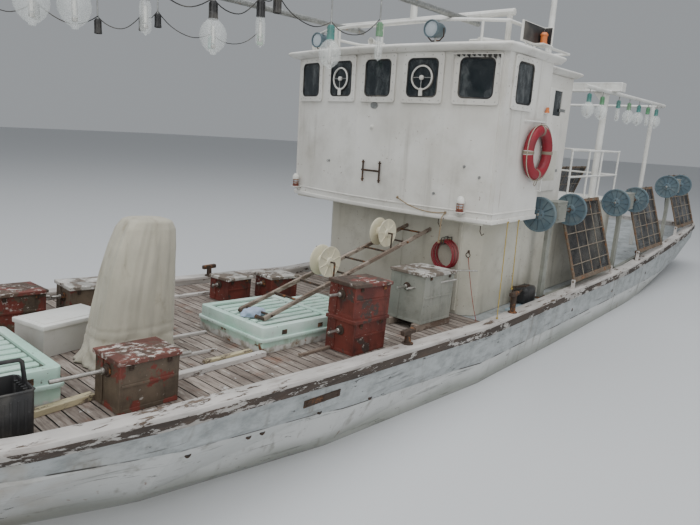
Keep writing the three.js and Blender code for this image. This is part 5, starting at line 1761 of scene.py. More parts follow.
@dataclass
class BlackTub:
    """A black plastic tub with a rolled rim, slatted sides and a thick handle across it."""

    place: tuple[float, float] = (5.6, 1.345)
    size: Point = (0.48, 0.32, 0.34)
    wall: float = 0.012
    grip: float = 0.015

    def build(self) -> None:
        """Models the tub in place of its solid."""
        length, width, height = self.size
        shell = rounded_uprights(block(self.size, (0, 0, height / 2), bevel=0.0), 0.035, 5)
        sunk(shell, (0, 0, 1), (self.wall, 0.0), (0.001, self.wall - height))
        bevelled(shell, 0.003, 2)
        lip = [(x * (length / 2 - 0.002), y * (width / 2 - 0.002), height - 0.008)
               for x, y in ((-0.9, -1), (0.9, -1), (1, -0.85), (1, 0.85), (0.9, 1), (-0.9, 1), (-1, 0.85), (-1, -0.85))]
        rim = pipes([lip], 0.009, 10, loop=True)
        slat = block((0.016, 0.006, height * 0.7), (0, width / 2 + 0.001, height * 0.48), bevel=0.002)
        slats = spread(slat, *(at(-0.18 + 0.045 * k, 0, 0) for k in range(9)),
                       *(MIRROR_Y @ at(-0.18 + 0.045 * k, 0, 0) for k in range(9)))
        comb = spread(block((0.03, 0.016, 0.02), (-length / 2 + 0.028, 0, height - 0.03), bevel=0.003),
                      *(at(0, -0.1 + 0.04 * k, 0) for k in range(6)))
        reach = length / 2 - 0.006
        bend = ((0.0, 0.3), (0.008, 0.37), (0.022, 0.48), (0.04, 0.497))
        grip = pipes([[(x - reach, 0, z) for x, z in bend] + [(reach - x, 0, z) for x, z in reversed(bend)]],
                     self.grip, 14)
        boss = turned([(0.0, -0.012), (0.03, -0.012), (0.034, 0.0), (0.03, 0.01), (0.0, 0.013)], 20, axis=Axis.X)
        bosses = spread(boss, at(reach, 0, 0.3), at(-reach, 0, 0.3))
        whole = moved(joined(shell, rim, slats, comb, grip, bosses), on_deck(*self.place))
        present(smoothed(whole), "slatted_tub", "black_plastic", replaces=["black_tub"])


@dataclass
class GreyBoxBars:
    """Loose bars that lie against the grey box, and a crumpled bag in the chute's foot."""

    bars: tuple[tuple[Point, Point, float], ...] = (
        ((0.95, 1.26, 0.55), (0.2, 1.5, 0.66), 0.014),
        ((0.1, 1.22, 0.72), (-0.3, 1.52, 0.74), 0.012),
    )
    bag: tuple[Point, Point] = ((0.13, 0.1, 0.06), (2.83, 0.62, 0.335))

    def crumpled_bag(self) -> Object:
        """A sphere crumpled by noise into an empty plastic bag."""
        bpy.ops.object.select_all(action="DESELECT")
        bpy.ops.mesh.primitive_ico_sphere_add(subdivisions=4, radius=1.0, scale=self.bag[0])
        made = settled(bpy.context.active_object)
        for vertex in made.data.vertices:
            place = vertex.co * 9.0
            crease = noise.noise(place) + 0.6 * noise.noise(place * 2.3)
            vertex.co = vertex.co * (1.0 + 0.42 * crease)
            vertex.co.z = max(vertex.co.z, -0.03)
        return smoothed(coat(moved(made, DECK @ at(*self.bag[1])), "blue_bag"), 50.0)

    def build(self) -> None:
        """Lays the bars and the bag."""
        made = [pipes([[start, end]], radius, 12) for start, end, radius in self.bars]
        collars = [bar(Vector(start).lerp(Vector(end), 0.04), Vector(start).lerp(Vector(end), 0.09), radius + 0.005)
                   for start, end, radius in self.bars]
        present(moved(joined(*made, *collars), DECK), "spare_shafts", "worn_shaft")
        present(self.crumpled_bag(), "crumpled_bag", None)


@dataclass
class DeckGear:
    """Battens and pallet boards that lie about on the foredeck."""

    battens: tuple[tuple[float, float, float, float, float, float, str], ...] = (
        (3.95, 0.2, 3.45, 0.2, 0.045, 0.03, "cap_paint"),
        (4.11, 0.71, 3.69, 0.72, 0.035, 0.028, "cap_paint"),
        (4.44, 1.14, 3.38, 1.085, 0.075, 0.05, "cap_paint"),
        (5.62, 1.2, 5.14, 1.13, 0.07, 0.05, "batten_paint"),
        (4.0, 0.95, 3.42, 0.93, 0.05, 0.03, "batten_paint"),
        (3.1, 1.3, 2.5, 1.27, 0.04, 0.03, "raw_timber"),
        (6.2, -0.9, 5.3, -0.98, 0.06, 0.04, "batten_paint"),
        (3.4, -1.2, 2.4, -1.22, 0.06, 0.04, "cap_paint"),
    )

    def batten(self, row: tuple[float, float, float, float, float, float, str], seed: int) -> Object:
        """One batten between two places in the boat's coordinates, lying on the boards."""
        x0, y0, x1, y1, width, height, finish = row
        way = Vector((x1 - x0, y1 - y0))
        made = roughened(block((way.length, width, height), (0, 0, height / 2)), 3, 0.012, seed)
        middle = DECK.inverted() @ Vector(((x0 + x1) / 2, (y0 + y1) / 2, deck_height((x0 + x1) / 2)))
        return coat(moved(made, on_deck(middle.x, middle.y, math.atan2(way.y, way.x))), finish)

    def build(self) -> None:
        """Lays the battens."""
        made = [self.batten(row, seed) for seed, row in enumerate(self.battens)]
        for number, piece in enumerate(made, 1):
            present(piece, f"loose_batten_{number}", None)


# ---- Wheelhouse

def front_x(y: float) -> float:
    """Where the wheelhouse's front wall stands at a place across the boat."""
    return FRONT_X - FRONT_BOW * (y / HOUSE_HALF_W) ** 2


def facet(number: int) -> Matrix:
    """The frame of one flat of the front wall: +X outwards, +Y to port, z as the boat's."""
    y0, y1 = FACET_YS[number:number + 2]
    x0, x1 = front_x(y0), front_x(y1)
    return at((x0 + x1) / 2, (y0 + y1) / 2, 0) @ Matrix.Rotation(math.atan2(x0 - x1, y1 - y0), 4, "Z")


def side_frame(side: Side) -> Matrix:
    """The frame of a side wall at its window: +X outwards, +Y along the wall, z as the boat's."""
    turn = math.pi / 2 if side is Side.PORT else -math.pi / 2
    return at(SIDE_WINDOW_X, side.value * HOUSE_HALF_W, 0) @ Matrix.Rotation(turn, 4, "Z")


def rounded_outline(half_w: float, half_h: float, radius: float, x: float, z: float, steps: int = 5) -> list[Point]:
    """The corners of an upright rectangle with round corners.

    Args:
        half_w: Half its width, along Y.
        half_h: Half its height.
        radius: The corners' radius.
        x: The plane that it lies in.
        z: The height of its middle.
        steps: How many edges a corner has.

    Returns:
        The points, in order.
    """
    points = []
    for corner, (sy, sz) in enumerate(((1, 1), (-1, 1), (-1, -1), (1, -1))):
        for step in range(steps + 1):
            angle = math.pi / 2 * (corner + step / steps)
            points.append((
                x,
                sy * (half_w - radius) + radius * math.cos(angle),
                z + sz * (half_h - radius) + radius * math.sin(angle),
            ))
    return points


@dataclass
class Window:
    """One window: a screwed frame with round corners, a rubber seal and a dark pane."""

    frame_of: Matrix
    name: str
    proud: float
    half_w: float = 0.222
    half_h: float = 0.24
    middle: float = 3.88
    rim: float = 0.078
    corner: float = 0.065
    plate: float = 0.008
    screws_across: int = 4
    screws_up: int = 5

    def rim_plate(self) -> Object:
        """The frame's plate, cut through for the pane."""
        outer = rounded_outline(
            self.half_w + self.rim, self.half_h + self.rim, self.corner * 0.6, self.proud, self.middle
        )
        inner = rounded_outline(self.half_w, self.half_h, self.corner, self.proud - 0.05, self.middle)
        plate = slab(outer, (self.plate, 0, 0))
        return coat(bevelled(carved(plate, slab(inner, (0.12, 0, 0))), 0.0025), "bridge_paint")

    def screws(self) -> Object:
        """Round-headed screws along the middle of the frame's plate."""
        screw = turned([(0.0, 0.0), (0.007, 0.0), (0.006, 0.003), (0.003, 0.005), (0.0, 0.0052)], 8, axis=Axis.X)
        w, h = self.half_w + self.rim * 0.5, self.half_h + self.rim * 0.5
        spots = []
        for k in range(self.screws_across + 1):
            y = -w + 2 * w * k / self.screws_across
            spots += [(y, -h), (y, h)]
        for k in range(1, self.screws_up):
            z = -h + 2 * h * k / self.screws_up
            spots += [(-w, z), (w, z)]
        x = self.proud + self.plate - 0.0005
        return coat(spread(screw, *(at(x, y, self.middle + z) for y, z in spots)), "galvanised")

    def seal(self) -> Object:
        """The rubber bead round the pane."""
        line = rounded_outline(self.half_w - 0.004, self.half_h - 0.004, self.corner, self.proud + 0.004, self.middle)
        return coat(pipes([line], 0.0105, 8, loop=True), "black_rubber")

    def pane(self) -> Object:
        """The glass, a little behind the frame's face."""
        line = rounded_outline(self.half_w - 0.002, self.half_h - 0.002, self.corner, self.proud - 0.008, self.middle)
        return coat(slab(line, (0.006, 0, 0)), "window_glass")

    def build(self) -> None:
        """Sets the frame and the pane into the wall."""
        frame_piece = moved(joined(self.rim_plate(), self.screws(), self.seal()), self.frame_of)
        present(frame_piece, f"window_frame_{self.name}", None)
        pane = moved(self.pane(), self.frame_of)
        present(pane, f"window_pane_{self.name}", None)


@dataclass
class ClearView:
    """A spinning clear-view screen on a window: a ring, a hub on a bar and its motor's bracket."""

    number: int
    radius: float = 0.15
    middle: float = 3.88
    out: float = 0.03

    def build(self) -> None:
        """Models the screen and sets it on its window."""
        r = self.radius
        ring = turned(
            [(r - 0.014, 0.0), (r + 0.004, 0.0), (r + 0.008, 0.012), (r, 0.022), (r - 0.012, 0.02), (r - 0.014, 0.0)],
            40, axis=Axis.X,
        )
        hub = turned([(0.0, 0.0), (0.03, 0.0), (0.03, 0.03), (0.018, 0.042), (0.0, 0.044)], 20, axis=Axis.X)
        parts = [coat(joined(ring, hub), "bridge_paint")]
        spin = pipes([[(0.014, -r, 0), (0.014, r, 0)], [(0.02, 0, -r), (0.02, 0, 0)]], 0.006, 8)
        parts.append(coat(spin, "galvanised"))
        parts.append(coat(block((0.03, 0.05, 0.1), (0.018, 0, -r - 0.03), bevel=0.006), "bridge_paint"))
        bead = [(r + 0.002, -0.004), (r + 0.02, -0.004), (r + 0.014, 0.006), (r + 0.002, 0.006)]
        parts.append(coat(turned(bead, 40, axis=Axis.X), "black_rubber"))
        whole = moved(joined(*parts), facet(self.number) @ at(self.out, 0, self.middle))
        present(whole, f"clear_view_{self.number}", None)


@dataclass
class WindowHood:
    """The hood round the port window: a visor, two cheeks and a torn black lining."""

    half_w: float = 0.305
    low: float = 3.6
    high: float = 4.17
    reach: float = 0.105
    sheet: float = 0.006

    def build(self) -> None:
        """Folds the hood from three plates and hangs the lining in it."""
        visor = slab(
            [(0.02, -self.half_w, self.high), (self.reach, -self.half_w, self.high - 0.02),
             (self.reach, self.half_w, self.high - 0.02), (0.02, self.half_w, self.high)],
            (0, 0, self.sheet), bevel=0.002,
        )
        cheek = slab(
            [(0.02, 0, self.high), (self.reach, 0, self.high - 0.02), (0.055, 0, self.low + 0.18), (0.02, 0, self.low)],
            (0, self.sheet, 0), bevel=0.002,
        )
        cheeks = spread(cheek, at(0, -self.half_w, 0), at(0, self.half_w - self.sheet, 0))
        rags = []
        rng = random.Random(4)
        for k in range(9):
            y = -self.half_w + 0.03 + k * 0.066
            drop = rng.uniform(0.015, 0.06)
            rags.append(slab(
                [(0.05, y, self.high - 0.012), (0.05, y + 0.05, self.high - 0.012),
                 (0.047, y + 0.04, self.high - 0.02 - drop), (0.047, y + 0.008, self.high - 0.012 - drop * 0.6)],
                (0.003, 0, 0),
            ))
        lining = coat(joined(*rags), "black_rubber")
        whole = moved(joined(coat(joined(visor, cheeks), "bridge_paint"), lining), facet(4))
        present(whole, "window_hood", None)


@dataclass
class Lantern:
    """A navigation lantern on a shelf: a red foot, a copper cage round a lens and a white dome."""

    side: Side
    facet_number: int
    along: float
    out: float = 0.075
    shelf: float = 2.165

    def build(self) -> None:
        """Turns the lantern's parts and stands them on the shelf."""
        foot = turned([(0.0, 0.0), (0.05, 0.0), (0.052, 0.018), (0.038, 0.026), (0.0, 0.026)], 20)
        lens = turned([(0.0, 0.026), (0.036, 0.028), (0.038, 0.06), (0.034, 0.064), (0.038, 0.068), (0.036, 0.11),
                       (0.0, 0.112)], 20)
        band = turned([(0.034, 0.0), (0.046, 0.0), (0.046, 0.012), (0.034, 0.012), (0.034, 0.0)], 20)
        bands = spread(band, at(0, 0, 0.03), at(0, 0, 0.06), at(0, 0, 0.098))
        bars = pipes([[(0.043 * c, 0.043 * s, 0.03), (0.043 * c, 0.043 * s, 0.108)]
                      for c, s in ((1, 0), (0, 1), (-1, 0), (0, -1))], 0.0035, 6)
        dome = turned([(0.0, 0.11), (0.052, 0.11), (0.056, 0.122), (0.05, 0.165), (0.03, 0.195), (0.0, 0.205)], 24)
        shelf = block((0.14, 0.12, 0.012), (-0.015, 0, -0.006), bevel=0.003)
        knee = slab([(0.04, 0, -0.012), (-0.075, 0, -0.012), (-0.075, 0, -0.06)], (0, 0.008, 0), bevel=0.001)
        parts = [
            coat(foot, "oxide_paint"), coat(lens, "light_lens"), coat(joined(bands, bars), "copper"),
            coat(dome, "lamp_white"), coat(joined(shelf, knee), "bridge_paint"),
        ]
        whole = moved(joined(*parts), facet(self.facet_number) @ at(self.out, self.along, self.shelf + 0.066))
        present(whole, f"lantern_{self.side.name.lower()}", None)


@dataclass
class FrontFittings:
    """Small things on the front wall: a moulding, a blank oval plate, a boss, a rusty bracket and eye bolts."""

    moulding_height: float = 2.235
    aft: float = -0.94

    def moulding(self) -> Object:
        """A half-round strip along the foot of the front and side walls."""
        corners = [(self.aft, FACET_YS[0]), *((front_x(y), y) for y in FACET_YS), (self.aft, FACET_YS[-1])]
        return coat(pipes([[(x, y, self.moulding_height) for x, y in corners]], 0.012, 8), "bridge_paint")

    def oval_plate(self) -> Object:
        """A blank oval plate with a raised rim."""
        disc = turned(
            [(0.0, 0.0), (0.07, 0.0), (0.07, 0.006), (0.066, 0.009), (0.062, 0.006), (0.0, 0.006)], 32, axis=Axis.X
        )
        shaped = moved(disc, Matrix.Diagonal((1, 1, 0.62, 1)))
        return coat(moved(shaped, facet(2) @ at(0.001, -0.05, 3.52)), "galvanised")

    def boss(self) -> Object:
        """A round capped outlet."""
        cap = turned(
            [(0.0, 0.0), (0.034, 0.0), (0.034, 0.008), (0.022, 0.012), (0.02, 0.03), (0.0, 0.034)], 20, axis=Axis.X
        )
        return coat(moved(cap, facet(2) @ at(0.001, -0.07, 3.23)), "bridge_paint")

    def bracket(self) -> Object:
        """Two rusty uprights with a cross bar, bolted through the wall."""
        uprights = [block((0.012, 0.028, 0.3), (0.03, y, 2.62), bevel=0.003) for y in (-0.16, 0.14)]
        cross = block((0.014, 0.34, 0.026), (0.04, -0.01, 2.63), bevel=0.003)
        studs = pipes([[(0.0, y, z), (0.055, y, z)] for y in (-0.16, 0.14) for z in (2.5, 2.74)], 0.008, 8)
        return coat(moved(joined(*uprights, cross, studs), facet(2)), "rusty_iron")

    def eye_bolt(self, number: int, along: float, height: float) -> Object:
        """A forged eye on a short stud."""
        steps = 14
        ring = [(0.032 + 0.014 * math.cos(2 * math.pi * k / steps), 0.0, 0.014 * math.sin(2 * math.pi * k / steps))
                for k in range(steps)]
        eye = pipes([ring], 0.004, 8, loop=True)
        stud = bar((0.0, 0, 0), (0.02, 0, 0), 0.006, 10, 0.001)
        plate = turned([(0.0, 0.0), (0.02, 0.0), (0.018, 0.004), (0.0, 0.005)], 12, axis=Axis.X)
        return coat(moved(joined(eye, stud, plate), facet(number) @ at(0.0005, along, height)), "galvanised")

    def build(self) -> None:
        """Fixes them all to the wall."""
        eyes = [self.eye_bolt(4, -0.05, 2.8), self.eye_bolt(4, 0.16, 2.68), self.eye_bolt(3, 0.3, 2.42),
                self.eye_bolt(1, -0.2, 2.7)]
        whole = joined(self.moulding(), self.oval_plate(), self.boss(), self.bracket(), *eyes)
        present(whole, "front_fittings", None)


@dataclass
class HouseSideFittings:
    """Things on the upper house's sides: a blank sign, grab rails, a beacon and the chart room's windows."""

    beacon: Point = (-0.86, 1.835, 3.55)
    window: Point = (-1.45, 1.33, 3.81)
    pane: tuple[float, float] = (0.462, 0.422)

    def build(self) -> None:
        """Models one side and mirrors it where both have it."""
        sign = block((0.2, 0.006, 0.16), (-1.18, 1.327, 3.42), bevel=0.002)
        screws = pipes([[(x, 1.32, z), (x, 1.334, z)] for x in (-1.265, -1.095) for z in (3.355, 3.485)], 0.005, 8)
        parts = [coat(sign, "flaking_white"), coat(screws, "galvanised")]
        rail = pipes([[(-0.8, 1.8, 3.42), (-0.8, 1.86, 3.42), (-0.3, 1.86, 3.42), (-0.3, 1.8, 3.42)],
                      [(-0.9, 1.8, 2.5), (-0.9, 1.86, 2.5), (-0.9, 1.86, 3.1), (-0.9, 1.8, 3.1)]], 0.013, 10)
        parts.append(coat(spread(rail, at(0, 0, 0), MIRROR_Y), "pipe_paint"))
        beacon = turned([(0.0, 0.0), (0.03, 0.0), (0.03, 0.02), (0.024, 0.03), (0.022, 0.07), (0.0, 0.078)], 20)
        x, y, z = self.beacon
        parts.append(coat(moved(beacon, at(x, y, z)), "buoy_orange"))
        shelf = block((0.08, 0.08, 0.008), (x, y, z - 0.004), bevel=0.002)
        parts.append(coat(shelf, "bridge_paint"))
        present(joined(*parts), "side_fittings", None)
        (x, y, z), (wide, high) = self.window, self.pane
        pane = block((wide, 0.006, high), (x, y - 0.012, z), bevel=0.001)
        rim = carved(block((wide + 0.068, 0.03, high + 0.068), self.window, bevel=0.006),
                     block((wide - 0.022, 0.1, high - 0.022), self.window, bevel=0.0))
        window = joined(coat(pane, "window_glass"), coat(rim, "bridge_paint"))
        present(spread(window, at(0, 0, 0), MIRROR_Y), "chart_room_windows", None)


@dataclass
class RingBuoy:
    """The ring buoy: a painted ring with a rope round it, seized at four places, on two hooks."""

    ring: float = 0.29
    tube: float = 0.072

    def grab_line(self) -> list[Point]:
        """The rope's way round the ring, standing off it between the seizings."""
        way = []
        for k in range(48):
            angle = 2 * math.pi * k / 48
            reach = self.ring + self.tube + 0.004 + 0.02 * abs(math.sin(2 * angle))
            way.append((reach * math.cos(angle), 0.02, reach * math.sin(angle)))
        return way

    def build(self) -> None:
        """Models the ring in place of its solid."""
        bpy.ops.object.select_all(action="DESELECT")
        bpy.ops.mesh.primitive_torus_add(
            major_radius=self.ring, minor_radius=self.tube, major_segments=64, minor_segments=24,
            rotation=(math.pi / 2, 0.0, 0.0),
        )
        made = settled(bpy.context.active_object)
        with editing(made, "VERT"):
            bpy.ops.mesh.select_all(action="SELECT")
            bpy.ops.transform.resize(value=(1.0, 0.94, 1.0))
        coat(smoothed(made, 60.0), "buoy_bands")
        rope_line = coat(pipes([self.grab_line()], 0.007, 8, loop=True), "pale_rope")
        band = turned([(0.072, -0.02), (0.0755, -0.018), (0.0755, 0.018), (0.072, 0.02)], 24, axis=Axis.X)
        seizings = coat(spread(band, *(about(Axis.Y, 90 * k) @ at(0, 0, self.ring) for k in range(4))), "pale_rope")
        tails = coat(pipes([[(-0.04, 0.02, -0.36), (-0.06, 0.0, -0.43), (-0.02, 0.0, -0.46), (0.03, 0.0, -0.42),
                             (0.02, 0.02, -0.36)]], 0.006, 8, smooth=True), "pale_rope")
        hook = pipes([[(-0.12, -0.07, 0.2), (-0.12, 0.0, 0.2), (-0.12, 0.03, 0.24)],
                      [(0.12, -0.07, 0.2), (0.12, 0.0, 0.2), (0.12, 0.03, 0.24)]], 0.008, 8)
        whole = joined(made, rope_line, seizings, tails, coat(hook, "galvanised"))
        present(moved(whole, at(*BUOY_PLACE)), "ring_buoy_whole", None, replaces=["ring_buoy"])


def hung(start: Point, end: Point, spare: float = 0.05, steps: int = 24) -> list[Point]:
    """The line of a cord that hangs between two points.

    Args:
        start: Where it starts.
        end: Where it ends.
        spare: How much longer than the span it is, as a share.
        steps: How many pieces the line has.

    Returns:
        The line's points.
    """
    span = Vector(end) - Vector(start)
    sag = span.length * math.sqrt(spare * 3.0 / 8.0)
    shares = [k / steps for k in range(steps + 1)]
    return [tuple(Vector(start) + span * t - Vector((0, 0, 4 * sag * t * (1 - t)))) for t in shares]


def line_length(route: Sequence[Point]) -> float:
    """The length of a line through points."""
    return sum((Vector(b) - Vector(a)).length for a, b in zip(route, route[1:]))


def tube(route: Sequence[Point], radius: float, sides: int = 10) -> Object:
    """A round cord along a route, with a UV map that runs along it and round it.

    Args:
        route: The points of its middle line.
        radius: Its radius.
        sides: How many sides it has.

    Returns:
        The new object, with closed ends.
    """
    line = [Vector(point) for point in route]
    ways = [(b - a).normalized() for a, b in zip(line, line[1:])]
    ways.append(ways[-1])
    normal = ways[0].orthogonal().normalized()
    skin = bmesh.new()
    layer = skin.loops.layers.uv.new("UVMap")
    rings, run = [], [0.0]
    for k, point in enumerate(line):
        way = (ways[k] + ways[max(0, k - 1)]).normalized()
        normal = (normal - way * normal.dot(way)).normalized()
        other = way.cross(normal)
        turns = [2 * math.pi * s / sides for s in range(sides)]
        rings.append([skin.verts.new(point + (normal * math.cos(a) + other * math.sin(a)) * radius) for a in turns])
        if k:
            run.append(run[-1] + (point - line[k - 1]).length)
    for k, (low, high) in enumerate(zip(rings, rings[1:])):
        for s in range(sides):
            face = skin.faces.new((low[s], low[(s + 1) % sides], high[(s + 1) % sides], high[s]))
            corners = ((run[k], s), (run[k], s + 1), (run[k + 1], s + 1), (run[k + 1], s))
            for loop, (along, step) in zip(face.loops, corners):
                loop[layer].uv = (along, step / sides)
    skin.faces.new(tuple(reversed(rings[0])))
    skin.faces.new(tuple(rings[-1]))
    mesh = bpy.data.meshes.new("tube")
    skin.to_mesh(mesh)
    skin.free()
    return smoothed(linked("tube", mesh), 50.0)


@dataclass
class FreeCord:
    """A free rope, cord or hose: its line, thickness, finish and how it lies."""

    name: str
    route: list[Point]
    radius: float
    finish: str
    far_end: str = "object"
    stiffness: str = "medium"
    lay: str = "hanging"
    knots: tuple[Point, ...] = ()

    def knot(self, place: Point, number: int) -> Object:
        """A half hitch drawn up into a lump at a place."""
        r = self.radius
        turns = [(1.9 * r * math.cos(a), 1.9 * r * math.sin(a), 0.55 * r * (a - 5.0) / 2.0)
                 for a in (0.62 * k for k in range(18))]
        made = moved(pipes([turns], r * 0.96, 8, smooth=True), at(*place))
        return present(made, f"{self.name}_knot_{number}", self.finish)

    def coupling(self) -> Object:
        """A brass coupling on the far end."""
        end, before = Vector(self.route[-1]), Vector(self.route[-2])
        way = (end - before).normalized()
        r = self.radius
        sleeve = bar(end - way * r, end + way * 3.2 * r, 1.35 * r, 16)
        nut = bar(end + way * 3 * r, end + way * 4.4 * r, 1.7 * r, 6)
        return present(joined(sleeve, nut), f"{self.name}_coupling", "bronze")

    def build(self) -> None:
        made = present(tube(self.route, self.radius), self.name, self.finish)
        knots = [self.knot(place, number) for number, place in enumerate(self.knots, 1)]
        if self.far_end == "fitting":
            knots.append(self.coupling())
        length = line_length(self.route)
        log.info("%s: %.2f m", self.name, length)
        2 * self.radius


@dataclass
class LowerHouseFittings:
    """Things on the deckhouse's front and under the ledge: hooks, tap, straps, trim, hose and ropes."""

    front: float = -0.02
    coil: Point = (0.055, 1.03, 1.56)
    coil_radius: float = 0.17

    def hose_route(self) -> list[Point]:
        """The red hose: out of the tap, then its turns, which hang side by side on the peg."""
        turns, steps = 7, 18
        route = []
        for k in range(turns * steps + 1):
            angle = math.pi / 2 + 2 * math.pi * k / steps
            reach = self.coil_radius * (1.0 + 0.05 * math.sin(2.3 * k / steps))
            shift = 0.0235 * k / steps
            route.append((self.front + 0.016 + shift, self.coil[1] + reach * math.cos(angle),
                          self.coil[2] + 1.12 * reach * math.sin(angle)))
        return route

    def hooks(self) -> Object:
        """The peg that carries the coil, two hooks under the ledge and a ring on its lug."""
        y, z = self.coil[1], self.coil[2]
        peg = pipes([[(self.front, y, z + 0.15), (self.front + 0.17, y, z + 0.15), (self.front + 0.19, y, z + 0.19)]],
                    0.009, 10)
        hook = pipes([[(0.2, 1.6, 2.10), (0.2, 1.6, 1.98), (0.2, 1.63, 1.93), (0.2, 1.66, 1.96)],
                      [(0.2, 0.95, 2.10), (0.2, 0.95, 2.0), (0.2, 0.98, 1.95), (0.2, 1.01, 1.98)]], 0.006, 8)
        eye = moved(turned([(0.028, -0.005), (0.036, -0.005), (0.036, 0.005), (0.028, 0.005), (0.028, -0.005)], 24,
                           axis=Axis.X), at(-0.07, 1.31, 1.58))
        lug = block((0.03, 0.02, 0.04), (-0.09, 1.305, 1.625), bevel=0.003)
        return coat(joined(peg, hook, eye, lug), "rusty_iron")

    def straps(self) -> Object:
        """The black straps round the coil."""
        y, z = self.coil[1], self.coil[2]
        top = z + self.coil_radius * 1.12
        loops = [
            [(self.front + 0.012, y + dy, top - 0.05), (self.front + 0.012, y + dy, top + 0.05),
             (self.front + 0.19, y + dy * 0.6, top + 0.045), (self.front + 0.2, y + dy * 0.6, top - 0.045)]
            for dy in (-0.03, 0.035)
        ]
        return coat(pipes(loops, 0.007, 8), "black_rubber")

    def wall_trim(self) -> Object:
        """A seam strip and a stiffener down the front, and a lip under the ledge."""
        seam = block((0.008, 0.035, 1.3), (self.front + 0.004, 0.2, 1.42), bevel=0.002)
        frame_bar = block((0.03, 0.05, 1.3), (self.front + 0.015, 1.2, 1.42), bevel=0.004)
        lip = block((0.02, 3.4, 0.03), (0.33, 0, 2.092), bevel=0.004)
        return coat(joined(seam, frame_bar, lip), "house_paint")

    def ledge_slot_shade(self) -> Object:
        """A black block on the ledge's face, painted shade standing for its drain slot."""
        # Painted shade: a black block where the drain slot's opening would look dark.
        made = block((0.012, 0.12, 0.02), (front_x(0.34) + 0.004, 0.34, 2.135), bevel=0.004)
        return coat(made, "black_rubber")

    def build(self) -> None:
        """Models the fittings and the cords that hang on them."""
        route = self.hose_route()
        spout = [(0.0, 0.0), (0.02, 0.0), (0.02, 0.02), (0.013, 0.03), (0.013, 0.05), (0.0, 0.052)]
        tap = turned(spout, 14, (self.front, *route[0][1:]), Axis.X)
        parts = [self.hooks(), self.straps(), self.wall_trim(), self.ledge_slot_shade(), coat(tap, "bronze")]
        present(joined(*parts), "deckhouse_front_fittings", None)
        FreeCord("red_hose", route, 0.0105, "red_hose", "fitting", "medium", "coiled").build()
        cord = hung((-0.085, 1.31, 1.548), (0.02, 1.6, 0.7), 0.02)
        FreeCord("red_cord", cord, 0.004, "red_cord", knots=(cord[-1],)).build()
        sagged = hung((0.0, 0.47, 2.31), (0.0, 1.2, 2.19), 0.02)
        ledge = [(front_x(y) + 0.016, y, z) for _, y, z in sagged]
        FreeCord("ledge_rope", ledge, 0.007, "brown_rope", knots=(ledge[0], ledge[-1])).build()
        edge = front_x(1.2) + 0.075
        tail = hung((front_x(1.2) + 0.03, 1.2, 2.18), (edge, 1.19, 2.13), 0.01, 4) + hung(
            (edge, 1.19, 2.11), (edge - 0.01, 1.17, 1.80), 0.01, 16)
        FreeCord("rope_tail", tail, 0.007, "brown_rope", "knot", knots=(tail[-1],)).build()


@dataclass
class SideRopes:
    """Yellow ropes from the ledge down to the port rail and to the first rack."""

    y: float = HOUSE_HALF_W + 0.02
    high: float = 2.11

    def build(self) -> None:
        """Hangs the ropes."""
        rail = on_surface("cap_rail", (-0.01, 1.9, ABOVE), (0, 0, -1))
        for name, x, foot, far_end in (
            ("yellow_rope_fore", -0.115, (-0.01, 1.88, rail.z + 0.006), "object"),
            ("yellow_rope_aft", -0.43, (-0.43, 1.84, 1.16), "knot"),
        ):
            rope = hung((x, self.y, self.high), foot, 0.006)
            FreeCord(name, rope, 0.006, "yellow_rope", far_end, knots=(rope[0], rope[-1])).build()


def on_surface(node: str, start: Point, way: Point) -> Vector:
    """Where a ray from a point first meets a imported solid."""
    solid = frame["nodes"][node].data
    tree = BVHTree.FromPolygons([vertex.co for vertex in solid.vertices], [face.vertices for face in solid.polygons])
    place = tree.ray_cast(Vector(start), Vector(way))[0]
    if place is None:
        log.warning("%s: the ray from %s misses it", node, start)
    return Vector(start) if place is None else place


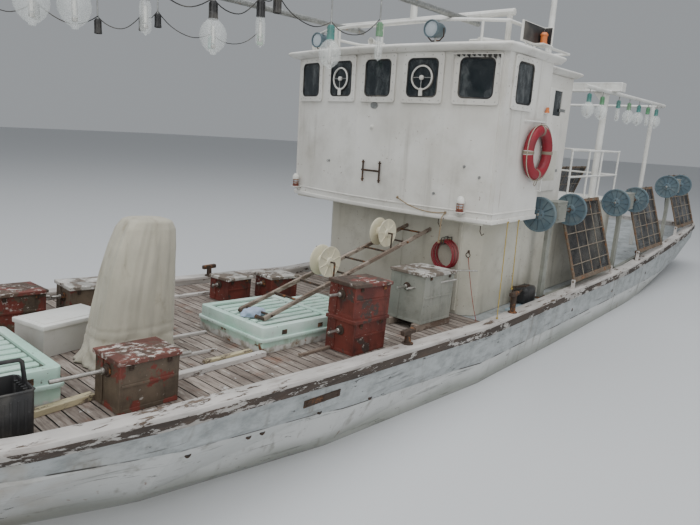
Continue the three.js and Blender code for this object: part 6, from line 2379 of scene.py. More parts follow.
@dataclass
class HullTrim:
    """Small iron on the hull's sides and rail: bollards, a bolted plate and scupper lips."""

    bollards: tuple[tuple[float, float, float], ...] = ((-0.46, 1.88, 0.3), (1.97, 1.83, 0.17), (-6.2, 1.86, 0.2))
    plate: tuple[float, float, float, float] = (3.57, 3.13, 0.70, 0.775)
    scuppers: tuple[tuple[float, float], ...] = (
        (4.645, 0.591), (4.065, 0.548), (3.92, 0.538), (3.3, 0.56), (2.6, 0.5), (-2.6, 0.46), (-4.6, 0.46), (-6.8, 0.5),
    )

    def bollard(self, x: float, y: float, height: float) -> Object:
        """A T-shaped bollard on the cap rail: a foot plate, a post and a cross bar."""
        foot = on_surface("cap_rail", (x, y, ABOVE), (0, 0, -1)).z
        post = turned(
            [(0.0, 0.0), (0.065, 0.0), (0.065, 0.012), (0.038, 0.018), (0.034, height - 0.04), (0.038, height - 0.01),
             (0.0, height)], 18)
        cross = block((0.22, 0.06, 0.055), (0, 0, height - 0.03), bevel=0.008)
        return moved(joined(post, cross), at(x, y, foot))

    def bolted_plate(self) -> Object:
        """The plate on the port bow, laid on the hull's surface."""
        fore, aft, low, high = self.plate
        corners = ((fore, low), (aft, low), (aft, high), (fore, high))
        places = [on_surface("hull", (x, ABEAM, z), (0, -1, 0)) for x, z in corners]
        ahead, rise = places[0] - places[1], places[2] - places[1]
        along = ahead.normalized()
        up = (rise - along * rise.dot(along)).normalized()
        turn = Matrix((along, up.cross(along), up)).transposed().to_4x4()
        half_l, half_h = ahead.length / 2, rise.length / 2
        plate = block((2 * half_l, 0.014, 2 * half_h), (0, 0.004, 0), bevel=0.003)
        bolt = turned([(0.0, 0.0), (0.011, 0.0), (0.011, 0.006), (0.006, 0.01), (0.0, 0.01)], 8, axis=Axis.Y)
        spots = [(x, z) for x in (-half_l * 0.85, 0, half_l * 0.85) for z in (-half_h * 0.5, half_h * 0.5)]
        bolts = spread(bolt, *(at(x, 0.011, z) for x, z in spots))
        return moved(joined(plate, bolts), Matrix.Translation(sum(places, Vector()) / 4) @ turn)

    def scupper(self, x: float, z: float) -> Object:
        """A scupper's lip on the port side, with a black disc in it as painted shade for the hole."""
        place = on_surface("hull", (x, ABEAM, z), (0, -1, 0))
        lip = turned([(0.016, -0.01), (0.03, -0.01), (0.03, 0.001), (0.023, 0.004), (0.016, 0.002), (0.016, -0.01)], 18,
                     axis=Axis.Y)
        # Painted shade: a black disc stands in for the dark inside of the scupper's hole.
        hole_shade = turned([(0.0, -0.008), (0.0175, -0.008), (0.0175, 0.0005), (0.0, 0.0)], 18, axis=Axis.Y)
        return moved(joined(coat(lip, "rusty_iron"), coat(hole_shade, "black_rubber")), Matrix.Translation(place))

    def build(self) -> None:
        """Models the port side's iron and mirrors it."""
        irons = coat(joined(*(self.bollard(*row) for row in self.bollards), self.bolted_plate()), "rusty_iron")
        holes = joined(*(self.scupper(x, z) for x, z in self.scuppers))
        port = joined(irons, holes)
        starboard = copied(port, MIRROR_Y)[0]
        present(port, "hull_irons_port", None)
        present(starboard, "hull_irons_starboard", None)


@dataclass
class SideDeckGear:
    """Odds and ends on the port side deck: a painted board, a black bundle and a bent bracket."""

    y: float = 1.66

    def build(self) -> None:
        """Lays the pieces on the side deck."""
        deck = deck_height(-1.0)
        board = roughened(block((0.9, 0.16, 0.03), (-1.3, self.y, deck + 0.02)), 3, 0.01, 4)
        bracket = pipes([[(-0.95, 1.62, deck + 0.01), (-0.95, 1.62, deck + 0.36), (-0.95, 1.82, deck + 0.42)],
                         [(-0.95, 1.62, deck + 0.2), (-1.5, 1.62, deck + 0.3)]], 0.016, 10)
        bundle = roughened(block((0.34, 0.22, 0.26), (-1.42, 1.6, deck + 0.17), bevel=0.03), 4, 0.12, 9)
        present(smoothed(coat(bundle, "black_plastic"), 60.0), "black_bundle", None)
        present(coat(board, "light_blue"), "side_deck_board", None)
        present(coat(bracket, "rusty_iron"), "bent_bracket", None)


@dataclass
class GuardRail:
    """The guard rail round the boat deck: posts on foot plates, two rails and ball joints."""

    xs: tuple[float, ...] = (-3.0, -3.8, -4.45, -5.38)
    half: float = 1.43
    foot: float = BOAT_DECK_TOP
    heights: tuple[float, float] = (0.45, 0.9)
    pipe: float = 0.018

    def build(self) -> None:
        """Models the port side, mirrors it and closes it across the stern."""
        levels = [self.foot + height for height in self.heights]
        posts = [[(x, self.half, self.foot), (x, self.half, levels[1])] for x in self.xs]
        rails = [[(self.xs[0], self.half, z), (self.xs[-1], self.half, z)] for z in levels]
        ball = turned([(0.0, -0.026), (0.018, -0.019), (0.026, 0.0), (0.018, 0.019), (0.0, 0.026)], 16)
        plate = turned([(0.0, 0.0), (0.05, 0.0), (0.05, 0.008), (0.026, 0.012), (0.022, 0.03), (0.0, 0.03)], 16)
        joints = spread(ball, *(at(x, self.half, z) for x in self.xs for z in levels))
        feet = spread(plate, *(at(x, self.half, self.foot) for x in self.xs))
        port = joined(pipes([*posts, *rails], self.pipe, 12), joints, feet)
        starboard = copied(port, MIRROR_Y)[0]
        aft = pipes([[(self.xs[-1], -self.half, z), (self.xs[-1], self.half, z)] for z in levels], self.pipe, 12)
        whole = joined(port, starboard, aft)
        present(whole, "guard_rail", "pipe_paint", replaces=["boat_deck_rail"])


@dataclass
class DoorFittings:
    """The two doors: leaves with handles, hinge straps, a kicking panel and glass."""

    def leaf_fittings(self, width: float, height: float, hinge: int, port: bool) -> Object:
        """The fittings of a leaf centred on y = 0, whose outer face is x = 0 and looks to -X.

        Args:
            width: The leaf's width.
            height: Its height.
            hinge: Which edge the hinge is on, 1 for +Y and -1 for -Y.
            port: Whether it has a round port; if not, it has an upright pane.

        Returns:
            The joined pieces.
        """
        straps = [
            block((0.005, width * 0.36, 0.045), (-0.0015, hinge * width * 0.3, z), bevel=0.001)
            for z in (height * 0.2, height * 0.8)
        ]
        rose = moved(turned([(0.0, 0.0), (0.034, 0.0), (0.034, 0.006), (0.018, 0.01), (0.0, 0.012)], 18, axis=Axis.X),
                     about(Axis.Z, 180))
        lever = pipes([[(0.0, 0, 0), (-0.045, 0, 0), (-0.045, 0.11 * hinge, -0.005)]], 0.008, 10)
        handle = moved(joined(rose, lever), at(0, -hinge * (width / 2 - 0.07), height * 0.5))
        panel = block((0.006, width * 0.7, height * 0.3), (-0.002, 0.0, height * 0.22 + 0.05), bevel=0.002)
        parts = [coat(joined(*straps, handle), "galvanised"), coat(panel, "house_paint")]
        if not port:
            light = block((0.005, 0.302, 0.382), (0.018, 0.0, 1.37), bevel=0.001)
            parts.append(coat(light, "window_glass"))
        else:
            ring = turned([(0.1, 0.0), (0.135, 0.0), (0.135, 0.012), (0.12, 0.018), (0.1, 0.012), (0.1, 0.0)], 28,
                          axis=Axis.X)
            glass = turned([(0.0, 0.001), (0.102, 0.001), (0.102, 0.006), (0.0, 0.006)], 28, axis=Axis.X)
            place = at(0, 0, height * 0.76) @ about(Axis.Z, 180)
            parts.append(coat(moved(ring, place), "bronze"))
            parts.append(coat(moved(glass, place), "window_glass"))
        return joined(*parts)

    def build(self) -> None:
        """Makes the two doors: the rounded leaves and what is on them."""
        rows = (
            ("deckhouse_door", "house_paint", (-5.4403, 0.5, 0.79), 0.0, (0.7, 1.22), 1, True),
            ("chart_room_door", "bridge_paint", (-2.3, 1.3563, 2.4003), -90.0, (0.65, 1.59), -1, False),
        )
        for node, finish, place, turn, size, hinge, port in rows:
            leaf = coat(smoothed(bevelled(copy_of(node), 0.006, 2)), finish)
            fittings = moved(self.leaf_fittings(*size, hinge, port), at(*place) @ about(Axis.Z, turn))
            present(joined(fittings, leaf), f"{node}_leaf", None, body_of(node), [node])


@dataclass
class ForeBitts:
    """The mooring bitts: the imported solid, rounded, with turned caps that lean with the bow's deck."""

    x: float = 8.06
    spacing: float = 0.15

    def build(self) -> None:
        """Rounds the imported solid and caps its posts."""
        made = smoothed(bevelled(copy_of("mooring_bitts"), 0.01, 2))
        cap = turned([(0.0, 0.0), (0.068, 0.0), (0.074, 0.012), (0.066, 0.03), (0.03, 0.042), (0.0, 0.045)], 28)
        lean = Matrix.Rotation(-math.atan(BOW_SLOPE), 4, "Y")
        high = max(vertex.co.z for vertex in frame["nodes"]["mooring_bitts"].data.vertices)
        caps = spread(cap, *(at(self.x - 0.055, y, high - 0.04) @ lean for y in (-self.spacing, self.spacing)))
        present(joined(made, caps), "fore_bitts", "rusty_iron", replaces=["mooring_bitts"])


@dataclass
class RoofGear:
    """The pipe rail round the roof with its searchlights, sidelight boards, vent, pipe and horn."""

    top: float = 4.2906
    rail: float = 4.5806
    pipe: float = 0.021
    loop: tuple[tuple[float, float], ...] = (
        (-2.85, 1.2), (-1.3, 1.2), (-0.9, 1.64), (0.12, 1.64), (0.42, 1.1), (0.52, 0.56),
        (0.52, -0.56), (0.42, -1.1), (0.12, -1.64), (-0.9, -1.64), (-1.3, -1.2), (-2.85, -1.2),
    )

    def middles(self) -> list[tuple[float, float]]:
        """The middle of each straight of the rail, where a post stands."""
        ring = [*self.loop, self.loop[0]]
        return [((a[0] + b[0]) / 2, (a[1] + b[1]) / 2) for a, b in zip(ring, ring[1:])]

    def railing(self) -> Object:
        """The rail, its posts and their foot plates."""
        ring = pipes([[(x, y, self.rail) for x, y in self.loop]], self.pipe, 12, loop=True)
        posts = pipes([[(x, y, self.top), (x, y, self.rail)] for x, y in self.middles()], self.pipe * 0.8, 10)
        foot = turned([(0.0, 0.0), (0.045, 0.0), (0.045, 0.006), (0.025, 0.008), (0.02, 0.02), (0.0, 0.02)], 14)
        feet = spread(foot, *(at(x, y, self.top) for x, y in self.middles()))
        return coat(joined(ring, posts, feet), "pipe_paint")

    def searchlight(self, number: int) -> Object:
        """A drum-shaped searchlight that looks ahead from a rail post."""
        x, y = self.middles()[number]
        drum = turned(
            [(0.0, -0.12), (0.05, -0.12), (0.082, -0.095), (0.092, -0.06), (0.1, 0.08), (0.108, 0.1), (0.108, 0.128),
             (0.098, 0.13), (0.094, 0.108), (0.0, 0.1)],
            32, axis=Axis.X,
        )
        lens = turned([(0.0, 0.1), (0.094, 0.104), (0.092, 0.112), (0.05, 0.122), (0.0, 0.125)], 32, axis=Axis.X)
        yoke = pipes([[(0.0, 0.112, 0.02), (0.0, 0.118, -0.08), (0.0, 0.06, -0.13), (0.0, -0.06, -0.13),
                       (0.0, -0.118, -0.08), (0.0, -0.112, 0.02)]], 0.009, 8)
        parts = [coat(drum, "disc_paint"), coat(lens, "light_lens"), coat(yoke, "rusty_iron")]
        return moved(joined(*parts), at(x, y, self.top + 0.17))

    def sidelight(self, side: Side) -> Object:
        """A board, black inside, with its lamp in front of it."""
        y = side.value
        board = block((0.62, 0.022, 0.24), (-0.25, y * 1.79, self.top + 0.18), bevel=0.004)
        shade = block((0.022, 0.14, 0.24), (-0.55, y * 1.85, self.top + 0.18), bevel=0.004)
        shelf = block((0.3, 0.16, 0.018), (-0.42, y * 1.85, self.top + 0.065), bevel=0.004)
        inner = block((0.56, 0.004, 0.21), (-0.25, y * 1.8035, self.top + 0.185), bevel=0.001)
        backing = block((0.004, 0.1, 0.21), (-0.537, y * 1.855, self.top + 0.185), bevel=0.001)
        lamp = moved(turned(
            [(0.0, 0.0), (0.05, 0.0), (0.05, 0.02), (0.042, 0.026), (0.042, 0.1), (0.05, 0.106), (0.05, 0.12),
             (0.03, 0.145), (0.0, 0.15)], 20), at(-0.42, y * 1.86, self.top + 0.074))
        stays = pipes([[(-0.25, y * 1.76, self.top), (-0.25, y * 1.76, self.top + 0.2)],
                       [(-0.39, y * 1.64, self.top + 0.15), (-0.39, y * 1.785, self.top + 0.15)]], 0.014, 8)
        return joined(
            coat(joined(board, shade, shelf, stays), "bridge_paint"), coat(joined(inner, backing), "black_plastic"),
            coat(lamp, "buoy_orange" if side is Side.PORT else "green_socket"),
        )

    def top_gear(self) -> Object:
        """A louvred vent box, a thick pipe across the port side and a horn."""
        vent = sunk(block((0.34, 0.3, 0.2), (-0.62, 0.9, self.top + 0.1), bevel=0.012), (1, 0, 0), (0.025, -0.02))
        louvres = spread(block((0.012, 0.24, 0.02), (-0.452, 0.9, self.top), bevel=0.002),
                         *(at(0, 0, 0.045 + 0.03 * k) for k in range(5)))
        stack = pipes([[(0.2, 1.3, self.top + 0.06), (-0.5, 1.5, self.top + 0.09), (-0.8, 1.5, self.top + 0.09)]],
                      0.045, 14)
        cradle = spread(block((0.03, 0.12, 0.05), (0, 0, 0.02), bevel=0.004),
                        at(0.1, 1.33, self.top), at(-0.45, 1.48, self.top + 0.01), at(-0.75, 1.5, self.top + 0.01))
        horn = turned([(0.0, 0.0), (0.018, 0.0), (0.014, 0.06), (0.024, 0.22), (0.05, 0.3), (0.044, 0.3),
                       (0.018, 0.22), (0.0, 0.2)], 20, axis=Axis.X)
        horn_post = pipes([[(0.06, 0, 0), (0.06, 0, -0.1)]], 0.01, 8)
        horn_whole = moved(joined(horn, horn_post), at(0.1, -0.3, self.top + 0.1))
        return coat(joined(vent, louvres, stack, cradle, horn_whole), "pipe_paint")

    def build(self) -> None:
        """Puts the roof's gear together in place of its solid."""
        parts = [self.railing(), self.searchlight(4), self.searchlight(7), self.sidelight(Side.PORT),
                 self.sidelight(Side.STARBOARD), self.top_gear()]
        present(joined(*parts), "roof_gear", None, replaces=["roof_rail"])


# ---- Lamps


class LampKind(Enum):
    """What hangs in a lamp socket."""

    GLOBE = "globe"
    TUBE = "tube"
    BARE = "bare"


@dataclass
class FishingLamp:
    """A fishing lamp that hangs on a stem: a caged socket, a clear bulb and its burner."""

    kind: LampKind
    socket_finish: str
    stem: float = 0.09

    def hardware(self) -> Object:
        """The stem, the socket with its ribs, and the burner inside the bulb."""
        top = -self.stem
        stem = pipes([[(0, 0, 0.0), (0, 0, top)]], 0.008, 8)
        hook = bar((0, 0, top - 0.012), (0, 0, top), 0.016, 12, 0.003)
        shell = turned(
            [(0.0, top - 0.01), (0.026, top - 0.01), (0.034, top - 0.03), (0.03, top - 0.05), (0.034, top - 0.07),
             (0.03, top - 0.09), (0.036, top - 0.11), (0.04, top - 0.15), (0.036, top - 0.155), (0.0, top - 0.12)],
            20,
        )
        rib = block((0.005, 0.008, 0.12), (0.037, 0, top - 0.085), bevel=0.001)
        ribs = spread(rib, *(about(Axis.Z, 60 * k) for k in range(6)))
        parts = [coat(joined(stem, hook), "galvanised"), coat(joined(shell, ribs), self.socket_finish)]
        if self.kind is not LampKind.BARE:
            low = top - (0.4 if self.kind is LampKind.GLOBE else 0.38)
            burner = bar((0, 0, low + 0.06), (0, 0, top - 0.2), 0.011, 12, 0.004)
            wires = pipes([[(s * 0.016, 0, low + 0.03), (s * 0.02, 0, low + 0.12), (s * 0.012, 0, top - 0.15)]
                           for s in (-1, 1)], 0.002, 6)
            cap = bar((0, 0, low + 0.02), (0, 0, low + 0.05), 0.02, 12, 0.004)
            parts += [coat(burner, "lamp_white"), coat(joined(wires, cap), "worn_shaft")]
        return joined(*parts)

    def bulb(self) -> Object | None:
        """The clear glass, or None in an empty socket."""
        top = -self.stem
        profiles = {
            LampKind.GLOBE: [
                (0.0, -0.43), (0.022, -0.428), (0.028, -0.412), (0.05, -0.4), (0.085, -0.365), (0.109, -0.315),
                (0.114, -0.27), (0.104, -0.225), (0.078, -0.185), (0.052, -0.16), (0.036, -0.145), (0.0, -0.145),
            ],
            LampKind.TUBE: [
                (0.0, -0.41), (0.006, -0.408), (0.012, -0.398), (0.03, -0.39), (0.042, -0.37), (0.044, -0.34),
                (0.044, -0.2), (0.038, -0.17), (0.032, -0.15), (0.0, -0.15),
            ],
        }
        if self.kind not in profiles:
            return None
        return coat(turned([(r, top + h) for r, h in profiles[self.kind]], 28), "bulb_glass")


@dataclass
class LampRow:
    """Lamps in a row under a boom: one piece for the metalwork and one for the glass."""

    name: str
    lamps: tuple[tuple[LampKind, float, float, float, str, float], ...]

    def build(self) -> tuple[Object, Object | None]:
        """Models each kind of lamp once and hangs its copies.

        Returns:
            The metalwork and the glass, not yet presented.
        """
        metal, glass = [], []
        for key in sorted({(kind.value, finish, stem) for kind, _, _, _, finish, stem in self.lamps}):
            lamp = FishingLamp(LampKind(key[0]), key[1], key[2])
            places = [at(x, y, z) for kind, x, y, z, finish, stem in self.lamps if (kind.value, finish, stem) == key]
            metal.append(spread(lamp.hardware(), *places))
            bulb = lamp.bulb()
            if bulb:
                glass.append(spread(bulb, *places))
        return joined(*metal), joined(*glass) if glass else None


BOOM_LAMPS = (
    (LampKind.GLOBE, 6.3, 0.46, "black_plastic"), (LampKind.TUBE, 5.8, 0.44, "black_plastic"),
    (LampKind.GLOBE, 5.38, 0.5, "black_plastic"), (LampKind.GLOBE, 5.1, 0.48, "green_socket"),
    (LampKind.TUBE, 4.57, 0.46, "black_plastic"), (LampKind.GLOBE, 3.96, 0.5, "black_plastic"),
    (LampKind.TUBE, 3.46, 0.395, "black_plastic"), (LampKind.BARE, 3.27, 0.33, "black_plastic"),
    (LampKind.GLOBE, 2.56, 0.46, "teal_socket"), (LampKind.TUBE, 1.8, 0.31, "green_socket"),
)


@dataclass
class LampBoom:
    """One of the two booms between the foremast and the roof's gantry, with its lamps."""

    side: Side
    y: float = 1.0
    height: float = 4.64
    reach: tuple[float, float] = (-0.25, 7.1)
    radius: float = 0.038
    slack: float = 0.3
    deepest: float = 0.14

    def build(self) -> None:
        """Models the boom, its clips and wiring, and hangs the lamps."""
        y = self.side.value * self.y
        pole = bar((self.reach[0], y, self.height), (self.reach[1], y, self.height), self.radius, 20, 0.004)
        clip = turned([(self.radius, -0.016), (self.radius + 0.008, -0.016), (self.radius + 0.008, 0.016),
                       (self.radius, 0.016), (self.radius, -0.016)], 20, axis=Axis.X)
        clips = spread(clip, *(at(x, y, self.height) for _, x, _, _ in BOOM_LAMPS))
        parts = [coat(joined(pole, clips), "galvanised")]
        port = self.side is Side.PORT
        lamps = tuple(
            (kind if port else LampKind.BARE, x, y, self.height, socket, stem) for kind, x, stem, socket in BOOM_LAMPS
        )
        metal, glass = LampRow("boom", lamps).build()
        parts.append(metal)
        wires = []
        for (_, a, stem_a, _), (_, b, stem_b, _) in zip(BOOM_LAMPS, BOOM_LAMPS[1:]):
            dip = min(self.deepest, self.slack * abs(a - b))
            wires.append([
                (a + (b - a) * s, y + 0.012 * math.sin(9 * s + a),
                 self.height - stem_a + (stem_a - stem_b) * s + 0.02 - dip * 4 * s * (1 - s))
                for s in (k / 12 for k in range(13))
            ])
        parts.append(coat(pipes(wires, 0.005, 6), "black_rubber"))
        name = self.side.name.lower()
        present(joined(*parts), f"boom_{name}", None, replaces=[f"lamp_boom_{name}"])
        if glass:
            present(glass, f"boom_bulbs_{name}", None)


@dataclass
class AftGantry:
    """The white gantry over the boat deck with its mast, two lamp pipes and their lamps."""

    x: float = -4.7
    beam: float = 4.15
    beam_half: float = 1.25
    pipe_half: float = 1.35
    aft: float = 3.5
    aft_foot: float = 0.8552
    offsets: tuple[float, ...] = (1.1, 0.45, -0.45, -1.1, -1.75, -2.4, -3.05)

    def metalwork(self) -> Object:
        """The posts, the box beam, the pipes and the mast."""
        x, z = self.x, self.beam
        beam = block((0.22, 3.1, 0.16), (x, 0, z + 0.08), bevel=0.008)
        with editing(beam, "FACE") as mesh:
            choose(mesh, mesh.faces, lambda face: abs(face.normal.x) > 0.9)
            bpy.ops.mesh.inset(thickness=0.03, depth=-0.006, use_individual=True)
        posts, tubes, sides = [], [], (-1, 1)
        for side in sides:
            y = side * self.beam_half
            posts.append(bar((x, y, BOAT_DECK_TOP), (x, y, z + 0.01), 0.06, 20, 0.003))
        for side in sides:
            y = side * (self.beam_half - 0.1)
            posts.append(bar((x - self.aft, y, self.aft_foot), (x - self.aft, y, z + 0.036), 0.048, 18, 0.003))
        for side in sides:
            y = side * self.pipe_half
            tubes.append(bar((x - self.aft - 0.1, y, z - 0.012), (x + 1.3, y, z - 0.012), 0.036, 16, 0.003))
        cross = bar((x - self.aft, -1.362, z - 0.033), (x - self.aft, 1.362, z - 0.033), 0.03, 14, 0.003)
        mast = turned([(0.0, 0.0), (0.07, 0.0), (0.045, 2.59), (0.03, 2.6), (0.0, 2.6)], 20, (x, 0, z + 0.15))
        yard = bar((x, -0.5, 6.3), (x, 0.5, 6.3), 0.028, 14, 0.003)
        foot = turned([(0.0, 0.0), (0.11, 0.0), (0.11, 0.012), (0.066, 0.016), (0.064, 0.05), (0.0, 0.05)], 20)
        feet = spread(foot, *(at(x, side * self.beam_half, BOAT_DECK_TOP) for side in sides))
        knees = []
        for side in sides:
            corners = ((side * 1.24, z), (side * 1.0, z), (side * 1.24, z - 0.24))
            knees.append(slab([(x + 0.02, y, height) for y, height in corners], (0.012, 0, 0), bevel=0.002))
        return coat(joined(beam, *posts, *tubes, cross, mast, yard, feet, *knees), "pipe_paint")

    def build(self) -> None:
        """Puts the gantry and its lamps in place of their solid."""
        lamps = tuple(
            (LampKind.TUBE if k % 3 == 2 else LampKind.GLOBE, self.x + dx, side * self.pipe_half, self.beam - 0.02,
             ("teal_socket", "green_socket")[k % 2], 0.09)
            for side in (-1, 1) for k, dx in enumerate(self.offsets)
        )
        metal, glass = LampRow("aft", lamps).build()
        present(joined(self.metalwork(), metal), "gantry_aft", None, replaces=["aft_gantry"])
        present(glass, "gantry_bulbs", None)


# ---- Racks and jigging machines


@dataclass
class Rack:
    """A folding rack: a rusty frame with a wire grid and dark netting stretched inside it."""

    side: Side
    number: int
    x: float
    y: float
    width: float = 1.8
    height: float = 1.35
    lean: float = 0.32
    foot: float = 0.2483
    border: tuple[float, float] = (0.058, 0.034)
    wire: float = 0.0085
    columns: int = 4
    rows: int = 5

    @property
    def name(self) -> str:
        """The rack's name, which its node and body share."""
        return f"{self.side.name.lower()}_rack_{self.number}"

    def stand(self) -> Matrix:
        """The rack's place, from its own upright frame."""
        z = deck_height(self.x) + self.foot
        return at(self.x, self.side.value * self.y, z) @ Matrix.Rotation(self.side.value * self.lean, 4, "X")

    def frame_bars(self) -> Object:
        """The outer frame, its foot pipe with pins, clamps at the feet and lugs at the corners."""
        wide, thick = self.border
        w, h = self.width / 2, self.height
        uprights = [block((wide, thick, h), (s * (w - wide / 2), 0, h / 2), bevel=0.008) for s in (-1, 1)]
        rails = [block((self.width - 2 * wide, thick, wide), (0, 0, z), bevel=0.008) for z in (wide / 2, h - wide / 2)]
        pin = bar((-w - 0.046, 0, 0), (w + 0.046, 0, 0), 0.0138, 14, 0.002)
        sleeve = bar((-w + 0.01, 0, 0), (w - 0.01, 0, 0), 0.021, 12, 0.002)
        clamp = joined(
            block((0.07, thick + 0.02, 0.05), (0, 0, 0), bevel=0.005),
            bar((0.0, -thick, 0.0), (0.0, thick, 0.0), 0.009, 6, 0.001),
        )
        spots = [(s * (w - 0.12), z) for s in (-1, 1) for z in (0.02, h - 0.035)]
        clamps = spread(clamp, *(at(x, 0, z) for x, z in spots))
        return coat(joined(*uprights, *rails, pin, sleeve, clamps), "rack_iron")

    def inner_frame(self) -> Object:
        """A lighter frame of thin pipe clipped inside the heavy one."""
        w, h = self.width / 2 - 0.1, self.height - 0.1
        line = [(-w, -0.02, 0.1), (w, -0.02, 0.1), (w, -0.02, h), (-w, -0.02, h)]
        return coat(pipes([line], 0.0095, 8, loop=True), "pale_iron")

    def grid(self) -> Object:
        """The wires across and up the frame, one layer on each side of the net."""
        w, h = self.width / 2 - self.border[0] * 0.6, self.height - self.border[0] * 0.6
        across = [[(-w, 0.008, h * k / self.rows), (w, 0.008, h * k / self.rows)] for k in range(1, self.rows)]
        up = [[(-w + 2 * w * k / self.columns, 0.0, 0.03), (-w + 2 * w * k / self.columns, 0.0, h)]
              for k in range(1, self.columns)]
        return coat(pipes(across + up, self.wire, 8), "pale_iron")

    def rags(self) -> Object:
        """Tangled ends of rope and weed caught along the top bar."""
        rng = random.Random(self.number * 7 + self.side.value)
        lines = []
        for _ in range(7):
            x = rng.uniform(-self.width / 2 + 0.1, self.width / 2 - 0.16)
            reach, drop = rng.uniform(0.05, 0.14), rng.uniform(0.03, 0.13)
            top = self.height + 0.006
            lines.append([
                (x, -0.02, top - drop), (x + 0.01, -0.021, top - 0.012), (x + 0.02, 0.0, top),
                (x + reach * 0.6, 0.012, top + 0.004), (x + reach, 0.021, top - 0.012),
                (x + reach + 0.012, 0.024, top - drop * 0.8),
            ])
        return coat(pipes(lines, 0.006, 6, smooth=True), "black_rubber")

    def net(self) -> Object:
        """The netting: a thin sheet that sags between the wires."""
        w, h = self.width / 2 - self.border[0] * 0.8, self.height - self.border[0] * 0.8
        bpy.ops.object.select_all(action="DESELECT")
        bpy.ops.mesh.primitive_grid_add(x_subdivisions=28, y_subdivisions=28, size=1.0)
        net = bpy.context.active_object
        seed = self.number * 3.1 + self.side.value
        for vertex in net.data.vertices:
            u, v = vertex.co.x + 0.5, vertex.co.y + 0.5
            bay = math.sin(math.pi * u * self.columns) * math.sin(math.pi * v * self.rows)
            sag = -0.005 - 0.004 * abs(bay) + 0.004 * noise.noise(Vector((u * 5, v * 5, seed)))
            edge = 0.02 * (1 - v) * noise.noise(Vector((u * 9, seed, 0.5)))
            vertex.co = (-w + 2 * w * u, sag, 0.04 + (h - 0.04) * v + edge)
        pick(net)
        bpy.ops.object.shade_smooth()
        return net

    def build(self) -> None:
        """Models the rack where its solid leans and fastens it to its own body."""
        body = f"{self.name}_body"
        parts = joined(self.frame_bars(), self.inner_frame(), self.grid(), self.rags())
        frame_piece = moved(parts, self.stand())
        present(frame_piece, f"{self.name}_frame", None, body, [self.name])
        net = moved(self.net(), self.stand())
        present(net, f"{self.name}_net", "dark_net", body)
        f"{self.name}_frame"


@dataclass
class JigDrums:
    """The two ribbed discs and the shaft that turn in a jigging machine."""

    side: Side
    number: int
    x: float
    spacing: float = 0.6
    radius: float = 0.258
    half_width: float = 0.026
    hub: float = 0.074
    ribs: int = 12

    def disc(self) -> Object:
        """One disc about the X axis: a rolled rim, a thin web with ribs on both faces and a hub."""
        r, half = self.radius, self.half_width
        plate = turned(
            [(0.0, -0.04), (self.hub * 0.6, -0.04), (self.hub, -0.032), (self.hub + 0.012, -0.012),
             (r - 0.034, -0.008), (r - 0.026, -half), (r - 0.006, -half), (r, -half + 0.006), (r, half - 0.006),
             (r - 0.006, half), (r - 0.026, half), (r - 0.034, 0.008), (self.hub + 0.012, 0.012),
             (self.hub, 0.032), (self.hub * 0.6, 0.04), (0.0, 0.04)],
            44, axis=Axis.X,
        )
        long = r - 0.03 - self.hub
        rib = block((0.034, long, 0.012), (0, self.hub + long / 2, 0), bevel=0.003)
        ribs = spread(rib, *(about(Axis.X, 360 * k / self.ribs) for k in range(self.ribs)))
        bolt = bar((0.034, 0, 0), (0.046, 0, 0), 0.009, 6, 0.001)
        bolts = spread(bolt, *(about(Axis.X, 90 * k) @ at(0, 0.05, 0) for k in range(4)))
        both = spread(bolts, at(0, 0, 0), about(Axis.Z, 180))
        return joined(coat(plate, "disc_paint"), coat(ribs, "disc_rib"), coat(both, "rusty_iron"))

    def build(self) -> None:
        """Models one disc, copies it to the other end and adds the shaft."""
        pair = spread(self.disc(), at(self.spacing, 0, 0), at(-self.spacing, 0, 0))
        reach = self.spacing + 0.058
        shaft = coat(bar((-reach, 0, 0), (reach, 0, 0), 0.0196, 16, 0.003), "worn_shaft")
        collar = bar((self.spacing - 0.09, 0, 0), (self.spacing - 0.05, 0, 0), 0.034, 16, 0.003)
        collars = coat(spread(collar, at(0, 0, 0), about(Axis.Z, 180)), "rusty_iron")
        place = at(self.x, self.side.value * MACHINE_Y, deck_height(self.x) + AXLE_HEIGHT)
        name = self.side.name.lower()
        present(moved(joined(pair, shaft, collars), place), f"drums_{name}_{self.number}", None,
                f"{name}_drums_{self.number}_body", [f"jig_drums_{name}_{self.number}"])


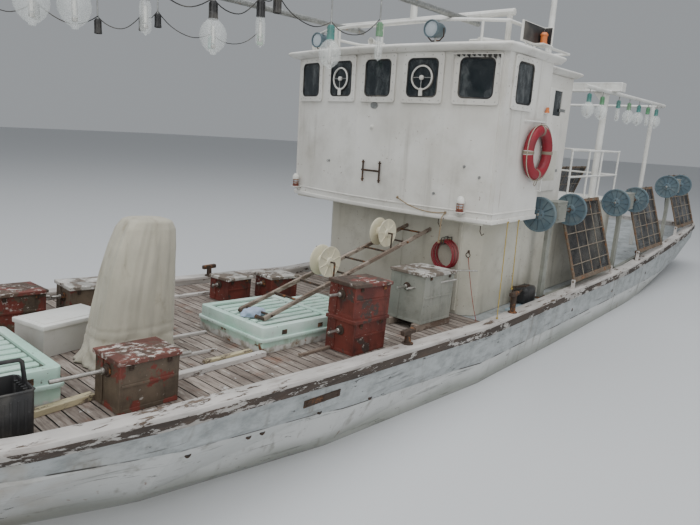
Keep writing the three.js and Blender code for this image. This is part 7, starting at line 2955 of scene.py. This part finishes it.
@dataclass
class JigHeads:
    """Covers, switch boxes, cables and feet on the jigging machines of one side."""

    side: Side
    post: float = 1.665
    head: Point = (0.36, 0.19, 0.3)

    def fittings(self) -> Object:
        """One machine's fittings, about the middle of its head, its outer side to port."""
        length, width, height = self.head
        cover = block((length * 0.86, 0.008, height * 0.82), (0, width / 2 + 0.003, 0), bevel=0.003)
        sunk(cover, (0, 1, 0), (0.02, 0.003))
        lid = block((length + 0.012, width + 0.012, 0.02), (0, 0, height / 2 + 0.009), bevel=0.005)
        panel = block((0.15, 0.012, 0.11), (0.02, -width / 2 - 0.005, 0.05), bevel=0.004)
        knob = turned([(0.0, 0.0), (0.017, 0.0), (0.015, 0.018), (0.0, 0.02)], 14, axis=Axis.Y)
        knobs = spread(knob, *(at(x, -width / 2 - 0.03, 0.05) for x in (-0.02, 0.05)))
        switch = block((0.09, 0.05, 0.12), (-0.11, -width / 2 - 0.02, -0.03), bevel=0.008)
        bolt = turned([(0.0, 0.0), (0.008, 0.0), (0.008, 0.005), (0.0, 0.007)], 6, axis=Axis.Y)
        bolts = spread(bolt, *(at(x, width / 2 + 0.008, z) for x in (-0.13, 0.13) for z in (-0.1, 0.1)))
        seat = turned([(0.022, 0.0), (0.058, 0.0), (0.052, 0.016), (0.034, 0.022), (0.022, 0.022), (0.022, 0.0)],
                      20, axis=Axis.X)
        seats = spread(seat, at(length / 2, 0, 0), about(Axis.Z, 180) @ at(length / 2, 0, 0))
        offset = self.post - MACHINE_Y
        foot = block((0.24, 0.075, 0.016), (0, offset, 0.07 - AXLE_HEIGHT), bevel=0.003)
        clamp = block((0.15, 0.08, 0.05), (0, offset, -height / 2 - 0.03), bevel=0.006)
        hose = [
            (-0.11, -width / 2 - 0.03, -0.09), (-0.13, -width / 2 - 0.05, -0.2), (-0.08, -0.16, -0.34),
            (-0.085, offset - 0.05, -0.5), (-0.08, offset - 0.045, -0.9), (-0.09, offset - 0.045, -1.3),
        ]
        return joined(
            coat(joined(cover, lid), "grey_box_paint"), coat(joined(panel, switch, knobs), "black_plastic"),
            coat(joined(bolts, seats, foot, clamp), "rusty_iron"),
            coat(pipes([hose], 0.011, 8, smooth=True), "black_rubber"),
        )

    def build(self) -> None:
        """Models one machine's fittings and copies them along the side."""
        one = self.fittings()
        if self.side is Side.STARBOARD:
            moved(one, MIRROR_Y)
        places = [at(x, self.side.value * MACHINE_Y, deck_height(x) + AXLE_HEIGHT) for x in MACHINE_XS]
        present(spread(one, *places), f"jig_fittings_{self.side.name.lower()}", None)


def main() -> None:
    """Builds the stage and every sub-assembly."""
    logging.basicConfig(level=logging.INFO, format="%(name)s %(message)s")
    fore = [Studio(), SolidFinishes(), DeckPlanks(), RoundedSolids(), *MACHINE_BOXES, CanvasCover(), LooseChute(),
            DeckGear(), *HATCH_LIDS, BlackTub(), GreyBoxBars(), HullTrim(), SideDeckGear(), ForeBitts()]
    windows = [Window(facet(number), f"front_{number + 1}", proud=0.022) for number in range(len(FACET_YS) - 1)]
    windows += [Window(side_frame(side), side.name.lower(), proud=0.02, half_w=0.218, half_h=0.25, middle=3.86)
                for side in Side]
    house = [*windows, ClearView(1), ClearView(3), WindowHood(), Lantern(Side.PORT, 4, -0.03),
             Lantern(Side.STARBOARD, 0, -0.26), FrontFittings(), HouseSideFittings(), LowerHouseFittings(),
             SideRopes(), RingBuoy(), GuardRail(), DoorFittings(), RoofGear()]
    lamps = [*(LampBoom(side) for side in Side), AftGantry()]
    fishing = []
    for side in Side:
        fishing += [Rack(side, number, *place) for number, place in enumerate(RACK_PLACES, 1)]
        fishing += [JigDrums(side, number, x) for number, x in enumerate(MACHINE_XS, 1)]
        fishing.append(JigHeads(side))
    for part in (*fore, *house, *lamps, *fishing):
        part.build()


if __name__ == "__main__":
    main()
